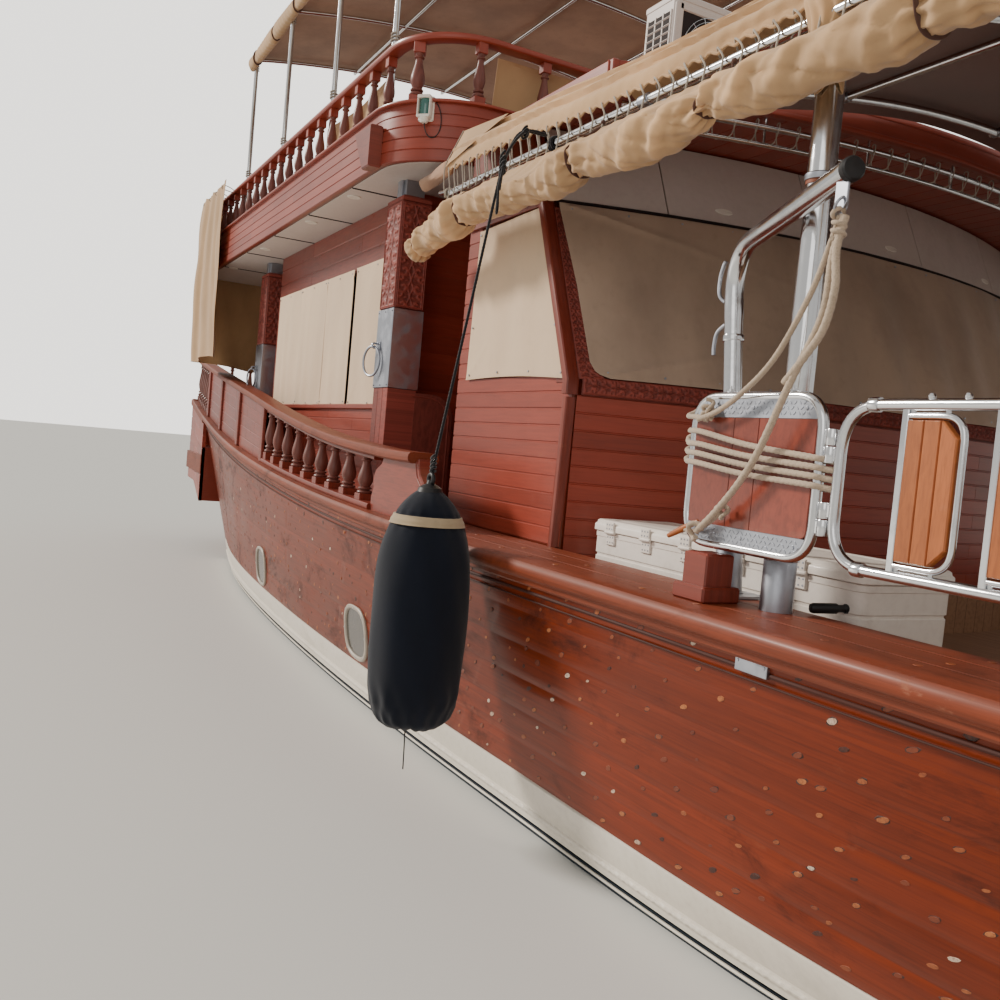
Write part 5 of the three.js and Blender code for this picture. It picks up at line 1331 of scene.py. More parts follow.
class DHOW_OT_curtains(bpy.types.Operator):
    """Curtains over the windows, snapped to studs, hanging in soft folds"""
    bl_idname = "dhow.curtains"
    bl_label = "Curtains"

    def execute(self, context):
        folds = context.scene.dhow_sizes.folds
        for name, side in SIDES:
            def front_side(a, b, out):
                z = mix(2.340 + 0.018 * np.sin(a * 3.1) - 0.02 * a, 3.325 - 0.02 * (1 - a), b)
                left = lerp_rows(z, [(2.36, -0.215), (3.3, -0.185)])
                right = lerp_rows(z, [(2.33, 1.045), (2.8, 0.845), (3.33, 0.655)])
                return stacked(mix(left, right, a), side * (HOUSE + 0.022) + side * out, z)

            made = piece("front_side_curtain_" + name, hung_cloth(front_side, 1.05, 0.96, 3, 0.012,
                folds=2), "curtain", replaces="front_side_curtain_" + name)
            spots = [(a, 0.03) for a in (0.04, 0.36, 0.68, 0.97)] + [(0.03, b)
                for b in (0.35, 0.68, 0.97)] + [(0.97, b) for b in (0.3, 0.6, 0.95)]
            spots = np.array(spots)
            at = front_side(spots[:, 0], spots[:, 1], 0.004)
            studs = piece("front_side_studs_" + name, studs_along(at, 0.007, (0, side, 0)),
                          "dull_steel")
            rows = []
            for k, (x0, x1) in enumerate(((-5.22, -4.30), (-4.32, -3.45), (-3.47, -2.70),
                                          (-2.61, -1.54))):
                def saloon(a, b, out):
                    z = mix(2.17 + 0.012 * np.sin(a * 5 + k), 3.375, b)
                    return stacked(mix(x0, x1, a), side * (HOUSE + 0.024 + 0.006 * (k % 2)) + side
                                   * out, z)

                made = piece("saloon_curtain_%d_%s" % (k + 1, name),
                             hung_cloth(saloon, x1 - x0, 1.2, 11 + k, 0.014, folds=folds - 2),
                             "curtain", replaces="" if k else "saloon_curtain_" + name)
                at = saloon(np.array([0.04, 0.5, 0.96] * 2), np.array([0.025] * 3 + [0.97] * 3),
                            0.004)
                rows.append(studs_along(at, 0.007, (0, side, 0)))
            piece("saloon_studs_" + name, merge(rows), "dull_steel")

        def front(a, b, out):
            z = mix(2.336 + 0.006 * np.sin(a * 9), 3.345, b)
            inner = lerp_rows(z, [(2.33, 1.99), (2.36, 2.075), (2.42, 2.10), (2.86, 2.108),
                                  (3.33, 2.14)])
            y = mix(-1, 1, a) * inner
            return front_face(y, z, 0.03 + out)

        # The darker cloth paints the shade under the awning on this curtain.
        made = piece("front_curtain", hung_cloth(front, 4.25, 1.1, 23, 0.046, folds=folds + 4),
                     "shaded_curtain_cloth", replaces="front_curtain")
        a = np.linspace(0.015, 0.985, 14)
        at = np.vstack([front(a, b, 0.006) for b in (0.03, 0.97)])
        studs = piece("front_studs", studs_along(at, 0.007, AHEAD), "dull_steel")
        return {"FINISHED"}


class DHOW_OT_posts(bpy.types.Operator):
    """Square posts: board core, stainless cladding with a ring, carved upper part, steel head"""
    bl_idname = "dhow.posts"
    bl_label = "Posts"

    def execute(self, context):
        for name, side in SIDES:
            for place, x1, outer in (("fore", -1.13, 2.41), ("aft", -5.6, 2.28)):
                x0, inner = x1 - 0.3, outer - 0.23
                y0, y1 = sorted((side * outer, side * inner))
                base = sheer(x0) + 0.001
                step = 0.0044 if (place, side) == ("fore", -1) else 0.008
                shaft = [block(x0 + 0.01, x1 - 0.01, y0 + 0.01, y1 - 0.01, base, 3.70, 0.006, 0.45),
                         block(x0 - 0.02, x1 + 0.02, y0 - 0.016, y1 + 0.016, base, base + 0.13,
                               0.012, 0.3), block(x0 - 0.006, x1 + 0.006, y0 - 0.005, y1 + 0.005,
                                                  3.655, 3.69, 0.008, 0.6)]
                for k in range(3):
                    shaft.append(block(mix(x0, x1, k / 3) + 0.001, mix(x0, x1, (k + 1) / 3) - 0.001,
                                       y0 + 0.001, y1 - 0.001, base + 0.12, 2.285, 0.003,
                                       0.3 + 0.25 * k))
                if place == "fore":
                    arc = [(1.865 + 0.17 - 0.17 * math.cos(t), 2.10 + 0.17 * math.sin(t))
                           for t in np.linspace(0, math.pi / 2, 10)]
                    board = [(side * p, q) for p, q in [(2.19, 1.41), (1.865, 1.41), *arc,
                                                        (2.19, 2.27)]]
                    shaft.append(plate(board, "x", x1 - 0.05, x1, 0.005, 0.25))
                    bead = np.array([(x1 + 0.0005, side * (p + 0.035), q - 0.03)
                                     for p, q in [(1.865, 1.45), *arc, (2.17, 2.27)]])
                    shaft.append(tube(smooth(bead, 0.02), 0.006, 8, tone=0.6))
                piece("post_shaft_%s_%s" % (place, name), merge(shaft), "carved",
                      replaces="post_%s_%s" % (place, name))

                mid_x, mid_y, mid_z, tall = (x0 + x1) / 2, (y0 + y1) / 2, 3.265, 0.775
                faces = {
                    "out": (lambda a, b, o: stacked(mid_x + a, side * outer + side * (o - 0.004),
                                                    mid_z + b), 0.296),
                    "fore": (lambda a, b, o: stacked(x1 + o - 0.004, mid_y + a, mid_z + b), 0.226),
                    "aft": (lambda a, b, o: stacked(x0 - o + 0.004, mid_y + a, mid_z + b), 0.226),
                    "in": (lambda a, b, o: stacked(mid_x + a, side * inner - side * (o - 0.004),
                                                   mid_z + b), 0.296),}
                panels = [carved_panel(f, wide, tall, 0.018, 0.010,
                                       step * (1 if key in ("out", "fore") else 2.2), 3 + k, 0.008)
                          for k, (key, (f, wide)) in enumerate(faces.items())]
                piece("post_carving_%s_%s" % (place, name), merge(panels), "carved", sharp=50)

                clad = block(x0 - 0.007, x1 + 0.007, y0 - 0.007, y1 + 0.007, 2.285, 2.872, 0.004)
                nails = [(x, side * (outer + 0.007), z) for x in (x0 + 0.015, mid_x, x1 - 0.015)
                         for z in (2.305, 2.85)]
                bracket = [block(x0 + 0.06, x1 - 0.06, y0 + 0.04, y1 - 0.04, 3.69, 3.829, 0.004),
                           block(mid_x - 0.035, mid_x + 0.05, side * (outer - 0.045),
                                 side * (outer - 0.02), 3.70, 3.825, 0.004)]
                parts = [clad, studs_along(nails, 0.005, (0, side, 0)), *bracket]
                x, y, z = x0 + 0.065, side * (outer + 0.010), 2.60
                parts.append(stub(x, y, 0.035, 0.004, z - 0.035, z + 0.035, 0.003))
                eye = bent([(x, y, z + 0.017), (x, y + side * 0.05, z + 0.017),
                            (x, y + side * 0.05, z - 0.017), (x, y, z - 0.017)], 0.016, False, 6)
                parts.append(tube(eye, 0.008, 10, AHEAD))
                t = circle(48)
                ring = stacked(x - 0.03 - 0.108 * np.sin(t), y + side * (0.038 + 0.024 * np.sin(t)),
                               z - 0.116 + 0.112 * np.cos(t))
                parts.append(tube(ring, 0.0095, 12, (0.2, side, 0), True))
                piece("post_cladding_%s_%s" % (place, name), merge(parts), "dull_steel")
        return {"FINISHED"}


def deck_outline(inset, step=0.04):
    """The upper deck's edge from the port aft corner round the bow end to the starboard one,
    drawn in by an inset: points and outward normals."""
    half, radius, fore = 2.64 - inset, 0.62 - inset, -0.5 - inset
    t = np.linspace(-np.pi / 2, 0, 26)
    xs = np.arange(-7.7 + inset, fore - radius, step)
    ys = np.arange(-half + radius + step, half - radius, step)
    arc = stacked(fore - radius + radius * np.cos(t), -half + radius + radius * np.sin(t))
    line = np.vstack([stacked(xs, -half), arc, stacked(fore, ys), arc[::-1] * (1, -1),
                      stacked(xs[::-1], half)])
    normal = np.zeros_like(line)
    c = fore - radius
    corner = line[:, 0] >= c
    normal[~corner, 1] = np.sign(line[~corner, 1])
    dy = np.sign(line[:, 1]) * np.maximum(0, np.abs(line[:, 1]) - (half - radius))
    normal[corner] = unit(stacked(np.maximum(line[:, 0] - c, 1e-9), dy))[corner]
    return line, normal


class DHOW_OT_upper_deck(bpy.types.Operator):
    """Planked fascia of the upper deck, soffit panels with battens and downlights, side block"""
    bl_idname = "dhow.upper_deck"
    bl_label = "Upper deck"

    def execute(self, context):
        line, normal = deck_outline(0, 0.08)
        s = np.arange(len(line), dtype=float)

        def fascia(s, z, out):
            k = np.clip(s, 0, len(line) - 1)
            base = np.stack([np.interp(k, np.arange(len(line)), line[:, i]) for i in (0, 1)], -1)
            way = np.stack([np.interp(k, np.arange(len(line)), normal[:, i]) for i in (0, 1)], -1)
            flare = 0.012 + 0.012 * (1 - (z - SOFFIT) / 0.38)
            p = base + way * (out + flare)[..., None]
            return np.concatenate([p, z[..., None]], -1)

        edges = np.searchsorted(line[:80, 0], [-6.2, -4.9, -3.3, -2.1]).astype(float)
        made = boarding(fascia, s, SOFFIT - 0.012, UPPER_TOP + 0.004, 5, 51, 0.006, 0.03,
                        np.r_[edges, len(line) - edges[::-1]])
        cap = stacked(*(line + normal * 0.008).T, UPPER_TOP + 0.01)
        aft = block(-7.712, -7.69, -2.63, 2.63, SOFFIT, UPPER_TOP, 0.004, 0.4)
        piece("fascia", merge(made, carry(cap, rounded_bar(0.075, 0.022, 0.008), tone=0.6), aft),
              "house")

        parts, battens, lamps = [], [], []
        panel_x = np.linspace(-7.68, -0.56, 7)
        for i, (a, b) in enumerate(zip(panel_x[:-1], panel_x[1:])):
            for c, d in ((-2.6, -1.3), (-1.3, 0), (0, 1.3), (1.3, 2.6)):
                if i == 5 and abs(c + d) > 2:
                    t, out = np.linspace(0, np.pi / 2, 12), np.sign(c)
                    arc = [(-1.12 + 0.58 * math.cos(k), out * (2.02 + 0.58 * math.sin(k)))
                           for k in t]
                    rim = [(a + 0.004, out * 1.304), (b - 0.004, out * 1.304),
                           *[(min(p, b - 0.004), q) for p, q in arc], (a + 0.004, out * 2.6)]
                    parts.append(plate(rim, "z", SOFFIT - 0.008, SOFFIT + 0.002, 0.003))
                    continue
                parts.append(block(a + 0.004, b - 0.004, c + 0.004, d - 0.004, SOFFIT - 0.008,
                                   SOFFIT + 0.002, 0.003))
            battens.append(block(b - 0.012, b + 0.012, -2.6 + 0.6 * (i == 5), 2.6 - 0.6 * (i == 5),
                                 SOFFIT - 0.013, SOFFIT - 0.001, 0.003, 0.1))
        for name, side in SIDES:
            for x in (-6.5, -4.9, -3.2, -2.0, -0.95):
                rows = [(0.02, -0.002), (0.052, -0.004), (0.056, -0.001), (0.056, 0.006),
                        (0.0, 0.006)]
                lamps.append(lathe([(0.0, -0.001), *rows],
                                   (x, side * 2.5 if x < -1.2 else side * 2.2, SOFFIT - 0.012), UP,
                                   20))
        piece("soffit_panels", merge(parts), "panel")
        piece("soffit_battens", merge(battens), "dark")
        piece("soffit_lamps", merge(lamps), "lamp")
        for name, side in SIDES:
            wedge = plate([(-1.34, 4.09), (-0.90, 4.09), (-0.93, 3.80), (-1.14, 3.80)], "y",
                          side * 2.65, side * 2.745, 0.012, 0.2)
            wedge.v[:, 0] = np.clip(wedge.v[:, 0], -1.34, -1.0)
            piece("fascia_block_" + name, wedge, "joinery")
            hole = lathe([(0.0, 0.004), (0.016, 0.004), (0.022, 0.0), (0.03, -0.001), (0.03, 0.012),
                          (0.022, 0.014), (0.0, 0.014)], (-0.485, side * 1.98, 4.145), AHEAD, 18)
            piece("fascia_fitting_" + name, hole, "black")
        return {"FINISHED"}


class DHOW_OT_balustrade(bpy.types.Operator):
    """Turned balusters round the upper deck under a flat curved handrail, cloths hung inside it"""
    bl_idname = "dhow.balustrade"
    bl_label = "Balustrade"

    def execute(self, context):
        step = context.scene.dhow_sizes.baluster_step
        r = np.random.default_rng(14)
        line = deck_outline(0.095, 0.03)[0]
        rail = stacked(*line.T, UPPER_RAIL - 0.024)
        aft = [(-7.605, 2.5, UPPER_RAIL - 0.024), (-7.605, 0, UPPER_RAIL - 0.024),
               (-7.605, -2.5, UPPER_RAIL - 0.024)]
        cross = carry(aft, rounded_bar(0.11, 0.046, 0.016), tone=0.6)
        piece("upper_handrail", merge(carry(rail, rounded_bar(0.115, 0.046, 0.016), tone=0.6),
                                      cross), "house", replaces="upper_balustrade")
        stands, squares = [], []
        xs = np.arange(-1.24, -7.5, -step)
        spots = [(x, side * 2.545, 0) for side in (-1, 1) for x in xs]
        spots += [(-0.87, side * 2.475, side * 0.45) for side in (-1, 1)] + [(-0.595, y, 0)
            for y in (-2.13, -1.62, -1.05, -0.5, 0, 0.5, 1.05, 1.62, 2.13)]
        spots += [(-7.605, y, 0) for y in np.linspace(-2.2, 2.2, 11)]
        for x, y, turn in spots:
            radius = 0.052 if turn else 0.043
            sides = 18 if y < 0 and x > -5 else 10
            vase, square = baluster(x, y, UPPER_TOP + 0.0005, UPPER_RAIL - 0.045, radius, 0.20,
                                    0.15, turn, sides, r.uniform(0.3, 0.8))
            stands.append(vase)
            squares.append(square)
        piece("upper_balusters", merge(stands), "turned")
        piece("upper_baluster_blocks", merge(squares), "house")

        cloths = [("upper_cloth_fore", lambda a, b, out: stacked(-0.70 - out - 0.05 * (1 - b),
            mix(-1.95, 1.6, a), mix(4.24, 4.655, b)), 3.56, 0.42)]
        for name, side in SIDES:
            cloths.append(("upper_cloth_" + name,
                           lambda a, b, out, side=side: stacked(mix(-3.1, -1.5, a),
                               side * 2.44 - side * out,
                               mix(4.23, 4.655 - 0.05 * np.sin(a * 3.1), b)), 1.61, 0.42))
        for k, (name, place, wide, tall) in enumerate(cloths):
            made = piece(name, hung_cloth(place, wide, tall, 60 + k, 0.018, folds=7), "canvas")

        def flap(a, b, out):
            y = mix(-0.9, 0.35, a)
            over = np.interp(b, [0, 0.42, 0.5, 0.58, 1], [0, 1, 1, 1, 0])
            x = np.interp(b, [0, 0.42, 0.5, 0.58, 1], [-0.51, -0.52, -0.595, -0.67, -0.70])
            low = mix(4.30 + 0.25 * abs(a - 0.35), 4.36, b)
            return stacked(x + np.where(b < 0.5, out, -out), y, mix(low, UPPER_RAIL + 0.008, over)
                           + 0.01 * (over > 0.99))

        made = piece("rail_cloth", hung_cloth(flap, 1.25, 0.8, 77, 0.012, folds=3), "canvas")
        return {"FINISHED"}


PIPE_Y, PIPE_Z, CROWN = 2.42, 3.53, 0.42
HOOPS = (1.86, 2.92, 4.06, 5.15)
hem_height = curve([(-0.33, 3.675), (-0.17, 3.675), (0.2, 3.665), (0.54, 3.655), (1.0, 3.62),
                    (1.47, 3.60), (2.3, 3.585), (3.4, 3.58), (5.25, 3.58)])
crest_height = curve([(-0.33, 3.93), (0.0, 3.955), (1.1, 3.885), (1.93, 3.84), (2.43, 3.825),
                      (5.25, 3.81)])


def hoop_z(y):
    return PIPE_Z + CROWN * (1 - (y / PIPE_Y) ** 2)


def pipe_tee(at, axis, radius, half=0.035):
    """A collar round a pipe where another one meets it."""
    r = radius
    return lathe([(r, -half), (r + 0.005, -half), (r + 0.006, -half + 0.004),
                  (r + 0.006, half - 0.004), (r + 0.005, half), (r, half)], at, axis, 18)


class DHOW_OT_awning_frame(bpy.types.Operator):
    """Steel pipes that carry the foredeck awning, their stout posts and collars"""
    bl_idname = "dhow.awning_frame"
    bl_label = "Awning frame"

    def execute(self, context):
        parts, collars, feet = [], [], []
        for _, side in SIDES:
            y = side * PIPE_Y
            parts.append(tube([(-0.30, y, PIPE_Z), (-0.296, y, PIPE_Z), (5.196, y, PIPE_Z),
                               (5.2, y, PIPE_Z)], [0.018, 0.024, 0.024, 0.018], 20, UP))
            x, py = 2.92, side * 2.36
            parts.append(lathe([(0.046, 1.402), (0.051, 1.41), (0.051, 2.5), (0.051, 3.50),
                                (0.045, 3.53)], (x, py, 0), sides=40))
            parts.append(tube([(x, py, 3.50), (x, y, PIPE_Z)], 0.024, 14))
            collars.append(lathe([(0.05, 1.401), (0.0605, 1.401), (0.0605, 1.585), (0.058, 1.59),
                                  (0.058, 1.60), (0.0605, 1.605), (0.0605, 1.655), (0.058, 1.66),
                                  (0.05, 1.66)], (x, py, 0), sides=40))
            collars.append(lathe([(0.05, 2.965), (0.057, 2.965), (0.059, 2.97), (0.059, 2.985),
                                  (0.054, 2.99), (0.05, 2.99)], (x, py, 0), sides=36))
            feet.append(lathe([(0.055, 1.588), (0.0612, 1.588), (0.0612, 1.602), (0.055, 1.602)],
                              (x, py, 0), sides=36))
            feet.append(lathe([(0.05, 2.950), (0.0535, 2.950), (0.0535, 2.966), (0.05, 2.966)],
                              (x, py, 0), sides=36))
            x, py = 5.0, side * 2.33
            low = sheer(x) + 0.001
            parts.append(tube([(x, py, low), (x, py, hoop_z(2.33) - 0.02)], 0.03, 18))
            parts.append(tube([(x, py, hoop_z(2.33) - 0.03), (x, y, PIPE_Z)], 0.024, 12))
            collars.append(lathe([(0.03, 0), (0.08, 0.0), (0.08, 0.008), (0.045, 0.014),
                                  (0.036, 0.03), (0.03, 0.03)], (x, py, low), sides=24))
            for x in HOOPS:
                collars.append(pipe_tee((x, y, PIPE_Z), AHEAD, 0.024))
        s = np.linspace(-1, 1, 60)
        for x in HOOPS:
            parts.append(tube(stacked(x, s * PIPE_Y, hoop_z(s * PIPE_Y)), 0.0215, 14, AHEAD))
        for y in (-1.2, 0, 1.2):
            parts.append(tube([(1.82, y, hoop_z(y)), (5.2, y, hoop_z(y))], 0.019, 14))
            for x in HOOPS:
                collars.append(pipe_tee((x, y, hoop_z(y)), AHEAD, 0.019, 0.025))
        for drop, wide in ((0.0, 0.017), (0.085, 0.013)):
            y = np.linspace(-2.12, 2.12, 80)
            parts.append(tube(stacked(front_x(y) + 0.07 - drop * 0.3, y, 3.775 - drop), wide, 12,
                              UP))
        for y in np.linspace(-2.0, 2.0, 7):
            parts.append(tube([(front_x(y) + 0.07, y, 3.826), (front_x(y) + 0.07, y, 3.69)], 0.008,
                              10))
        piece("awning_pipes", merge(parts), "steel", replaces="awning_frame")
        piece("awning_collars", merge(collars), "dull_steel")
        piece("awning_rust_rings", merge(feet), "rust")
        turns = []
        for y in np.arange(-2.05, 2.1, 0.125):
            x = front_x(y) + 0.045
            turns.append(
                np.array([(x, y, 3.69), (x + 0.04, y + 0.02, 3.70), (x + 0.045, y + 0.045, 3.80),
                          (x, y + 0.065, 3.81), (x - 0.02, y + 0.10, 3.70)]))
        piece("roof_lacing", tube(smooth(np.vstack(turns), 0.02), 0.0035, 6, (0.2, 0.3, 0.9)),
              "cord")
        return {"FINISHED"}


class DHOW_OT_foredeck_canvas(bpy.types.Operator):
    """Foredeck awning: pleated side edges, crowned canvas sagging between hoops, lining, lacing"""
    bl_idname = "dhow.foredeck_canvas"
    bl_label = "Foredeck awning"

    def execute(self, context):
        lace = context.scene.dhow_sizes.lacing_step
        for name, side in SIDES:
            s, t = grid(np.arange(-0.29, 5.24, 0.0185), np.linspace(0, 1, 58))

            def edge(out):
                hem, crest = hem_height(s), crest_height(s)
                scallop = 0.010 * np.cos(2 * np.pi * s / lace) * np.exp(-t * 9)
                y = np.interp(t, [0, 0.12, 0.35, 0.62, 0.8, 1.0],
                              [2.435, 2.43, 2.36, 2.235, 2.17, 2.02])
                inner = np.where(s < 1.3, 3.992, hoop_z(2.02) + 0.05)
                z = mix(hem, crest, np.clip(t / 0.62, 0, 1) ** 0.85)
                z = np.where(t > 0.62, mix(crest, inner, np.clip((t - 0.62) / 0.38, 0, 1) ** 1.4),
                             z)
                run = t * 12.5 + 0.9 * np.sin(s * 1.5) + 0.35 * np.sin(s * 4.3) + 1.2 * waves(s
                    * 0.8, t * 1.5, 63, 5, 1.1)
                phase = (run / np.pi) % 1.0
                pleat = np.where(phase < 0.2, (1 - np.cos(phase * 5 * np.pi)) / 2,
                                 1.25 - phase * 1.25)
                wrinkle = waves(s * 6, t * 5, 31, 7, 1.6)
                lift = (0.036 * pleat + 0.006 * wrinkle) * np.clip(t * 6, 0, 1) * np.clip((1 - t)
                    * 4, 0, 1) + out
                return stacked(s, side * (y + lift * 0.9), z + scallop + lift * 0.35)

            made = slab(edge(0.0), edge(-0.003), 0.55 + 0.2 * waves(s, t * 4, 7))
            canvas = piece("awning_edge_" + name, made, "canvas", replaces="roof_side_canvas_"
                           + name)
            x = np.arange(-0.28, 5.22, 0.02)
            hem = stacked(x, side * 2.437, hem_height(x) + 0.010 * np.cos(2 * np.pi * x / lace))
            piece("awning_hem_" + name, tube(hem, 0.007, 8, UP), "canvas")

            turns, run = [], []
            r = np.random.default_rng(3)
            for x in np.arange(-0.262, 5.1, lace):
                j = r.normal(0, 0.006)
                top = hem_height(x) + 0.012
                turns += [(x, side * 2.446, top), (x + 0.024 + j, side * 2.453, (top + 3.552) / 2),
                          (x + 0.046 + j, side * 2.4515, 3.545),
                          (x + 0.050 + j, side * 2.4535, 3.522),
                          (x + 0.052 + j, side * 2.462, 3.468), (x + 0.056, side * 2.452, 3.452),
                          (x + 0.064, side * 2.412, 3.485), (x + 0.070, side * 2.386, 3.53),
                          (x + 0.078, side * 2.405, 3.575), (x + 0.092, side * 2.425, top - 0.02)]
                run.append((x, side * 2.466, 3.462 + j * 0.4))
            piece("awning_lacing_" + name,
                  merge(tube(smooth(turns, 0.016), 0.0042, 6, (0.1, 0.95, 0.2)),
                        tube(run, 0.004, 6, UP)), "cord")
            bundle = [(-0.88, side * 2.36, 3.712), (-0.60, side * 2.38, 3.715),
                      (-0.33, side * 2.395, 3.72)]
            roll = smooth(bundle, 0.02)
            n = len(roll)
            a = circle(20)[None]
            radius = 0.046 * (1 + 0.12 * np.sin(3 * a + np.arange(n)[:, None] * 0.22)) * np.clip(
                np.minimum(np.arange(n), np.arange(n)[::-1])[:, None] * 0.5 + 0.35, 0, 1)
            piece("awning_roll_end_" + name, tube(roll, radius, 20, UP), "lining")
            piece("awning_pipe_end_" + name,
                  tube([(-0.56, side * 2.36, 3.60), (-0.3, side * 2.40, 3.56)], 0.016, 12), "steel")

            def corner(a, b, out):
                x = mix(-0.30, 0.02 + 0.30 * b, a)
                y = mix(2.452, 2.34, b)
                return stacked(x, side * (y + out), mix(3.70 + 0.05 * a, 3.955 - 0.05 * a, b))

            made = piece("awning_corner_" + name, hung_cloth(corner, 0.42, 0.27, 5, 0.01, 0.012,
                folds=1), "canvas")
            cord = [(-0.303, side * 2.345, 3.955), (-0.306, side * 2.39, 3.85),
                    (-0.306, side * 2.45, 3.71), (-0.31, side * 2.45, 3.60),
                    (-0.285, side * 2.446, 3.50)]
            piece("awning_corner_cord_" + name,
                  merge(tube(smooth(cord, 0.01), 0.004, 7),
                        *[tube([(x, side * 2.42 + 0.032 * math.cos(t), PIPE_Z + 0.032 * math.sin(t))
                                for t in np.linspace(0, 6.1, 20)], 0.004, 6, AHEAD)
                          for x in (-0.285, -0.276, -0.267)]), "cord")

        u, v = grid(np.linspace(0, 1, 100), np.linspace(-1, 1, 80))

        def roof(out):
            y = v * 2.10
            x = mix(1.25 + BOW * (1 - (y / PIPE_Y) ** 2), 5.23, u)
            phase = np.interp(x, [1.2, *HOOPS], [0, 1, 2, 3, 4])
            sag = 0.035 * np.sin(np.pi * phase) ** 2 * np.cos(v * 1.4)
            pull = 0.006 * waves(x * 3, y * 2, 44, 7, 1.7)
            return stacked(x, y, hoop_z(y) + 0.045 - sag + pull + out)

        top = piece("foredeck_canvas",
                    slab(roof(0.003), roof(0.0), 0.5 + 0.2 * waves(u * 5, v * 3, 2)), "canvas",
                    replaces="foredeck_canvas")
        lining = piece("foredeck_lining",
                       slab(roof(-0.001), roof(-0.003), 0.5 + 0.2 * waves(u * 5, v * 3, 4)),
                       "canvas_under")
        return {"FINISHED"}


STRAPS = (-0.43, 0.30, 1.56, 2.48, 3.5, 4.5)
valance_drop = curve([(-0.62, 0.345), (-0.43, 0.30), (-0.2, 0.235), (0.45, 0.17), (1.2, 0.20),
                      (1.56, 0.165), (2.1, 0.185), (2.6, 0.16), (4.85, 0.165)])


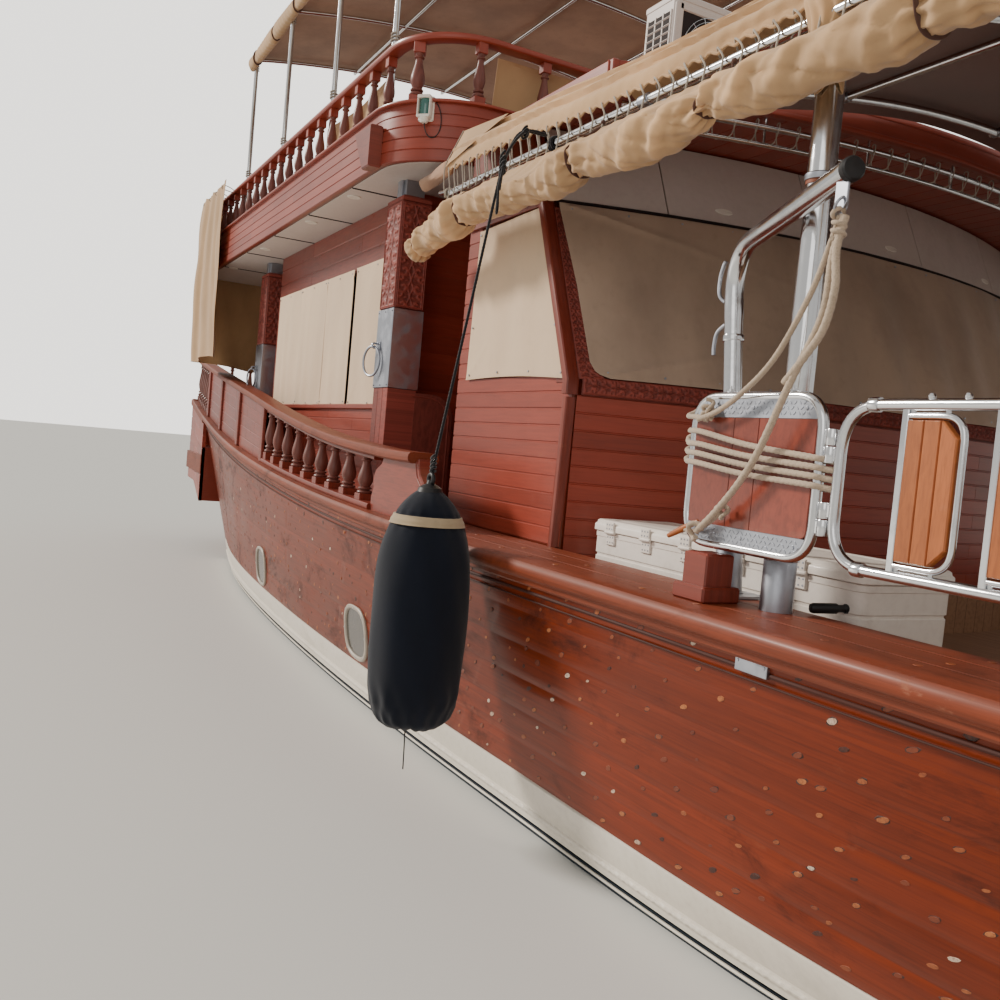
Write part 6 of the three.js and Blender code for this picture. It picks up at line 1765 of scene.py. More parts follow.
class DHOW_OT_valance(bpy.types.Operator):
    """Side curtains rolled up and tied under the awning pipes, in gathered diagonal folds"""
    bl_idname = "dhow.valance"
    bl_label = "Rolled side curtains"

    def execute(self, context):
        for name, side in SIDES:
            s = np.r_[np.arange(-0.60, 2.9, 0.0085 if side < 0 else 0.016),
                      np.arange(2.9, 4.86, 0.02)][:, None]
            m = 72 if side < 0 else 54
            t = np.linspace(0, 1, m, endpoint=False)[None]
            a = 2 * np.pi * t
            near = sum(np.exp(-(((s - k) / 0.05) ** 2)) for k in STRAPS)
            wide_near = sum(np.exp(-(((s - k) / 0.16) ** 2)) for k in STRAPS)
            body = 0.108 - 0.024 * near + 0.012 * np.sin(s * 4.1 + 0.7) + 0.010 * np.sin(s * 9.7)
            ends = np.sqrt(np.clip(1 - np.clip((-0.47 - s) / 0.135, 0, 1) ** 2, 0.01, 1)) * np.sqrt(
                np.clip(1 - np.clip((s - 4.76) / 0.1, 0, 1) ** 2, 0.01, 1))
            neck = 1 - 0.30 * np.exp(-(((s + 0.40) / 0.035) ** 2))
            body = body * ends * neck
            drift = 0.9 * waves(s * 1.3, np.cos(a) * 0.8, 8, 6, 1.0)
            lean = 2 * np.pi * s / 0.23 - 3.6 * np.cos(a) + 1.6 * drift
            second = 2 * np.pi * s / 0.125 - 4.6 * np.cos(a - 0.2) + 2.4 * drift + 0.8 * np.sin(s
                * 9)
            here = np.clip(0.55 + 0.9 * waves(s * 2.2, np.sin(a) * 1.5, 27, 6, 1.1), 0.05, 1.2)
            pleat = (0.5 + 0.5 * np.cos(lean)) ** 1.6 * here + 0.55 * (0.5 + 0.5
                * np.cos(second)) ** 2.2 * np.clip(wide_near + 0.45, 0, 1)
            gather = 0.010 * np.clip(wide_near - 0.1, 0,
                                     1) * np.abs(np.sin(7 * a + 1.3 * np.sin(s * 7) + 2.0
                                                        * waves(s * 3, a * 0, 5, 4, 1.0)))
            radial = 0.014 * near * np.abs(np.sin(6 * a + 3 * np.sin(s * 4)))
            r = body + ends * (0.022 * pleat * (0.45 + 0.55 * np.clip(np.sin(a) * 0.8 + 0.4, 0, 1))
                               - 0.006 + gather) + 0.007 * waves(s * 6, np.sin(a) * 3, 17, 6,
                                   1.2) - radial
            cz = PIPE_Z - valance_drop(s) - 0.035 * np.clip((s + 0.45) / 0.2, 0, 1)
            cy = 2.545 - 0.06 * np.clip((-0.3 - s) / 0.3, 0, 1)
            sag = 1 + 0.22 * np.clip(np.cos(a - np.pi), 0, 1) * (1 - wide_near)
            top = np.clip(np.cos(a), 0, 1)
            crease = waves(s * 15 + np.cos(a) * 2.2 + np.sin(a) * 1.2, np.cos(a) * 0.9 + np.sin(a)
                           * 0.8, 71, 8, 1.5)
            crumple = (0.0035 * np.abs(waves(s * 21, np.cos(a) * 5 + np.sin(a) * 2, 72, 9, 1.5))
                       - 0.011 * np.exp(-((crease / 0.2) ** 2))) * ends
            y = cy - 0.035 * top + (r + crumple) * np.sin(a) * (1 - 0.35 * top**1.5)
            z = cz + (r + crumple) * np.cos(a) * np.where(np.cos(a) < 0, sag, 0.62)
            hang = np.clip(np.cos(a), 0, 1) ** 5 * (s > -0.30) * np.clip((s + 0.30) / 0.08, 0,
                1) * np.clip((4.8 - s) / 0.1, 0, 1)
            y = mix(y, 2.468 + 0.012 * np.sin(a) + 0.004 * np.sin(s * 60), hang)
            z = mix(z, 3.468, hang)
            # Tone follows the pleats: painted shade in their creases, lighter on their ridges.
            made = loft(stacked(s, side * y, z), 0.35 + 0.5 * pleat)
            canvas = piece("rolled_valance_" + name, made, "canvas", replaces="rolled_valance_"
                           + name, sharp=60)
            bands = []
            for k in STRAPS:
                i = int(np.argmin(abs(s[:, 0] - k)))
                ring = stacked(s[i, 0], side * y[i], z[i])
                middle = ring.mean(0)
                spread = ring - middle
                for _ in range(6):
                    spread = (np.roll(spread, 1, 0) + spread + np.roll(spread, -1, 0)) / 3
                ring = middle + spread * 1.045
                ring[:, 0] += 0.012 * np.cos(a[0])
                bands.append(carry(smooth(ring, 0.012, True), rounded_bar(0.022, 0.006, 0.002),
                                   AHEAD, closed=True))
            piece("valance_straps_" + name, merge(bands), "brown_canvas")
            knots = []
            for k in STRAPS[1:]:
                knots += [lathe([(0.0, -0.012), (0.010, -0.008), (0.013, 0.0), (0.009, 0.009),
                                 (0.0, 0.012)], (k + 0.01, side * 2.455, 3.50), (1, 0, 0.3), 12),
                          tube(smooth([(k, side * 2.455, 3.50), (k + 0.015, side * 2.47, 3.44),
                                       (k + 0.035, side * 2.60, 3.40)], 0.01), 0.005, 8)]
            piece("valance_knots_" + name, merge(knots), "brown_canvas")
            gather_z = np.linspace(3.28, 3.60, 40)[:, None]
            g = circle(72)[None]
            open_out = np.clip((gather_z - 3.36) / 0.22, 0, 1)
            radius = 0.058 + 0.05 * open_out + (0.004 + 0.014 * open_out) * np.abs(
                np.sin(7 * g + 2 * np.sin(gather_z * 20)))
            cone, inner = (stacked(2.92 + r * np.cos(g), side * (2.375 + r * np.sin(g) * 0.8),
                                   gather_z + 0.02 * np.sin(3 * g))
                           for r in (radius, radius - 0.004))
            made = loft(np.concatenate([cone, inner[::-1]], 0), 0.5, closed=True)
            piece("post_gather_" + name, made, "canvas", sharp=60)
        return {"FINISHED"}


class DHOW_OT_davit(bpy.types.Operator):
    """Davit arm with a sleeve, end cap, lug and hooks in its bolted socket; its fall of rope"""
    bl_idname = "dhow.davit"
    bl_label = "Davit"

    def execute(self, context):
        foot, shoulder, tip = np.array([2.56, -2.27, 1.423]), np.array(
            [2.402, -2.28, 2.80]), np.array([3.32, -2.625, 2.87])
        line = resample(bent([foot, shoulder, tip], 0.20, count=20), 0.03)
        first = np.cumsum(np.r_[0, np.linalg.norm(np.diff(line, axis=0), axis=1)])
        radius = np.where(first < 0.004, 0.034, 0.038) + 0.002 * ((first > 1.10) & (first < 1.20))
        radius[-1] = 0.036
        across = np.cross(tip - shoulder, shoulder - foot)
        way = unit(tip - shoulder)
        arm = [tube(line, radius, 32, across), pipe_tee(line[int(np.argmin(abs(first - 1.02)))],
            shoulder - foot, 0.0385, 0.012)]
        piece("davit_arm", merge(arm), "steel", "davit", replaces="davit_arm")
        cap = lathe([(0.0, -0.004), (0.037, -0.004), (0.040, 0.0), (0.040, 0.022), (0.034, 0.030),
                     (0.0, 0.032)], tip - way * 0.024, way, 32)
        piece("davit_cap", cap, "black", "davit")
        x, y, z = tip
        lug = plate([(x - 0.062, z - 0.015), (x - 0.062, z - 0.10), (x - 0.05, z - 0.12),
                     (x - 0.024, z - 0.12), (x - 0.012, z - 0.10), (x - 0.012, z - 0.015)], "y",
                    y - 0.004, y + 0.006, 0.002)
        t = circle(26)
        shackle = stacked(x - 0.037 + 0.016 * np.sin(t) * 0.8, y + 0.022 * np.cos(t),
                          z - 0.112 + 0.026 * np.sin(t))
        up_hook = [(2.432, -2.27, 2.59), (2.37, -2.276, 2.598), (2.335, -2.282, 2.63),
                   (2.330, -2.282, 2.70), (2.345, -2.282, 2.752), (2.352, -2.282, 2.762)]
        low_hook = [(2.440, -2.27, 2.53), (2.39, -2.277, 2.505), (2.345, -2.282, 2.472),
                    (2.332, -2.282, 2.42), (2.335, -2.282, 2.378)]
        hooks = [tube(smooth(hook, 0.01), 0.0085, 10) for hook in (up_hook, low_hook)]
        hooks.append(lathe([(0, -0.006), (0.008, -0.003), (0.010, 0.001), (0.007, 0.006),
                            (0, 0.008)], up_hook[-1], UP, 12))
        piece("davit_fittings", merge(lug, tube(shackle, 0.005, 8, AHEAD, True), hooks),
              "dull_steel", "davit")

        base = sheer(2.56)
        corners = [(2.43, -2.355), (2.69, -2.355), (2.69, -2.17), (2.43, -2.17)]
        foot_plate = plate(bent([(*c, 0) for c in corners], 0.02, True)[:, :2], "z", base + 0.0005,
                           base + 0.012, 0.002)
        axis = unit(shoulder - foot)
        sleeve = lathe([(0.044, 0.008), (0.053, 0.008), (0.0535, 0.012), (0.0535, 0.20),
                        (0.050, 0.207), (0.044, 0.207)], (2.5615, -2.27, base), axis, 32)
        weld = tube([(2.56 + 0.056 * math.cos(a), -2.27 + 0.056 * math.sin(a), base + 0.014)
                     for a in circle(40)], 0.004, 8, UP, True)
        bolts = [lathe([(0.0, 0.022), (0.009, 0.021), (0.011, 0.018), (0.011, 0.012),
                        (0.016, 0.012), (0.016, 0.0)][::-1], (bx, by, base), sides=6)
                 for bx, by in ((2.45, -2.335), (2.67, -2.335), (2.45, -2.19), (2.67, -2.19))]
        grip = lathe([(0.0, 0), (0.016, 0.002), (0.02, 0.012), (0.02, 0.10), (0.014, 0.11),
                      (0.014, 0.13), (0.018, 0.135), (0.018, 0.19), (0.010, 0.20), (0.0, 0.20)],
                     (2.985, -2.255, base + 0.024), unit(np.array([0.35, 0.95, 0.05])), 18)
        piece("davit_socket", merge(foot_plate, sleeve, weld, bolts), "dull_steel",
              replaces="davit_socket")
        piece("winch_handle", grip, "black")

        d = context.scene.dhow_sizes.rope
        eye = np.array([x - 0.037, y + 0.002, z - 0.142])
        runs = {"davit_fall": [eye, (3.235, -2.600, 2.66), (3.16, -2.592, 2.50),
                               (3.02, -2.585, 2.30), (2.86, -2.575, 2.18), (2.73, -2.568, 2.115),
                               (2.62, -2.562, 2.085)],
                "davit_loop": [eye + (0.016, 0.006, 0.0), (3.285, -2.626, 2.62),
                               (3.30, -2.630, 2.50), (3.262, -2.620, 2.38), (3.185, -2.606, 2.30),
                               (3.09, -2.598, 2.21)],
                "davit_tail": [eye + (0.012, 0.004, 0.004), (3.262, -2.616, 2.60),
                               (3.235, -2.606, 2.42), (3.12, -2.596, 2.22), (2.99, -2.586, 1.98),
                               (2.90, -2.580, 1.86), (2.78, -2.574, 1.74), (2.68, -2.568, 1.66)],}
        for name, points in runs.items():
            path = smooth(points, 0.01)
            thick = d * (0.9 if name == "davit_fall" else 1.15)
            piece(name, rope(path, thick), "hemp", "davit", sharp=60)
        t = np.linspace(0, 2 * np.pi * 2.6, 70)
        hitch = stacked(eye[0] + 0.018 * np.cos(t), eye[1] + 0.020 * np.sin(t),
                        eye[2] - 0.004 - 0.012 * t / 3)
        hitch2 = stacked(eye[0] + 0.012 * np.sin(t) - 0.01, eye[1] + 0.020 * np.cos(t),
                         eye[2] + 0.012 + 0.012 * np.sin(t))
        a = np.linspace(0.3, 5.6, 9)
        end = runs["davit_tail"][-1] + stacked(0.03 * np.cos(a), 0.012 * np.sin(2 * a) - 0.008,
                                               0.03 * np.sin(a))
        piece("davit_hitch", merge(rope(hitch, d * 0.62), rope(hitch2, d * 0.62),
                                   rope(smooth(end, 0.008), d * 0.9)), "hemp", "davit", sharp=60)
        return {"FINISHED"}


def rounded_rect(x0, x1, z0, z1, y, corner):
    """A closed line round a rectangle with rounded corners, standing at y."""
    points = bent([(x0, y, z0), (x1, y, z0), (x1, y, z1), (x0, y, z1)], corner, True, 12)
    return resample(points, 0.012, closed=True)


LADDER_Y, HINGE_X, HINGE_LEVELS = -2.505, 3.238, (1.71, 2.01)


def knuckle(z, x):
    """A barrel of the hinge between the platform and the ladder, with a leaf that reaches to x."""
    barrel = lathe([(0.010, 0.002), (0.020, 0.002), (0.021, 0.004), (0.021, 0.054), (0.020, 0.056),
                    (0.010, 0.056)], (HINGE_X, LADDER_Y, z), sides=20)
    return merge(barrel, block(x, HINGE_X, LADDER_Y - 0.010, LADDER_Y + 0.010, z + 0.006, z + 0.052,
                               0.003))


class DHOW_OT_platform(bpy.types.Operator):
    """Hinged boarding platform: pipe frame, painted boards, tread plates, rope turns and toggle"""
    bl_idname = "dhow.platform"
    bl_label = "Boarding platform"

    def execute(self, context):
        y, d = LADDER_Y, context.scene.dhow_sizes.rope
        x0, x1, z0, z1 = 2.525, 3.215, 1.60, 2.195
        loop = tube(rounded_rect(x0 + 0.019, x1 - 0.019, z0 + 0.019, z1 - 0.019, y, 0.125), 0.019,
                    18, ABEAM, True)
        knobs = [lathe([(0.011, -0.012), (0.011, 0.0), (0.014, 0.002), (0.014, 0.010),
                        (0.006, 0.012), (0.006, 0.022), (0.0, 0.024)], (x, y, z1 - 0.002), sides=14)
                 for x in (2.72, 3.04)]
        lugs = [knuckle(z, 3.19) for z in HINGE_LEVELS]
        piece("platform_frame", merge(loop, knobs, lugs), "steel", "platform",
              replaces="boarding_platform")

        def outline(xa, xb, za, zb, radii):
            corners, out = np.array([(xa, za), (xb, za), (xb, zb), (xa, zb)]), []
            t = np.linspace(0, 1, 8)[:, None]
            for before, c, after, r in zip(np.roll(corners, 1, 0), corners, np.roll(corners, -1, 0),
                                           radii):
                a, b = c + unit(before - c) * r, c + unit(after - c) * r
                out += list((1 - t) ** 2 * a + 2 * t * (1 - t) * c + t**2 * b) if r else [c]
            return out

        inner_x, inner_z = (x0 + 0.036, x1 - 0.036), (z0 + 0.036, z1 - 0.036)
        splits = (inner_x[0], 2.775, 2.905, inner_x[1])
        boards = []
        for k, (a, b) in enumerate(zip(splits[:-1], splits[1:])):
            boards.append(
                plate(outline(a + 0.0012, b - 0.0012, inner_z[0] + 0.055, inner_z[1] - 0.06,
                              (0, 0.03 * (k == 2), 0, 0)), "y", y - 0.013, y + 0.013, 0.002,
                      0.35 + 0.18 * k))
        for k in boards:
            k.uv = k.v[:, [2, 0]]
        piece("platform_boards", merge(boards), "board", "platform")
        strips, nuts = [], []
        for za, zb, corners in ((inner_z[0] - 0.012, inner_z[0] + 0.056, (0.06, 0.06, 0, 0)),
                                (inner_z[1] - 0.062, inner_z[1] + 0.012, (0, 0, 0.06, 0.06))):
            strips.append(plate(outline(inner_x[0] - 0.008, inner_x[1] + 0.008, za, zb, corners),
                                "y", y - 0.0155, y + 0.0155, 0.002))
            middle = (za + zb) / 2
            for out in (-1, 1):
                gx, gz = grid(np.arange(inner_x[0] + 0.05, inner_x[1] - 0.04, 0.022),
                              (middle - 0.018, middle, middle + 0.018))
                gx = gx + (gz > middle - 0.001) * 0.011 * (gz < middle + 0.001)
                p = stacked(gx.ravel(), y + out * 0.0155, gz.ravel())
                lean = np.where((np.arange(gx.size) % 2)[:, None], [0.7, 0, 0.7], [0.7, 0, -0.7])
                other = np.cross(lean, ABEAM)
                strips.append(discs(p, lean * 1.7, other * 0.6 * -out, 0.0055, 0.0016, sides=8))
                at = [(x, y + out * 0.0155, middle)
                      for x in (inner_x[0] + 0.05, 2.87, inner_x[1] - 0.05)]
                nuts.append(discs(at, (-out, 0, 0), UP, 0.008, 0.003))
        piece("platform_strips", merge(strips, nuts), "dull_steel", "platform")

        turns = []
        for k in range(4):
            za, zb = 2.045 - 0.036 * k - 0.012 * (k > 0), 1.965 - 0.031 * k
            turns += [(x0 - 0.012, y - 0.004, za), (x0 + 0.10, y - 0.036, za - 0.006),
                      (2.87, y - 0.033 - 0.003 * (k % 2), mix(za, zb, 0.5) - 0.006),
                      (x1 - 0.05, y - 0.034, zb + 0.006), (x1 + 0.009, y - 0.01, zb),
                      (x1 + 0.008, y + 0.022, zb - 0.004),
                      (2.87, y + 0.034, mix(za, zb, 0.6) - 0.02),
                      (x0 - 0.006, y + 0.026, za - 0.022)]
        lash = smooth(turns[:-1], 0.008)
        toggle_at = np.array([2.585, -2.556, 1.66])
        toggle = lathe([(0.0, -0.085), (0.009, -0.083), (0.011, -0.06), (0.0125, 0.0),
                        (0.011, 0.06), (0.007, 0.085), (0.0, 0.088)], toggle_at,
                       unit(np.array([0.9, 0.1, 0.45])), 16, 0.6)
        piece("platform_toggle", toggle, "tread", "platform")
        t = np.linspace(0, 2 * np.pi * 2.3, 60)
        knot = stacked(2.655 + 0.020 * np.cos(t), y - 0.045 + 0.012 * np.sin(2 * t),
                       2.085 + 0.020 * np.sin(t) + 0.004 * t)
        knot2 = stacked(2.80 + 0.024 * np.cos(t), y - 0.052 + 0.014 * np.sin(2 * t),
                        1.745 + 0.022 * np.sin(t))
        tail = smooth([(2.655, y - 0.048, 2.085), (2.60, y - 0.040, 2.095),
                       (x0 - 0.010, y - 0.020, 2.10), (x0 - 0.014, y + 0.010, 2.115),
                       (x0 + 0.02, y + 0.03, 2.14)], 0.008)
        end = smooth([(2.80, y - 0.055, 1.745), (2.72, y - 0.052, 1.69), (2.64, y - 0.05, 1.655),
                      (2.60, y - 0.05, 1.66), (2.575, y - 0.045, 1.65)], 0.008)
        piece("platform_lashing", merge(rope(lash, d * 0.95), rope(knot, d * 0.7),
                                        rope(knot2, d * 0.7), rope(tail, d * 0.9),
                                        rope(end, d * 0.8)), "hemp", "platform", sharp=60)
        return {"FINISHED"}


class DHOW_OT_ladder(bpy.types.Operator):
    """Stowed boarding ladder: pipe frame, framed teak treads, rests, hinge knuckles; bitts"""
    bl_idname = "dhow.ladder"
    bl_label = "Boarding ladder and bitts"

    def execute(self, context):
        y = LADDER_Y
        x0, x1, z0, z1 = 3.262, 5.70, 1.606, 2.165
        parts = [tube(rounded_rect(x0 + 0.019, x1 - 0.019, z0 + 0.019, z1 - 0.019, y, 0.15), 0.019,
                      18, ABEAM, True)]
        parts += [knuckle(z + gap, 3.285) for z, gap in zip(HINGE_LEVELS, (0.058, -0.058))]
        for x in (3.40, 5.55):
            for z in (z0 + 0.019, z1 - 0.019):
                parts.append(pipe_tee((x, y, z), AHEAD, 0.0185, 0.018))
        treads = []
        for k, start in enumerate(np.arange(x0 + 0.26, x1 - 0.355, 0.31)):
            a, b = start, start + 0.2
            edge = [(a, y, z0 + 0.052), (b, y, z0 + 0.052), (b, y, z1 - 0.052), (a, y, z1 - 0.052)]
            parts.append(tube(resample(bent(edge, 0.075, False, 10), 0.012), 0.011, 12, ABEAM))
            parts.append(stub(a, y, 0.012, 0.012, z0 + 0.030, z1 - 0.030, 0.003))
            for z, way in ((z0 + 0.036, 1), (z1 - 0.036, -1)):
                parts += [tube([(x, y, z - way * 0.012), (x, y, z + way * 0.02)], 0.008, 10)
                          for x in (a + 0.02, b - 0.06)]
            for j in range(3):
                c, e = mix(a + 0.014, b - 0.013, j / 3) + 0.0008, mix(a + 0.014, b - 0.013,
                    (j + 1) / 3) - 0.0008
                cut = 0.052 if j == 2 else 0
                low, high = z0 + 0.066, z1 - 0.066
                rows = [(e - cut, low), (e, low + cut), (e, high - cut),
                        (e - cut, high)] if cut else [(e, low), (e, high)]
                tread = plate([(c, low), *rows, (c, high)], "y", y - 0.0155, y + 0.0155, 0.004,
                              0.35 + 0.2 * ((j + k) % 3))
                tread.uv = tread.v[:, [2, 0]]
                treads.append(tread)
        knobs = [lathe([(0.006, -0.01), (0.010, 0.0), (0.012, 0.008), (0.008, 0.016), (0.0, 0.019)],
                       (x, y, z1 - 0.002), sides=12) for x in (3.60, 3.72, 4.22, 4.85)]
        piece("ladder_frame", merge(parts, knobs), "steel", replaces="boarding_ladder")
        piece("ladder_treads", merge(treads), "tread")
        rests = []
        for x in (4.3, 5.4):
            low = sheer(x) - 0.001
            rests += [stub(x, y, 0.045, 0.03, low, 1.624, 0.008, 0.5),
                      stub(x, y, 0.06, 0.045, low, low + 0.03, 0.006, 0.3)]
        piece("ladder_rests", merge(rests), "joinery")
        for name, side in SIDES:
            x, py, low = 2.69, side * 2.50, sheer(2.69) - 0.001
            made = merge(stub(x, py, 0.068, 0.068, low + 0.05, low + 0.181, 0.006, 0.5),
                         stub(x, py, 0.092, 0.092, low, low + 0.061, 0.008, 0.35),
                         stub(x, py, 0.06, 0.06, low + 0.176, low + 0.1835, 0.006, 0.7))
            made.uv = made.v[:, [2, 1]]
            piece("bitt_" + name, made, "joinery", replaces="bitt_" + name)
        return {"FINISHED"}


class DHOW_OT_chest(bpy.types.Operator):
    """Deck ice chest: ribbed moulded body, lid with a rim, hinges and latches"""
    bl_idname = "dhow.chest"
    bl_label = "Ice chest"

    def execute(self, context):
        x0, x1, y0, y1, wall = 1.335, 3.10, -2.125, -1.62, 0.055

        def box(rows):
            """Rounded rings joined; each row is a height and how far the ring stands out."""
            return loft(
                [
                    bent([(x0 - grow, y0 - grow, z), (x1 + grow, y0 - grow, z),
                          (x1 + grow, y1 + grow, z), (x0 - grow, y1 + grow, z)], 0.05, True, 8)
                    for z, grow in rows], 0.5)

        body = box([(0.985, -0.012), (0.982, -0.006), (0.99, -0.002), (1.20, -0.002),
                    (1.204, -0.008), (1.216, -0.008), (1.22, -0.002), (1.40, -0.001),
                    (1.404, -0.006), (1.414, -0.006), (1.418, 0.0), (1.50, 0.0), (1.503, 0.003),
                    (1.526, 0.003), (1.529, 0.0), (1.529, -wall + 0.004), (1.525, -wall),
                    (1.065, -wall - 0.01), (1.060, -wall - 0.02)])
        piece("ice_chest", body, "plastic", replaces="ice_chest")
        cover = box([(1.531, -0.05), (1.531, 0.008), (1.534, 0.012), (1.562, 0.012), (1.568, 0.009),
                     (1.572, 0.004), (1.584, 0.002), (1.589, -0.004), (1.590, -0.014),
                     (1.590, -0.055), (1.586, -0.06), (1.586, -0.075), (1.589, -0.08),
                     (1.589, -0.14)])
        piece("ice_chest_lid", cover, "plastic", "chest_lid", replaces="ice_chest_lid")
        for x in (1.50, 1.80, 2.10, 2.45, 2.80):
            barrel = lathe([(0.0, -0.04), (0.009, -0.04), (0.010, -0.038), (0.010, 0.038),
                            (0.009, 0.04), (0.0, 0.04)], (x, -2.1405, 1.5303), AHEAD, 16)
            leaf = block(x - 0.036, x + 0.036, y0 - 0.011, y0 + 0.001, 1.465, 1.526, 0.004)
            lid_leaf = block(x - 0.036, x + 0.036, y0 - 0.0215, y0 - 0.011, 1.536, 1.585, 0.004)
            spots, lid_spots = (
                discs([(x + a, y0 - out, z) for a in (-0.022, 0.0, 0.022) for z in rows], AHEAD, UP,
                      0.005, 0.0012, 0.1, 8) for out, rows in ((0.0112, (1.481, 1.507)),
                          (0.0217, (1.55, 1.571))))
            tag = "%d" % round(x * 10)
            piece("chest_hinge_" + tag, merge(leaf, barrel), "plastic")
            piece("chest_hinge_dots_" + tag, spots, "dull_steel")
            piece("lid_hinge_" + tag, lid_leaf, "plastic", "chest_lid")
            piece("lid_hinge_dots_" + tag, lid_spots, "dull_steel", "chest_lid")
        for x in (1.75, 2.65):
            latch = block(x - 0.03, x + 0.03, y1 - 0.001, y1 + 0.012, 1.45, 1.52, 0.004)
            piece("chest_latch_%d" % round(x * 10), latch, "black")
        return {"FINISHED"}


class DHOW_OT_fender(bpy.types.Operator):
    """Fender in a knitted cover with a drawstring foot, pale band, knotted doubled line"""
    bl_idname = "dhow.fender"
    bl_label = "Fender"

    def execute(self, context):
        x, y, low, radius, tall = 1.17, -3.012, 0.49, 0.24, 1.2
        profile = curve([(0.0, 0.46), (0.008, 0.68), (0.024, 0.81), (0.055, 0.88), (0.10, 0.93),
                         (0.20, 0.975), (0.36, 1.0), (0.55, 0.99), (0.68, 0.955), (0.76, 0.89),
                         (0.83, 0.79), (0.88, 0.69), (0.93, 0.54), (0.965, 0.38), (0.985, 0.26),
                         (1.0, 0.17)])
        h = np.linspace(0, 1, 150)[:, None]
        a = circle(96)[None]
        r = profile(h) * radius
        soft = 0.004 * waves(np.cos(a) * 3 + h * 2, np.sin(a) * 3 + h * 5, 5, 7, 1.6)
        gather = np.exp(-((h / 0.085) ** 2)) * (0.022
                                                * np.abs(np.sin(8.5 * a + 0.8 * np.sin(h * 30)))
                                                + 0.014 * np.sin(a * 2 + 1.2) ** 2)
        crease = 0.003 * np.exp(-(((h - 0.865) / 0.04) ** 2)) * np.sin(17 * a) + 0.0035 * np.exp(
            -(((h - 0.12) / 0.06) ** 2)) * np.sin(13 * a + h * 20)
        sink = 0.004 * np.exp(-(((h - 0.888) / 0.006) ** 2)) + 0.004 * np.exp(
            -(((h - 0.843) / 0.006) ** 2))
        r = np.maximum(r + soft + crease - gather - sink, 0.02)
        body = stacked(x + r * np.cos(a), y + r * np.sin(a), low + 0.012 + h * (tall - 0.02)
                       - gather * 0.8)
        # Tone follows the soft relief: painted shade in the dents of the cover, lighter on its
        # swells.
        made = piece("fender_cover", loft(body, 0.5 + 0.4 * (soft / 0.004) * 0.5), "fender",
                     "fender", replaces="fender_starboard", sharp=60)
        k = np.linspace(0.846, 0.884, 8)[:, None]
        rk = profile(k) * radius + 0.0075 + 0.0015 * np.sin(k * 300)
        outer, inner = (stacked(x + at * np.cos(a), y + at * np.sin(a),
                                low + 0.012 + k * (tall - 0.02)) for at in (rk, rk - 0.012))
        piece("fender_band", loft(np.concatenate([outer, inner[::-1]]), closed=True), "band",
              "fender")
        top = low + tall
        shoulder = lathe([(0.060, top - 0.055), (0.066, top - 0.03), (0.058, top - 0.008),
                          (0.040, top + 0.004), (0.022, top + 0.012), (0.016, top + 0.03),
                          (0.0, top + 0.032)], (x, y, 0), sides=32)
        eye = np.array([(x + 0.028 * math.cos(t), y, top + 0.036 + 0.024 * math.sin(t))
                        for t in circle(24)])
        piece("fender_cap", merge(shoulder, tube(eye, 0.011, 12, ABEAM, True)), "black", "fender")

        pipe = np.array([1.052, -PIPE_Y, PIPE_Z])
        a1 = smooth([(1.17, -3.012, 1.745), (1.118, -2.865, 2.55), (1.066, -2.728, 3.30),
                     (1.056, -2.69, 3.42), (1.053, -2.62, 3.545), (1.052, -2.47, 3.562)], 0.02)
        a2 = smooth([(1.085, -2.735, 3.22), (1.078, -2.72, 3.34), (1.070, -2.69, 3.44),
                     (1.064, -2.60, 3.552), (1.060, -2.48, 3.566)], 0.02)

        def coil(x, y, z, reach, rise, count, drift):
            t = np.linspace(0, 6.28 * count, 16 * count)
            return smooth(stacked(x + reach * np.cos(t), y + 0.6 * reach * np.sin(t),
                                  z + rise * np.linspace(-1, 1, 16 * count) + drift * np.cos(t)),
                          0.008)

        parts = [rope(a1, 0.016, 2, 2.4, 10), rope(a2, 0.015, 2, 2.4, 10)]
        for d, *turn in ((0.014, 1.062, -2.715, 3.36, 0.020, 0.05, 4, 0.012),
                         (0.014, 1.056, -2.60, 3.545, 0.022, 0.016, 2, 0.014),
                         (0.013, 1.168, -3.005, 1.80, 0.018, 0.040, 4, 0.008)):
            parts.append(rope(coil(*turn), d, 2, 2.4, 8))
        for dx in (-0.012, 0.004, 0.02):
            t = circle(26)
            ring = stacked(pipe[0] + dx, pipe[1] + 0.0325 * np.cos(t), pipe[2] + 0.0325 * np.sin(t))
            parts.append(rope(ring, 0.014, 2, 2.4, 8, True))
        parts.append(
            rope(smooth([(1.075, -2.73, 3.29), (1.094, -2.745, 3.22), (1.098, -2.742, 3.13),
                         (1.082, -2.738, 3.10), (1.072, -2.735, 3.16), (1.068, -2.73, 3.27)], 0.01),
                 0.013, 2, 2.4, 8))
        piece("fender_line", merge(parts), "black_rope", "fender", sharp=60)
        tail = smooth([(1.175, -3.03, 0.50), (1.19, -3.045, 0.455), (1.182, -3.04, 0.40),
                       (1.176, -3.035, 0.33), (1.18, -3.035, 0.26)], 0.01)
        made = piece("fender_drawstring", tube(tail, 0.0035, 8), "black_rope", "fender")
        return {"FINISHED"}


TOP_POLES, TOP_Y, TOP_Z, TOP_CROWN = (-6.3, -4.7, -3.0, -1.5), 2.44, 6.27, 0.25


def top_z(y):
    return TOP_Z + TOP_CROWN * (1 - (y / TOP_Y) ** 2)


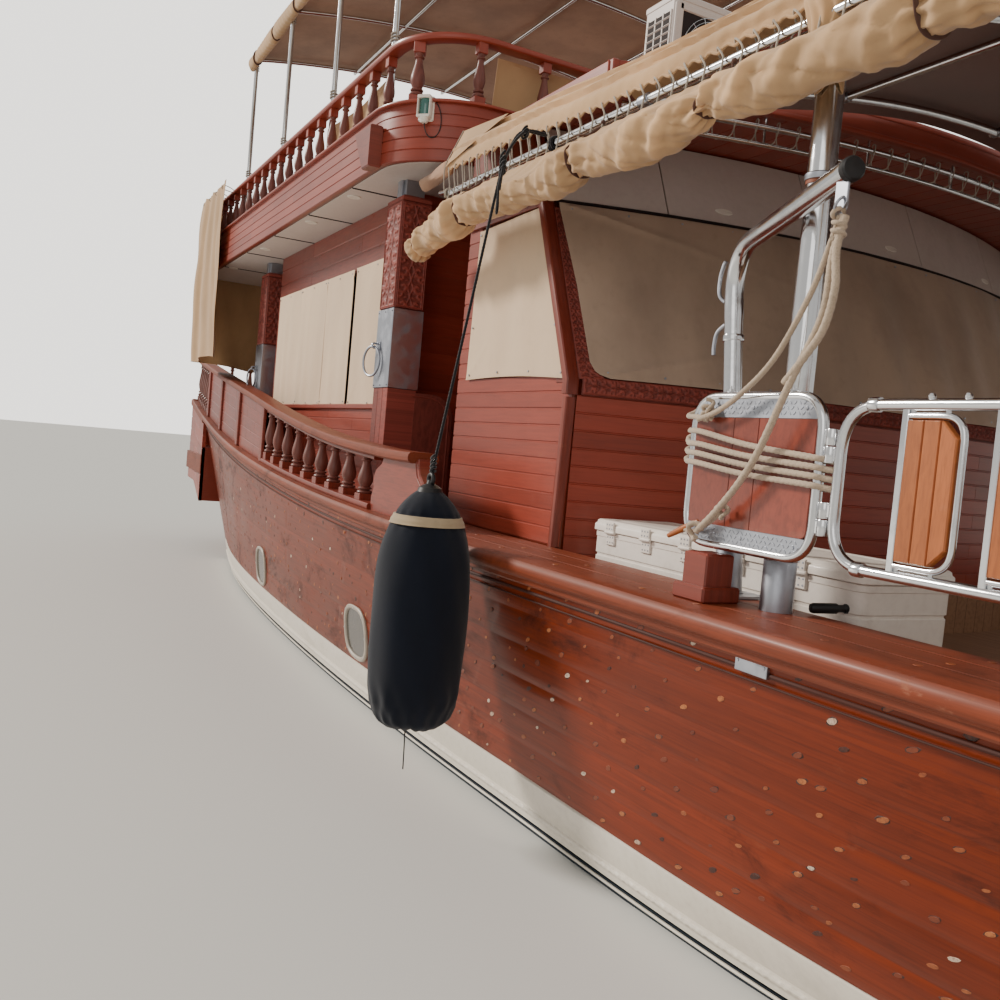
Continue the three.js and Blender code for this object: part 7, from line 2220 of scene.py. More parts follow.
class DHOW_OT_top_awning(bpy.types.Operator):
    """Upper deck awning: poles with feet, hoops, canvas sagging between them with a rolled side"""
    bl_idname = "dhow.top_awning"
    bl_label = "Upper deck awning"

    def execute(self, context):
        poles, collars, ties = [], [], []
        s = np.linspace(-1, 1, 48)
        for name, side in SIDES:
            y = side * TOP_Y
            for x in TOP_POLES:
                poles.append(tube([(x, y, 4.213), (x, y, TOP_Z - 0.01)], 0.024, 18))
                collars.append(lathe([(0.023, 0.0), (0.065, 0.0), (0.065, 0.008), (0.034, 0.012),
                                      (0.030, 0.05), (0.024, 0.055)], (x, y, 4.2125), sides=24))
                collars.append(pipe_tee((x, y, TOP_Z), AHEAD, 0.024))
                ties.append(
                    tube(smooth([(x + 0.028, y, 4.9), (x + 0.030, y + side * 0.01, 5.4),
                                 (x + 0.029, y, 6.15)], 0.06), 0.006, 6))
                t = np.linspace(0, 2 * np.pi * 3, 42)
                for z in (4.88, 6.14):
                    ties.append(
                        tube(stacked(x + 0.031 * np.cos(t), y + 0.031 * np.sin(t), z + 0.004 * t),
                             0.006, 6))
            poles.append(tube([(-6.42, y, TOP_Z), (-6.416, y, TOP_Z), (-1.004, y, TOP_Z),
                               (-1.0, y, TOP_Z)], [0.018, 0.024, 0.024, 0.018], 18, UP))
        for x in TOP_POLES:
            poles.append(tube(stacked(x, s * TOP_Y, top_z(s * TOP_Y)), 0.021, 14, AHEAD))
        for y in (-1.2, 0.0, 1.2):
            poles.append(tube([(-6.4, y, top_z(y)), (-1.05, y, top_z(y))], 0.018, 12))
        piece("top_pipes", merge(poles), "steel", replaces="top_awning_frame")
        piece("top_collars", merge(collars), "dull_steel")
        piece("top_pole_cords", merge(ties), "cord")

        u, v = grid(np.linspace(0, 1, 120), np.linspace(-1, 1, 66))

        def roof(out):
            y = v * TOP_Y
            x = mix(-6.455, -0.955, u)
            phase = np.interp(x, [-6.455, *TOP_POLES, -0.955], [0, 0.08, 1, 2, 3, 3.7])
            sag = 0.030 * np.sin(np.pi * phase) ** 2 * (1 - 0.3 * v**2)
            return stacked(x, y, top_z(y) + 0.047 - sag * 0.6 + 0.004 * waves(x * 3, y * 2, 21, 7,
                1.7) + out)

        top = piece("top_awning", slab(roof(0.003), roof(0.0), 0.5 + 0.2 * waves(u * 6, v * 3, 12)),
                    "canvas", replaces="top_awning")
        lining = piece("top_awning_lining",
                       slab(roof(-0.001), roof(-0.003), 0.5 + 0.2 * waves(u * 6, v * 3, 13)),
                       "lining")
        for name, side in SIDES:
            x = np.arange(-6.40, -1.0, 0.02)[:, None]
            a = circle(34)[None]
            near = sum(np.exp(-(((x - k) / 0.05) ** 2)) for k in np.arange(-6.1, -1.0, 0.85))
            r = 0.062 - 0.018 * near + 0.010 * np.abs(np.sin(x * 34 + 1.6 * np.cos(a - 0.6)
                + np.sin(x * 5))) + 0.006 * np.sin(x * 3.3)
            r = r * np.sqrt(np.clip(np.minimum(x + 6.41, -0.985 - x) / 0.05, 0.02, 1))
            made = loft(stacked(x, side * (2.475 + r * np.sin(a) * 0.8), TOP_Z - 0.045 + r
                                * np.cos(a) * 1.25), 0.5)
            roll = piece("top_side_roll_" + name, made, "canvas", sharp=60)
            straps = []
            for k in np.arange(-6.1, -1.0, 0.85):
                t = circle(40)
                ring = stacked(k, side * (2.475 + 0.058 * np.sin(t) * 0.85), TOP_Z - 0.045 + 0.062
                               * np.cos(t) * 1.28)
                straps.append(carry(ring, rounded_bar(0.02, 0.005, 0.0015), AHEAD, closed=True))
            piece("top_side_straps_" + name, merge(straps), "brown_canvas")
        return {"FINISHED"}


class DHOW_OT_aft_drape(bpy.types.Operator):
    """Heavy canvas hung in deep folds round the aft end of the upper deck, tied to its rail"""
    bl_idname = "dhow.aft_drape"
    bl_label = "Aft drape"

    def execute(self, context):
        way = bent([(-6.155, -2.715, 0), (-7.785, -2.715, 0), (-7.785, 2.715, 0),
                    (-6.155, 2.715, 0)], 0.30, False, 16)
        line = resample(way, 0.02)
        n = len(line)
        tangent = unit(np.gradient(line, axis=0))
        normal = stacked(tangent[:, 1], -tangent[:, 0], np.zeros(n))
        if (normal[0] * (0, -1, 0)).sum() < 0:
            normal = -normal
        s = np.linspace(0, n * 0.02, n)[:, None]
        b = np.linspace(0, 1, 64)[None]

        def cloth(out):
            lean = s + 0.26 * np.sin(b * 1.8 + s * 0.7) + 0.12 * waves(s * 1.2, b * 2.0, 33, 6, 1.2)
            amount = np.clip(0.6 + 0.7 * waves(s * 0.9, b * 0.7, 35, 6, 1.0), 0.12, 1.3)
            fold = np.sin(lean * 2 * np.pi / 0.72) * amount + 0.32 * np.sin(lean * 2 * np.pi / 0.29
                + 1.4 * np.sin(s * 1.7)) * (1.1 - 0.6 * b)
            swell = 0.034 * np.sin(np.pi * b) * np.sin(s * 0.9 + 0.4)
            depth = 0.056 * (0.4 + 0.6 * b**0.6) * fold + swell + 0.010 * waves(s * 3, b * 6, 61, 7,
                1.7)
            hem = 0.055 * np.abs(np.sin(s * 1.15 + 0.5)) + 0.02 * np.sin(s * 4.1)
            z = mix(2.665 + hem, 4.775 - 0.022 * np.abs(np.sin(s * np.pi / 0.40)), 1 - b)
            depth = 0.009 + 0.072 * np.tanh((depth - 0.009) / 0.072) + out
            return stacked(line[:, 0:1] + normal[:, 0:1] * depth, line[:, 1:2] + normal[:, 1:2]
                           * depth, z)

        made = piece("aft_drape", slab(cloth(0.003), cloth(0.0), 0.5 + 0.2 * waves(s, b * 3, 3)),
                     "canvas", replaces="aft_drape", sharp=60)
        ties = []
        for p, q in zip(line[10::19], normal[10::19]):
            a = p + q * 0.012 + (0, 0, 4.735)
            c = p - q * 0.125 + (0, 0, 4.715)
            ties.append(
                tube(smooth([a, a - q * 0.05 + (0, 0, 0.012), c, c + (0, 0, -0.03),
                             a + (0, 0, -0.03), a + (0, 0, -0.004)], 0.015), 0.005, 6))
        piece("aft_drape_ties", merge(ties), "cord")
        hem = cloth(0.0015)[:, -1]
        piece("aft_drape_hem", tube(hem, 0.007, 8, UP), "canvas")
        return {"FINISHED"}


class DHOW_OT_lights(bpy.types.Operator):
    """Side lights with their housings and cables; the cooling unit on the front roof"""
    bl_idname = "dhow.lights"
    bl_label = "Side lights and cooling unit"

    def execute(self, context):
        for (name, side), glass in zip(SIDES, ("green", "red")):
            turn = turn_about(UP, side * math.pi / 4)
            centre = np.array([-1.12, side * 2.02, 0])

            def rounded_box(x0, x1, half, z0, z1, corner):
                rows = bent([(0, -half, z0), (0, half, z0), (0, half, z1), (0, -half, z1)], corner,
                            True, 6)
                e = min(corner, (x1 - x0) / 3) * 0.5
                rings = []
                for x, shrink in ((x0, 0.9), (x0 + e, 1.0), (x1 - e, 1.0), (x1, 0.92)):
                    middle = np.array([0, 0, (z0 + z1) / 2])
                    ring = middle + (rows - middle) * shrink
                    ring[:, 0] = x
                    rings.append(ring)
                return loft(rings)

            def set_down(shape):
                return shape.moved(turn=turn).moved(by=centre)

            r = 0.6225
            back = rounded_box(r, r + 0.018, 0.056, 4.080, 4.248, 0.016)
            roof_cap = rounded_box(r + 0.012, r + 0.078, 0.046, 4.221, 4.242, 0.006)
            floor_cap = rounded_box(r + 0.012, r + 0.078, 0.046, 4.093, 4.112, 0.006)
            cheek = [rounded_box(r + 0.012, r + 0.074, 0.0035, 4.10, 4.232,
                                 0.002).moved(by=(0, k * 0.0435, 0)) for k in (-1, 1)]
            foot = lathe([(0.0, -0.026), (0.022, -0.026), (0.028, -0.018), (0.036, 0.0),
                          (0.036, 0.006)], (r + 0.044, 0, 4.088), sides=20)
            piece("sidelight_housing_" + name,
                  set_down(merge(back, roof_cap, floor_cap, cheek, foot)), "plastic", sharp=40)
            lens_row = [(0, -0.040, 0)] + [(0.030 * math.cos(t), 0.040 * math.sin(t), 0)
                                           for t in np.linspace(-1.45, 1.45, 12)] + [(0, 0.040, 0)]
            rings = [np.array([(r + 0.038 + p[0] * k, p[1] * k, z) for p in lens_row])
                     for z, k in ((4.109, 0.96), (4.113, 1.0), (4.219, 1.0), (4.223, 0.96))]
            piece("sidelight_lens_" + name, set_down(loft(rings)), glass, replaces="sidelight_"
                  + name, sharp=50)
            screws = np.array([(r + 0.018, k * 0.049, z) for k in (-1, 1) for z in (4.088, 4.240)])
            piece("sidelight_screws_" + name,
                  set_down(discs(screws, ABEAM, UP, 0.004, 0.001, sides=8)), "dull_steel")
            loop = np.array([(r + 0.040, 0.004, 4.066), (r + 0.040, 0.005, 4.04),
                             (r + 0.030, 0.020, 3.995), (r + 0.020, 0.050, 3.972),
                             (r + 0.012, 0.085, 3.985), (r + 0.010, 0.108, 4.03),
                             (r + 0.010, 0.112, 4.09), (r + 0.011, 0.100, 4.15),
                             (r + 0.012, 0.080, 4.19), (r + 0.008, 0.058, 4.215)])
            loop[:, 1] *= -side
            path = smooth(loop, 0.006) @ turn.T + centre
            made = piece("sidelight_cable_" + name, tube(path, 0.0035, 8), "black")
            "sidelight_housing_" + name

        x0, x1, y0, y1, z0, z1 = 0.64, 0.96, -1.65, -0.85, 3.985, 4.60
        parts = [block(x0 + 0.004, x1 - 0.022, y0 + 0.004, y1 - 0.004, z0 + 0.03, z1 - 0.012,
                       0.018), block(x0, x1 - 0.018, y0, y1, z1 - 0.055, z1, 0.014)]
        for y in (y0 + 0.12, y1 - 0.12):
            parts.append(block(x0 + 0.02, x1 - 0.04, y - 0.03, y + 0.03, z0 - 0.001, z0 + 0.035,
                               0.006))
        parts.append(block(x1 - 0.03, x1 - 0.012, y0 + 0.004, y0 + 0.06, z0 + 0.035, z1 - 0.06,
                           0.006))
        parts.append(block(x1 - 0.03, x1 - 0.012, y1 - 0.26, y1 - 0.004, z0 + 0.035, z1 - 0.06,
                           0.006))
        for z in (z0 + 0.035, z1 - 0.10):
            parts.append(block(x1 - 0.03, x1 - 0.012, y0 + 0.03, y1 - 0.22, z, z + 0.04, 0.006))
        piece("cooling_unit", merge(parts), "panel", replaces="air_conditioner")
        # Dark plates behind the louvres and the fan guard: painted shade of the unit's inside.
        louvres, dark = [], [block(x0 + 0.04, x1 - 0.05, y0 - 0.0005, y0 + 0.02, z0 + 0.10,
                                   z1 - 0.10, 0.003),
                             block(x1 - 0.026, x1 - 0.020, y0 + 0.04, y1 - 0.25, z0 + 0.06,
                                   z1 - 0.09, 0.002)]
        for k, z in enumerate(np.linspace(z0 + 0.13, z1 - 0.14, 9)):
            slat = block(x0 + 0.045, x1 - 0.055, -0.012, 0.012, -0.003, 0.003,
                         0.001).moved(turn=turn_about(AHEAD, -0.7)).moved(by=(0, y0 + 0.003, z))
            louvres.append(slat)
        for a in np.linspace(x0 + 0.045, x1 - 0.055, 4):
            louvres.append(block(a - 0.006, a + 0.006, y0 - 0.004, y0 + 0.012, z0 + 0.095,
                                 z1 - 0.095, 0.002))
        piece("cooling_unit_painted_shade", merge(dark), "dark")
        piece("cooling_unit_louvres", merge(louvres), "panel")
        wires = []
        c = np.array([x1 - 0.010, (y0 + 0.04 + y1 - 0.25) / 2, (z0 + z1) / 2 - 0.01])
        for radius in np.arange(0.03, 0.235, 0.022):
            t = circle(40)
            wires.append(tube(stacked(c[0], c[1] + radius * np.cos(t), c[2] + radius * np.sin(t)),
                              0.002, 6, AHEAD, True))
        for t in circle(16):
            way = np.array([0, math.cos(t), math.sin(t)])
            wires.append(tube([c + way * 0.03, c + way * 0.232], 0.0018, 6))
        piece("cooling_unit_guard", merge(wires), "steel")
        fan = [lathe([(0.0, -0.012), (0.04, -0.010), (0.04, 0.006), (0.0, 0.010)],
                     c - (0.006, 0, 0), AHEAD, 20)]
        piece("cooling_unit_hub", merge(fan), "black")
        return {"FINISHED"}


class DHOW_OT_rig(bpy.types.Operator):
    """Mast with bands and truck, wire stays and turnbuckles, lashed two-part yard, furled sail"""
    bl_idname = "dhow.rig"
    bl_label = "Mast and yard"

    def execute(self, context):
        x = 5.8
        low, top = 0.985, 9.60

        def thick(height):
            return mix(0.140, 0.095, (height - low) / (top - low))

        z = np.linspace(low, top, 90)
        r = thick(z)
        a = circle(40)
        made = loft(stacked(x + r[:, None] * np.cos(a), r[:, None] * np.sin(a), z[:, None]))
        made.uv = stacked(made.v[:, 2], np.arctan2(made.v[:, 1], made.v[:, 0] - x) * 0.13)
        step = lathe([(0.13, 0.0), (0.208, 0.0), (0.210, 0.006), (0.210, 0.22), (0.19, 0.255),
                      (0.13, 0.258)], (x, 0, low), sides=40)
        truck = lathe([(0.09, 0.0), (0.120, 0.002), (0.124, 0.015), (0.118, 0.06), (0.095, 0.075),
                       (0.098, 0.10), (0.085, 0.135), (0.05, 0.156), (0.0, 0.16)],
                      (x, 0, top - 0.012), sides=36)
        cheek = lathe([(0.10, 0.0), (0.150, 0.004), (0.163, 0.03), (0.163, 0.075), (0.10, 0.083)],
                      (x, 0, 7.342), sides=36)
        piece("mast", merge(made, step, truck, cheek), "spar", replaces="mast")
        bands = [
            lathe([(thick(h) + out, rise) for out, rise in ((-0.002, -0.03), (0.006, -0.03),
                (0.006, 0.03), (-0.002, 0.03))], (x, 0, h), sides=36)
            for h in (1.75, 3.2, 5.0, 6.6, 8.6)]
        piece("mast_bands", merge(bands), "dull_steel")
        stay_z = 9.35
        parts, wires, screws = [
            lathe([(0.101, -0.04), (0.125, -0.04), (0.129, -0.03), (0.129, 0.03), (0.125, 0.04),
                   (0.101, 0.04)], (x, 0, stay_z), sides=36)], [], []
        for _, side in SIDES:
            for fx, fy in ((5.45, 2.33), (6.75, 2.15)):
                head = np.array([x, side * 0.118, stay_z])
                foot = np.array([fx, side * fy, sheer(fx) + 0.06])
                way = unit(head - foot)
                plate_low = sheer(fx)
                parts.append(lathe([(0.0, 0.0), (0.030, 0.0), (0.030, 0.006), (0.018, 0.012),
                                    (0.014, 0.05), (0.012, 0.082), (0.0, 0.088)],
                                   (fx, side * fy, plate_low + 0.0005), sides=20))
                wires.append(rope([foot + way * 0.42, mix(foot, head, 0.5), head - way * 0.02],
                                  0.020, 3, 12.0, 8, step=0.9))
                screws.append(tube([foot - way * 0.01, foot + way * 0.09], 0.008, 10))
                screws.append(lathe([(0.007, 0.0), (0.011, 0.002), (0.011, 0.02), (0.0075, 0.03),
                                     (0.0075, 0.19), (0.011, 0.20), (0.011, 0.218), (0.007, 0.22)],
                                    foot + way * 0.08, way, 12))
                screws.append(tube([foot + way * 0.29, foot + way * 0.45], 0.007, 10))
                screws.append(lathe([(0.0, 0.0), (0.0105, 0.002), (0.0105, 0.05), (0.0, 0.06)],
                                    foot + way * 0.38, way, 12))
        piece("stay_fittings", merge(parts, screws), "dull_steel", replaces="mast_stays")
        piece("stay_wires", merge(wires), "steel", sharp=60)

        def at(t, drop=0.0):
            px = mix(10.3, -1.4, t)
            return stacked(px, -0.3, 7.5 + (5.8 - px) * 0.55 - drop)

        hang = (5.8 - 10.3) / (-1.4 - 10.3)
        t = np.linspace(0, 1, 140)
        rad = np.where(t < hang, mix(0.060, 0.095, t / hang),
                       mix(0.095, 0.045, (t - hang) / (1 - hang)))
        rad = rad * np.sqrt(np.clip(np.minimum(t, 1 - t) / 0.004, 0.15, 1))
        line = at(t)
        spar = tube(line, rad - 0.001, 28, ABEAM)
        spar.uv = spar.v[:, [0, 2]] * (1, 0.2)
        way = unit(at(np.array([1.0]))[0] - at(np.array([0.0]))[0])
        ring = tube([(x + 0.172 * math.cos(k), 0.172 * math.sin(k), 7.5 + 0.012 * math.sin(k * 2))
                     for k in circle(40)], 0.017, 12, UP, True)
        saddle = block(x - 0.055, x + 0.055, -0.30, -0.172, 7.455, 7.545, 0.012)
        piece("yard", merge(spar, saddle), "spar", "yard_and_sail", replaces="yard")
        beads = [lathe([(0.0, -0.022), (0.018, -0.019), (0.026, -0.008), (0.026, 0.008),
                        (0.018, 0.019), (0.0, 0.022)],
                       (x + 0.158 * math.cos(k), 0.158 * math.sin(k), 7.5 + dz),
                       (-math.sin(k), math.cos(k), 0), 14) for dz in (-0.035, 0.035)
                 for k in np.linspace(-1.25, 4.4, 15)]
        piece("parrel_beads", merge(beads), "joinery", "yard_and_sail")
        lash = []
        for c in (0.30, 0.335, 0.37, 0.405, 0.44):
            n = 5
            k = np.linspace(0, 2 * np.pi * n, 26 * n)
            rr = float(np.interp(c, t, rad)) + 0.004
            up = np.cross(way, ABEAM)
            lash.append(tube(at(np.array([c]))[0] + np.outer(np.cos(k), (0, rr, 0))
                             + np.outer(np.sin(k), up * rr)
                             + np.outer((k / (2 * np.pi) - n / 2) * 0.014, way), 0.0065, 8))
        piece("yard_lashings", merge(lash, ring), "hemp", "yard_and_sail", sharp=60)

        u = np.linspace(0.04, 0.93, 420)
        drop = np.interp(u, [0.04, 0.45, 0.93], [0.190, 0.262, 0.205])
        rad_sail = np.interp(u, [0.04, 0.45, 0.93], [0.080, 0.125, 0.070])
        ties = (0.08, 0.12, 0.18, 0.24, 0.30, 0.36, 0.48, 0.54, 0.60, 0.66, 0.72, 0.78, 0.84, 0.89)
        near = sum(np.exp(-(((u - k) / 0.0045) ** 2)) for k in ties)
        k = circle(48)[None]
        length = u[:, None] * 13.4
        fold = np.abs(np.sin(3.5 * k + 0.9 * np.sin(length * 1.3) + length
                             * 0.7)) ** 0.8 * 0.6 + np.abs(np.sin(7 * k - length * 1.1)) * 0.4
        rr = rad_sail[:, None] * (0.86 - 0.20 * near[:, None]) + (0.012 + 0.010
            * np.sin(length * 0.9)) * fold
        rr = rr * np.sqrt(np.clip(np.minimum(u - 0.0395, 0.9305 - u) / 0.012, 0.01, 1))[:, None]
        up = np.cross(way, ABEAM)
        up = up * np.sign(up[2])
        centre = at(u, drop)
        # Tone follows the folds: painted shade in the creases of the furled sail, lighter where it
        # bulges.
        made = loft(centre[:, None] + rr[:, :, None]
                    * (np.cos(k)[..., None] * up + np.sin(k)[..., None] * np.array([0, 1.0, 0])),
                    0.3 + 0.5 * fold)
        sail = piece("furled_sail", made, "sail", "yard_and_sail", replaces="furled_sail", sharp=60)
        gaskets = []
        for c in ties:
            q = circle(36)
            r_sail = float(np.interp(c, u, rad_sail)) * 0.80
            r_yard = float(np.interp(c, t, rad))
            d = float(np.interp(c, u, drop))
            up_reach = r_yard + 0.006
            low_reach = d + r_sail + 0.002
            half_low, half_up = r_sail + 0.006, r_yard + 0.006
            h = np.cos(q)
            lift = np.where(h > 0, up_reach * h, low_reach * h)
            half = np.where(h > 0, half_up,
                            np.interp(-h, [0, d / low_reach, 1],
                                      [half_up, half_low * 1.15, half_low]))
            for shift in (-0.02, 0.0, 0.02):
                p = at(np.full(36, c)) + np.outer(lift, up) + np.outer(half * np.sin(q),
                    ABEAM) + way * shift
                gaskets.append(tube(p, 0.0075, 6, way, True))
        piece("sail_gaskets", merge(gaskets), "hemp", "yard_and_sail")
        return {"FINISHED"}


class DHOW_OT_under_water(bpy.types.Operator):
    """Rudder with a faired blade on its stock; four-bladed propeller and shaft hub"""
    bl_idname = "dhow.under_water"
    bl_label = "Rudder and propeller"

    def execute(self, context):
        z = np.linspace(-1.466, -0.364, 30)
        fore = -7.942
        aft = np.interp(z, [-1.47, -1.40, -0.36], [-8.72, -8.838, -8.718])
        s = np.linspace(0, np.pi, 26)[None]
        share = (1 - np.cos(s)) / 2
        half = 0.038 * (1.25 * np.sqrt(np.clip(share, 0, 1)) * (1 - share) ** 0.55 + 0.12
                        * (1 - share))
        half = np.minimum(half, 0.0385)
        ring_x = fore + (aft - fore)[:, None] * share
        port = stacked(ring_x, half, z[:, None])
        star = port[:, -2:0:-1] * (1, -1, 1)
        blade = loft(np.concatenate([port, star], 1), 0.5)
        stock = lathe([(0.0, 0.002), (0.048, 0.004), (0.053, 0.012), (0.053, 1.15), (0.048, 1.163),
                       (0.0, 1.163)], (-8.08, 0, -1.497), sides=32)
        piece("rudder", merge(blade, stock), "bronze", "rudder", replaces="rudder")
        straps = []
        for h in (-1.25, -0.9, -0.55):
            straps.append(block(-8.42, -8.02, -0.0405, 0.0405, h - 0.03, h + 0.03, 0.005))
        piece("rudder_straps", merge(straps), "dull_steel", "rudder")
        hub = lathe([(0.0, 0.0), (0.072, 0.002), (0.079, 0.012), (0.076, 0.10), (0.062, 0.17),
                     (0.040, 0.205), (0.0, 0.216)], (-7.4435, 0, -0.85), (-1, 0, 0), 40)
        blades = []
        for turn in range(4):
            a = turn * math.pi / 2
            u, v = grid(np.linspace(0, 1, 24), np.linspace(-0.5, 0.5, 17))
            r = mix(0.05, 0.418, u)
            wide = (0.150 * np.sin(np.pi * np.clip(r / 0.42, 0.15, 0.9)) + 0.036) * np.sqrt(
                np.clip(1 - u**8, 0.03, 1))
            pitch = np.arctan2(0.26, r)

            def face(sign):
                thick = sign * 0.0085 * np.sqrt(np.clip(1 - (2 * v) ** 2, 0.02, 1)) * (1 - 0.55 * u)
                s = v * wide
                px = -7.55 + s * np.sin(pitch) + thick * np.cos(pitch)
                w = s * np.cos(pitch) - thick * np.sin(pitch)
                return stacked(px, r * math.sin(a) + w * math.cos(a), -0.85 + r * math.cos(a) - w
                               * math.sin(a))

            blades.append(slab(face(1), face(-1), 0.5))
        piece("propeller", merge(hub, blades), "bronze", "propeller", replaces="propeller")
        return {"FINISHED"}


# Lower and upper edge of the gallery's window panels
LIGHTS = (1.16, 1.44)


class DHOW_OT_stern(bpy.types.Operator):
    """Stern gallery: planked body, moulded rails, turned balusters and windows across the stern"""
    bl_idname = "dhow.stern"
    bl_label = "Stern gallery"

    def execute(self, context):
        aft, fore, low, top = -10.95, -8.9015, 1.0, GALLERY
        xs = np.linspace(aft, fore, 24)
        half = rail_half(xs) + 0.020

        def bottom(x):
            return np.interp(x, [aft, -9.9, fore], [low, low, low - 0.24])

        rings = np.stack([stacked(xs, way * half, level)
                          for way, level in ((-1, bottom(xs) + 0.004), (1, bottom(xs) + 0.004),
                                             (1, top), (-1, top))], 1)
        rings[0, :, 0] += 0.012
        piece("stern_body", loft(rings, 0.5), "joinery", replaces="stern_gallery")
        made = []
        for _, side in SIDES:
            def wall(s, share, out):
                return stacked(s, side * (rail_half(s) + 0.026 + out),
                               mix(bottom(s), sheer(s) - 0.10, share))

            made.append(boarding(wall, np.linspace(aft + 0.002, fore, 26), 0, 1, 6, 5, 0.005, 0.05,
                                 (-10.2, -9.5)))

        def transom_place(s, share, out):
            return stacked(aft + 0.004 - out, s, mix(low, sheer(aft) - 0.10, share))

        half_aft = rail_half(aft) + 0.02
        made.append(boarding(transom_place, np.linspace(-half_aft, half_aft, 30), 0, 1, 6, 9, 0.005,
                             0.05, (-1.4, -0.3, 0.9)))
        piece("stern_boards", merge(made), "house")
        rails, turned_parts = [], []
        xs = np.linspace(aft, fore, 30)
        for _, side in SIDES:
            rails.append(along(xs, side, rounded_bar(0.21, 0.11, 0.02, (0.055, -0.065))))
            rails.append(along(xs, side, rounded_bar(0.07, 0.09, 0.012, (0.075, -0.055)),
                               bulwark_rail))
            rails.append(along(xs, side, rounded_bar(0.20, 0.07, 0.02, (0.085, -0.035)),
                               bulwark_rail))
            for x in np.linspace(-10.8, -9.05, 8):
                y = side * (rail_half(x) - 0.085)
                turned_parts += baluster(x, y, sheer(x) - 0.01, bulwark_rail(x) - 0.06, 0.05, 0.12,
                                         0.06)
            for x in np.linspace(-10.75, -9.1, 4):
                y = side * (rail_half(x) + 0.034)
                rails.append(stub(x, y, 0.19, 0.012, *LIGHTS, 0.006, 0.3))
        poop, rail = sheer(aft), bulwark_rail(aft)
        half = rail_half(aft)
        rails.append(
            carry([(aft + 0.055, -half - 0.03, poop - 0.065),
                   (aft + 0.055, half + 0.03, poop - 0.065)], rounded_bar(0.20, 0.11, 0.02), UP))
        rails.append(carry([(aft + 0.085, -half, rail - 0.035), (aft + 0.085, half, rail - 0.035)],
                           rounded_bar(0.20, 0.07, 0.02), UP))
        for y in np.linspace(-half + 0.26, half - 0.26, 13):
            turned_parts += baluster(aft + 0.085, y, poop - 0.01, rail - 0.06, 0.05, 0.12, 0.06)
        for y in np.linspace(-half + 0.45, half - 0.45, 5):
            rails.append(block(aft - 0.008, aft + 0.02, y - 0.17, y + 0.17, *LIGHTS, 0.006, 0.3))
        piece("stern_rails", merge(rails), "rail")
        piece("stern_balusters", merge(turned_parts), "turned")
        return {"FINISHED"}


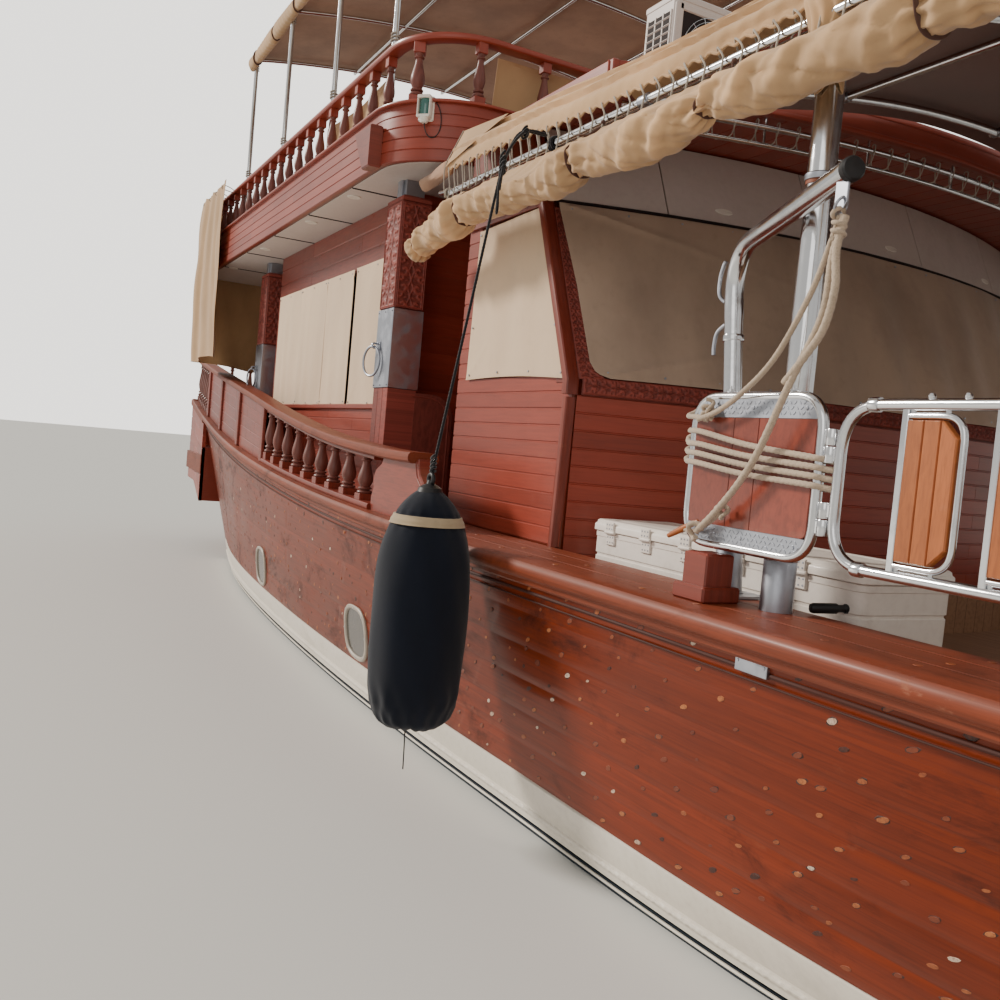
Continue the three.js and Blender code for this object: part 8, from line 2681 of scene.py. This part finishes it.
class DHOW_OT_doors(bpy.types.Operator):
    """Panelled doors with glass, cross walls with door casings, boarded front roof and its beam"""
    bl_idname = "dhow.doors"
    bl_label = "Doors, cross walls and front roof"

    def execute(self, context):
        for name, body, x in (("front_room_door", "front_door", -0.362),
                              ("aft_door", "rear_door", -5.292)):
            z0, z1, half = 1.319, 3.18, 0.38
            leaf = [board(-half, -half + 0.11, z0, z1, "x", x, x + 0.044, 0.003),
                    board(half - 0.11, half, z0, z1, "x", x, x + 0.044, 0.003)]
            for a, b in ((z0, z0 + 0.19), (2.15, 2.35), (z1 - 0.15, z1)):
                leaf.append(board(-half + 0.1095, half - 0.1095, a, b, "x", x + 0.0005, x + 0.0435,
                                  0.003, 0.4))
            panel = [board(-0.272, 0.272, z0 + 0.188, 2.152, "x", x + 0.010, x + 0.034, 0.003, 0.6)]
            for out in (x + 0.006, x + 0.032):
                panel.append(board(-0.20, 0.20, z0 + 0.26, 2.08, "x", out, out + 0.006, 0.0025,
                                   0.5))
            pins = tube([(x + 0.008, half - 0.008, 1.313), (x + 0.008, half - 0.008, 3.184)],
                        0.0075, 14)
            piece(name + "_frame", merge(leaf, panel), "joinery", body, replaces=name)
            piece(name + "_glass", board(-0.272, 0.272, 2.349, z1 - 0.149, "x", x + 0.016,
                                         x + 0.022, 0.002), "glass", body)
            handle = [pins]
            for out in (-1, 1):
                face = x + 0.022 + out * 0.022
                handle.append(
                    tube(bent([(face, -0.315, 2.14), (face + out * 0.045, -0.315, 2.14),
                               (face + out * 0.045, -0.315, 2.24), (face, -0.315, 2.24)], 0.015,
                              False, 6), 0.008, 10))
                handle.append(board(-0.335, -0.295, 2.10, 2.28, "x", face - 0.0005 * out,
                                    face + out * 0.004, 0.0015))
            piece(name + "_handle", merge(handle), "bronze", body)
        half = 2.126
        for node, x0, x1, windows in (("passage_fore_wall", FRONT_AFT, -0.31, ()),
                                      ("passage_aft_wall", -1.54, SALOON_FORE, ()),
                                      ("saloon_aft_wall", SALOON_AFT, -5.24,
                                       ((-1.9, -0.62), (0.62, 1.9)))):
            boards, frames_made, panes = [], [], []
            spans = [(-half, -0.388), (0.388, half)]
            for a, b in spans:
                for face, out_way in ((x0, -1), (x1, 1)):
                    def wall(s, z, out, face=face, out_way=out_way):
                        return stacked(face + out_way * out, s, z)
                    top = 2.30 if windows else 3.826
                    boards.append(boarding(wall, np.linspace(a, b, 5), 1.254, top, 7 if windows
                                           else 17, 4, 0.004, 0.028))
                    if windows:
                        boards.append(boarding(wall, np.linspace(a, b, 5), 3.27, 3.826, 4, 5, 0.004,
                                               0.028))
            if windows:
                for w0, w1 in windows:
                    edges = sorted([(-half if w0 < 0 else 0.388), w0]), sorted(
                        [w1, (-0.388 if w0 < 0 else half)])
                    for a, b in edges:
                        frames_made.append(block(x0, x1, a, b, 2.298, 3.272, 0.004))
                    frames_made.append(block(x0 + 0.012, x1 - 0.012, (w0 + w1) / 2 - 0.02,
                                             (w0 + w1) / 2 + 0.02, 2.30, 3.272, 0.003))
                    panes.append(block(x0 + 0.027, x0 + 0.033, w0 - 0.01, w1 + 0.01, 2.295, 3.28,
                                       0.001))
            frames_made.append(block(x0, x1, -0.388, 0.388, 3.188, 3.826, 0.004))
            frames_made.append(block(x0, x1, -0.388, 0.388, 1.254, 1.310, 0.004))
            for a, b, c, d in ((-0.47, -0.388, 1.254, 3.27), (0.388, 0.47, 1.254, 3.27),
                               (-0.47, 0.47, 3.188, 3.27)):
                for face, way in ((x0, -1), (x1, 1)):
                    frames_made.append(block(min(face, face + way * 0.006),
                                             max(face, face + way * 0.006), a, b, c, d, 0.002, 0.7))
            piece(node + "_boards", merge(boards), "house", replaces=node)
            piece(node + "_casing", merge(frames_made), "joinery")
            if panes:
                piece(node + "_panes", merge(panes), "glass")
        y = np.linspace(-2.215, 2.215, 70)
        edge = stacked(1.218 + BOW * (1 - (y / 2.19) ** 2), y, 3.905)
        beam = carry(edge + (-0.035, 0, 0), rounded_bar(0.145, 0.07, 0.012), AHEAD, tone=0.4)
        mould = carry(edge + (0.000, 0, 0.055), rounded_bar(0.034, 0.012, 0.005), AHEAD, tone=0.6)
        mould2 = carry(edge + (0.000, 0, -0.060), rounded_bar(0.026, 0.012, 0.005), AHEAD, tone=0.6)
        sides = [block(-0.496, 1.24, s * 2.2 - 0.02, s * 2.2 + 0.02, 3.834, 3.976, 0.006, 0.4)
                 for s in (-1, 1)]
        piece("roof_beam", merge(beam, mould, mould2, sides), "house", replaces="front_roof")
        r = np.random.default_rng(12)
        boards, under = [], []
        edges = np.linspace(-2.18, 2.18, 32)
        for a, b in zip(edges[:-1], edges[1:]):
            front = 1.185 + BOW * (1 - (max(abs(a), abs(b)) / 2.19) ** 2)
            boards.append(block(-0.49, front, a + 0.001, b - 0.001, 3.952, 3.974, 0.003,
                                r.uniform(0.3, 0.7)))
            under.append(block(-0.49, front, a + 0.001, b - 0.001, 3.834, 3.852, 0.003,
                               r.uniform(0.3, 0.7)))
        piece("roof_boards", merge(boards), "board")
        piece("roof_lining", merge(under), "house")
        return {"FINISHED"}


# The stage: camera, lights, the water's plane as a plain floor
def aim(obj, place, forward, roll=0.0):
    """Stands an object at a place, its -Z along a direction, turned about it by a roll."""
    quaternion = Vector(forward).to_track_quat("-Z", "Y")
    obj.matrix_world = Matrix.Translation(Vector(place)) @ (quaternion.to_matrix()
        @ Matrix.Rotation(roll, 3, "Z")).to_4x4()
    return obj


class DHOW_OT_stage(bpy.types.Operator):
    """The floor at the waterline, the sky's soft light, a low sun, and the camera"""
    bl_idname = "dhow.stage"
    bl_label = "Stage"

    def execute(self, context):
        scene = context.scene
        camera = bpy.data.objects.new("camera", bpy.data.cameras.new("camera"))
        scene.collection.objects.link(camera)
        camera.data.lens, camera.data.sensor_width = 34.2, 36
        camera.data.clip_start, camera.data.clip_end = 0.05, 400
        tilt = math.radians(3.0)
        ahead = unit(np.array([-0.883, 0.470, 0.0])) * math.cos(tilt) + np.array(
            [0, 0, -math.sin(tilt)])
        aim(camera, (5.5, -4.92, 1.9), ahead, math.radians(5.14))
        scene.camera = camera

        world = bpy.data.worlds.new("sky")
        scene.world = world
        world.use_nodes = True
        nodes, links = world.node_tree.nodes, world.node_tree.links
        sky = nodes["Background"]
        sky.inputs["Color"].default_value = (*shade(250, 246, 240), 1)
        seen, spread = nodes.new("ShaderNodeLightPath"), nodes.new("ShaderNodeMapRange")
        spread.inputs["To Min"].default_value, spread.inputs["To Max"].default_value = 0.68, 2.2
        links.new(seen.outputs["Is Camera Ray"], spread.inputs["Value"])
        links.new(spread.outputs["Result"], sky.inputs["Strength"])

        sun = bpy.data.objects.new("sun", bpy.data.lights.new("sun", "SUN"))
        sun.data.energy, sun.data.angle = 3.6, math.radians(9)
        sun.data.color = (1.0, 0.93, 0.84)
        aim(sun, (0, 0, 20), unit(np.array([0.85, 0.75, -0.62])))
        soft = bpy.data.objects.new("soft", bpy.data.lights.new("soft", "AREA"))
        soft.data.energy, soft.data.size = 300, 9.0
        soft.data.color = (1.0, 0.96, 0.92)
        aim(soft, (12, -14, 7), unit(np.array([-9.0, 12.0, -5.0])))
        for light in (sun, soft):
            scene.collection.objects.link(light)

        floor = Shape([[-140, -140, 0], [140, -140, 0], [140, 140, 0], [-140, 140, 0]],
                      [[0, 1, 2, 3]])
        mesh = bpy.data.meshes.new("floor")
        mesh.from_pydata(floor.v.tolist(), [], floor.q.tolist())
        plane = bpy.data.objects.new("floor", mesh)
        pale = Finish("floor", shade(214, 214, 210), Roughness=0.55, Specular_IOR_Level=0.3)
        mesh.materials.append(pale.material)
        scene.collection.objects.link(plane)
        return {"FINISHED"}


class DHOW_PT_panel(bpy.types.Panel):
    """Sizes, colours and the steps that build the boat"""
    bl_idname = "DHOW_PT_panel"
    bl_label = "Dhow"
    bl_space_type = "VIEW_3D"
    bl_region_type = "UI"
    bl_category = "Dhow"

    def draw(self, context):
        for group in (context.scene.dhow_sizes, context.scene.dhow_colours):
            box = self.layout.box()
            for name in group.__annotations__:
                box.prop(group, name)
        for step in STEPS:
            self.layout.operator(step.bl_idname)


STEPS = (DHOW_OT_stage, DHOW_OT_solids, DHOW_OT_hull, DHOW_OT_covering, DHOW_OT_bulwark,
         DHOW_OT_house, DHOW_OT_curtains, DHOW_OT_posts, DHOW_OT_upper_deck, DHOW_OT_balustrade,
         DHOW_OT_awning_frame, DHOW_OT_foredeck_canvas, DHOW_OT_valance, DHOW_OT_davit,
         DHOW_OT_platform, DHOW_OT_ladder, DHOW_OT_chest, DHOW_OT_fender, DHOW_OT_top_awning,
         DHOW_OT_aft_drape, DHOW_OT_lights, DHOW_OT_rig, DHOW_OT_under_water, DHOW_OT_stern,
         DHOW_OT_doors)
CLASSES = (DhowSizes, DhowColours, *STEPS, DHOW_PT_panel)


def register():
    for kind in CLASSES:
        bpy.utils.register_class(kind)
    bpy.types.Scene.dhow_sizes = PointerProperty(type=DhowSizes)
    bpy.types.Scene.dhow_colours = PointerProperty(type=DhowColours)


def unregister():
    del bpy.types.Scene.dhow_sizes, bpy.types.Scene.dhow_colours
    for kind in reversed(CLASSES):
        bpy.utils.unregister_class(kind)


def main():
    register()
    for step in STEPS:
        getattr(bpy.ops.dhow, step.bl_idname.split(".")[1])()
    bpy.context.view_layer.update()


if __name__ == "__main__":
    main()
